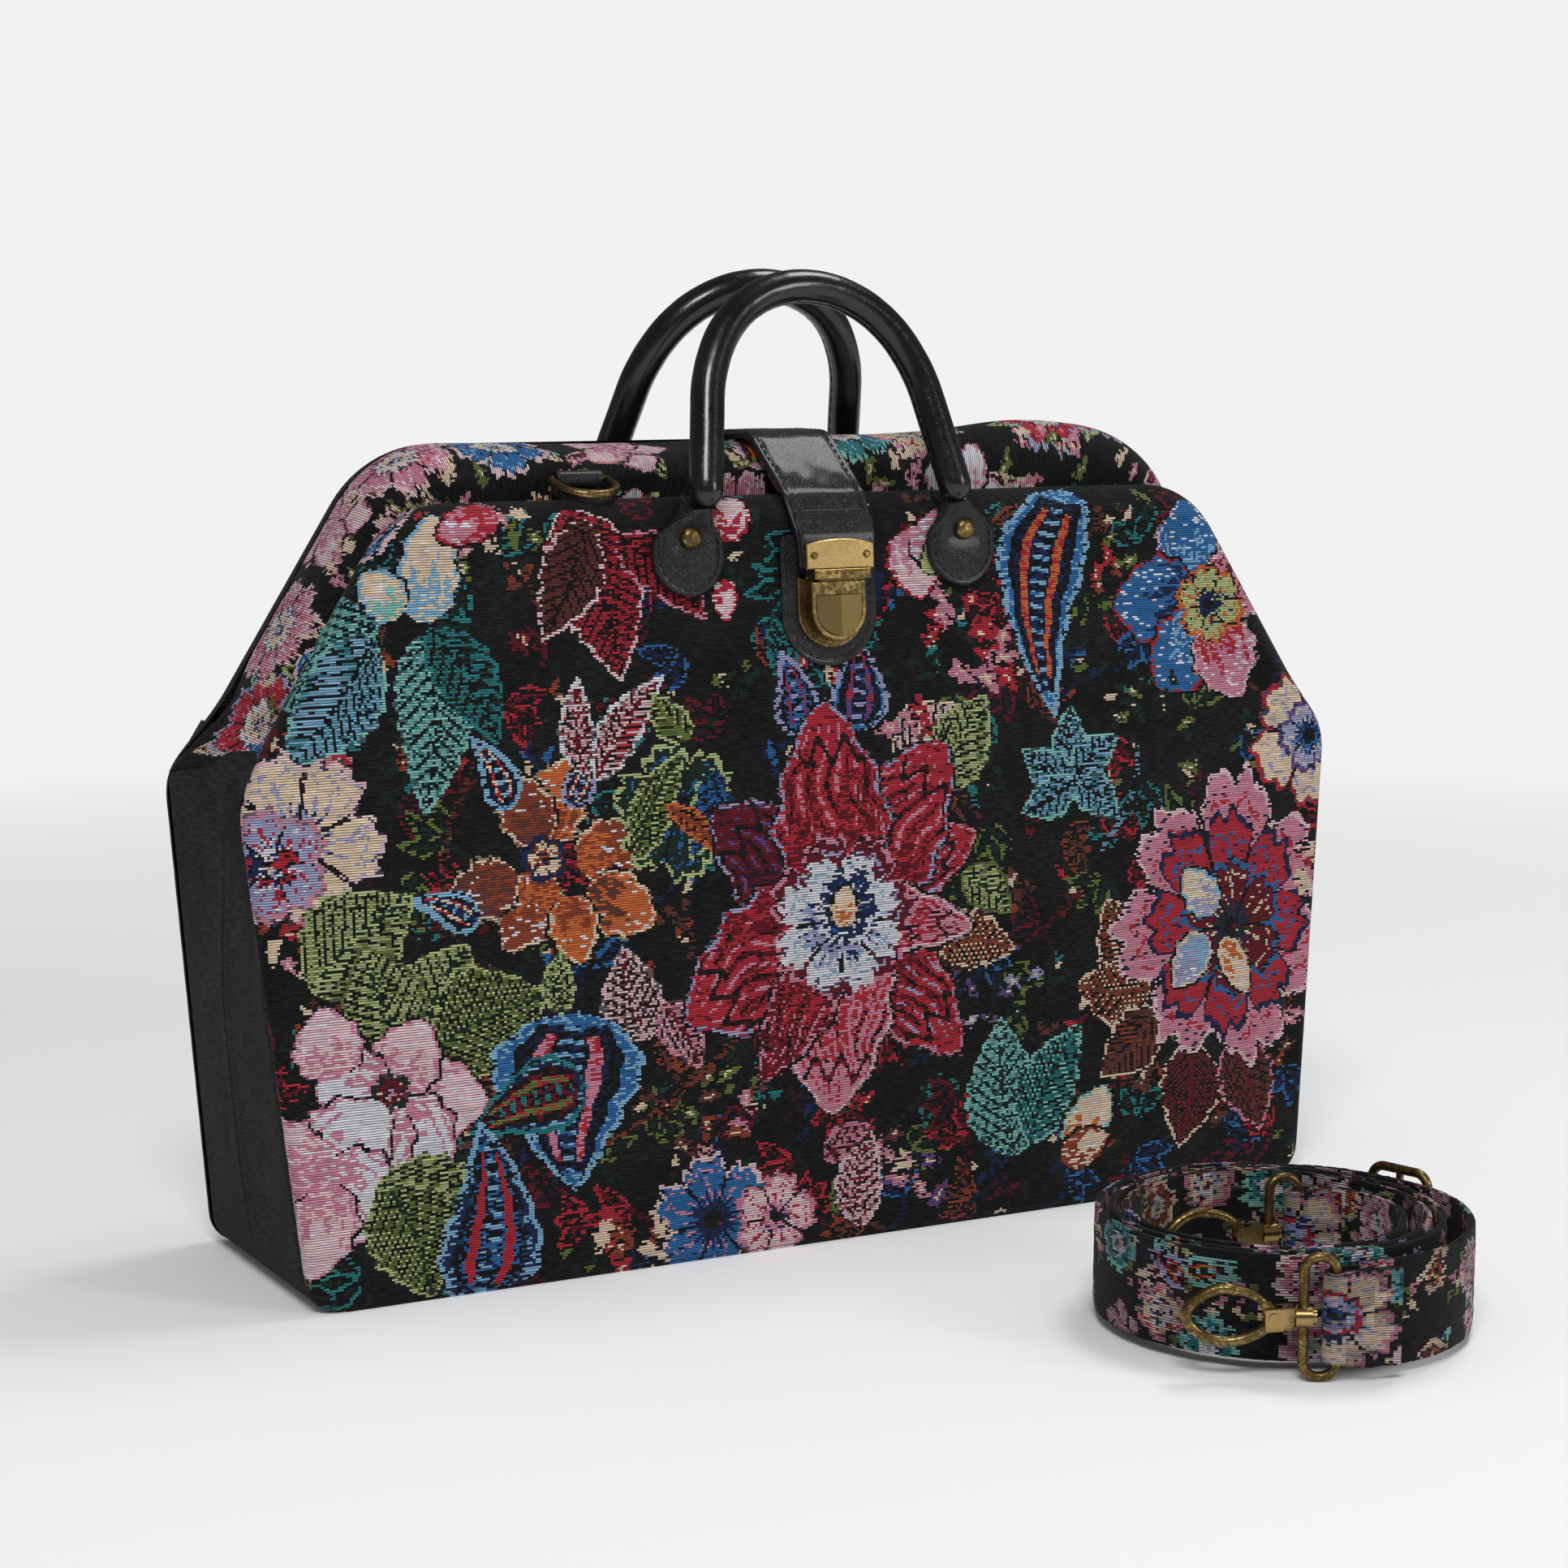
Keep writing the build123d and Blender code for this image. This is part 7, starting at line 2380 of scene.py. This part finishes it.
@dataclass
class Inside:
    """Folded pleats at the mouth's ends, the lining tub and the padded divider."""

    finishes: Finishes
    room: float = 193.3
    floor_z: float = 6.6
    tub_top: float = 180.0
    divider_half: float = 192.0
    divider_y: float = 17.0
    divider_low: float = 7.9
    divider_top: float = 165.0

    def pleat(self, label: str, way: int) -> None:
        """Make one pleat as two leaves that meet in an inward fold.

        Args:
            label: the CAD node.
            way: -1 for the left side, 1 for the right.
        """
        z = np.linspace(187.5, 247.0, 44)[:, None]
        outer = 183.4 + (159.8 - 183.4) * (z - 209.0) / 38.0
        start = outer - 7.5 * (1 - smooth(187.5, 200, z))
        deep = 25.0 * smooth(186, 212, z)
        lip = front_y(z) + 20.5 - 1.6 * smooth(205, 250, z)
        for leaf, y_out, half, pivot in (
            ("front", lip, "front_half", (-0.04, 0.186, -0.04, 0.203)),
            ("back", np.full_like(z, -14.6), "back_half", (0.040, 0.186, 0.0162, 0.2272)),
        ):
            f = np.linspace(0, 1, 22)[None, :]
            middle = (front_y(z) + 20.5 - 14.6) / 2
            x = start - deep * f + 0.5 * ripple(z + 0 * f, f * 26, 24.0, 110 + way)
            y = y_out + (middle - y_out) * smooth(0, 1, f) + 0.5 * np.sin(z / 7.0 + f * 3)
            points = np.stack([way * x, y + 0 * x, z + 0 * x], -1).reshape(-1, 3)
            cloth = np.stack([f * 26 + 0 * z, z + 0 * f, 0 * (z + f)], -1).reshape(-1, 3)
            piece = Skin.mesh(f"{label}_{leaf}", points, Skin.grid(44, 22), self.finishes.chenille, cloth)
            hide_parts(label)
            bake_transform(piece)

    def tub(self) -> None:
        """Make the lining's tub as one stretched band with its floor."""
        z = np.linspace(self.floor_z, self.tub_top, 60)
        corner = np.linspace(0, math.pi / 2, 9)
        rows = []
        for level in z:
            front, back = front_y(level) + 6.2, back_y(level) - 6.2
            ring = []
            for sx, sy, begin in ((1, -1, -math.pi / 2), (1, 1, 0), (-1, 1, math.pi / 2), (-1, -1, math.pi)):
                cx, cy = sx * (self.room - 9), (front + 9) if sy < 0 else (back - 9)
                ring += [(cx + 9 * math.cos(begin + c), cy + 9 * math.sin(begin + c)) for c in corner]
            ring = np.array(ring + ring[:1])
            step = run_length(ring)
            even = np.linspace(0, step[-1], 241)[:-1]
            rows.append(np.stack([np.interp(even, step, ring[:, k]) for k in (0, 1)] + [0 * even + level], 1))
        walls = np.array(rows)
        wrinkle = 0.35 * ripple(np.arange(240)[None] * 4.0, walls[..., 2], 60.0, 120)
        walls[..., 1] += wrinkle * (1 - np.abs(walls[..., 1]) / 400)
        faces = Skin.grid(60, 240, close_cols=True)[:, ::-1]
        xs, ys = np.linspace(-self.room + 3, self.room - 3, 90), np.linspace(-45.6, 45.6, 24)
        floor_x, floor_y = np.meshgrid(xs, ys, indexing="ij")
        floor = np.stack([floor_x, floor_y, self.floor_z + 0.2 + 0 * floor_x], -1).reshape(-1, 3)
        points, faces = Skin.merge([(walls.reshape(-1, 3), faces), (floor, Skin.grid(90, 24)[:, ::-1])])
        cloth = np.stack([points[:, 0], points[:, 2] + points[:, 1], 0 * points[:, 0]], 1)
        piece = Skin.mesh("lining_sheet", points, faces, self.finishes.lining, cloth)
        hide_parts("lining")
        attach(piece, "bag")

    def divider(self) -> None:
        """Make the divider as a quilted pad."""
        low, top = self.divider_low, self.divider_top
        z = np.concatenate([[low, 8.4, 9.4], np.linspace(12, 162, 60), [163.6, 164.6, top]])
        across = np.linspace(-1, 1, 90)
        rows = []
        for level in z:
            over = max(0.0, level - 147.0)
            half = self.divider_half - (18.0 - math.sqrt(max(18.0**2 - over**2, 0.0)))
            rim = min(1.0, (level - low) / 4.0, (top - level) / 4.0)
            edge = np.clip((1 - np.abs(across)) * half / 4.0, 0, 1)
            quilt = 0.35 * np.exp(-((np.mod(across * half + level, 46.0) - 23.0) ** 2) / 2.0)
            bulge = np.sqrt(np.clip(1 - (1 - np.minimum(rim, edge)) ** 2, 0, 1))
            thick = 2.9 * bulge + 0.05 - quilt * (edge >= 1) * (rim >= 1)
            front = np.stack([across * half, self.divider_y - thick, 0 * across + level], 1)
            back = np.stack([across * half, self.divider_y + thick, 0 * across + level], 1)[::-1]
            rows.append(np.concatenate([front, back]))
        points = np.array(rows).reshape(-1, 3)
        faces = Skin.grid(len(z), 180, close_cols=True)
        caps = []
        for row in (0, len(z) - 1):
            for k in range(89):
                quad = [row * 180 + k, row * 180 + k + 1, row * 180 + 178 - k, row * 180 + 179 - k]
                caps.append(quad[::-1] if row == 0 else quad)
        cloth = np.stack([points[:, 0], points[:, 2], 0 * points[:, 0]], 1)
        faces = np.concatenate([faces, np.array(caps)])
        piece = Skin.mesh("divider_pad", points, faces, self.finishes.lining, cloth)
        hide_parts("laptop_divider")
        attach(piece, "bag")

    def build(self) -> None:
        """Make all of it."""
        self.pleat("left_pleat", -1)
        self.pleat("right_pleat", 1)
        self.tub()
        self.divider()


class Stage:
    """Floor, light and camera."""

    LENS = 76.16
    SHIFT = (0.00596, 0.01287)
    TURN, TILT = math.radians(28.198459), math.radians(8.232886)
    AIM, FAR = Vector((0, 0, 0.150)), 1.2056632
    BACKGROUND = (0.885, 0.885, 0.885, 1)
    SURROUND = (0.96, 0.98, 1.0, 1)
    LAMPS = (
        ("key_box", (-0.9, -1.5, 1.9), (0, 0, 0.15), 27, (0.8, 0.55)),
        ("top_box", (0.66, 0.05, 1.52), (0, 0, 0.25), 7.0, (0.6, 0.4)),
        ("right_box", (1.2, -1.8, 0.8), (0, -0.03, 0.2), 9, (0.35, 0.7)),
    )

    @classmethod
    def floor(cls) -> None:
        """Pale floor that turns into the plain background far from the bag."""
        g = Graph.start("stage_floor")
        bpy.ops.mesh.primitive_circle_add(vertices=96, radius=30, fill_type="NGON")
        floor = bpy.context.object
        floor.name = "stage_floor"
        floor.data.materials.clear()
        floor.data.materials.append(g.material)
        g.fill(g.shader, {"Base Color": (0.93, 0.93, 0.93, 1), "Roughness": 1.0, "Specular IOR Level": 0.0})
        far = g.node("VectorMath", {0: g.place()}, operation="LENGTH").outputs["Value"]
        glow = g.node("Emission", {0: cls.BACKGROUND, 1: 1.0}).outputs[0]
        seen = g.node("LightPath").outputs["Is Camera Ray"]
        fade = g.times(g.ramp(far, 0.5, 1.3), seen)
        mix = g.node("MixShader", {0: fade, 1: g.shader.outputs[0], 2: glow})
        g.fill(g.tree.nodes["Material Output"], {0: mix.outputs[0]})

    @classmethod
    def world(cls, strength: float = 0.36) -> None:
        """Pale surround.

        Args:
            strength: light that it gives.
        """
        world = bpy.data.worlds.new("studio")
        bpy.context.scene.world = world
        world.use_nodes = True
        g = Graph(world.node_tree)
        g.tree.nodes.clear()
        path = g.node("LightPath")
        light, dim, seen = (
            g.node("Background", {0: colour, 1: level}).outputs[0]
            for colour, level in (
                (cls.SURROUND, strength), (cls.SURROUND, strength * 0.3), (cls.BACKGROUND, 1.0)
            )
        )
        soft = g.node("MixShader", {0: path.outputs["Is Glossy Ray"], 1: light, 2: dim}).outputs[0]
        mix = g.node("MixShader", {0: path.outputs["Is Camera Ray"], 1: soft, 2: seen}).outputs[0]
        g.node("OutputWorld", {0: mix})

    @staticmethod
    def lamp(
        name: str,
        at: tuple[float, float, float],
        aim: tuple[float, float, float],
        power: float,
        size: Point,
    ) -> None:
        """Soft box.

        Args:
            name: its name.
            at: where it stands.
            aim: what it points at.
            power: watts.
            size: width and height.
        """
        data = bpy.data.lights.new(name, "AREA")
        data.shape = "RECTANGLE"
        data.size, data.size_y = size
        data.energy = power
        lamp = bpy.data.objects.new(name, data)
        lamp.location = at
        lamp.rotation_euler = (Vector(aim) - Vector(at)).to_track_quat("-Z", "Y").to_euler()
        bpy.context.scene.collection.objects.link(lamp)

    @classmethod
    def camera(cls) -> None:
        """Camera at the photograph's viewing angle."""
        data = bpy.data.cameras.new("camera")
        data.lens = cls.LENS
        data.sensor_width = 36.0
        data.sensor_fit = "HORIZONTAL"
        data.shift_x, data.shift_y = cls.SHIFT
        data.clip_start, data.clip_end = 0.05, 100.0
        camera = bpy.data.objects.new("camera", data)
        flat = math.cos(cls.TILT)
        way = Vector((math.sin(cls.TURN) * flat, math.cos(cls.TURN) * flat, -math.sin(cls.TILT)))
        camera.location = cls.AIM - way * cls.FAR
        camera.rotation_euler = way.to_track_quat("-Z", "Y").to_euler()
        bpy.context.scene.collection.objects.link(camera)
        bpy.context.scene.camera = camera

    @classmethod
    def build(cls) -> None:
        """Set up the whole stage."""
        cls.floor()
        cls.world()
        cls.camera()
        for lamp in cls.LAMPS:
            cls.lamp(*lamp)
        bpy.context.scene.view_settings.view_transform = "Standard"


def dress_nodes(finishes: Finishes) -> None:
    """Give the CAD nodes that are shown as they are their finishes.

    Args:
        finishes: the finishes.
    """
    slots = {
        "antique_brass": finishes.brass,
        "frame_steel": finishes.steel,
        "leather": finishes.grained_leather,
        "lining_cloth": finishes.lining,
        "board": finishes.board,
        "tapestry": finishes.tapestry,
        "plain_cloth": finishes.chenille,
        "strap_cloth": finishes.tapestry,
    }
    for name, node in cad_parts.items():
        kind = node.data.materials[0].name.split(".")[0] if node.data.materials else ""
        material = slots.get(kind, finishes.lining)
        node.data.materials.clear()
        node.data.materials.append(material)
        log.info("node %s: %s", name, kind)


def main() -> None:
    """Build every piece in order."""
    logging.basicConfig(level=logging.INFO, format="%(message)s")
    finishes = Finishes.build()
    dress_nodes(finishes)
    for group in (
        FrontShell, BackShell, HoodBand, Gussets, Handles, Tabs, Inside, Closure, RingStrips, ShoulderStrap
    ):
        group(finishes).build()
        log.info("built %s", group.__name__)
    Stage.build()


if __name__ == "__main__":
    main()
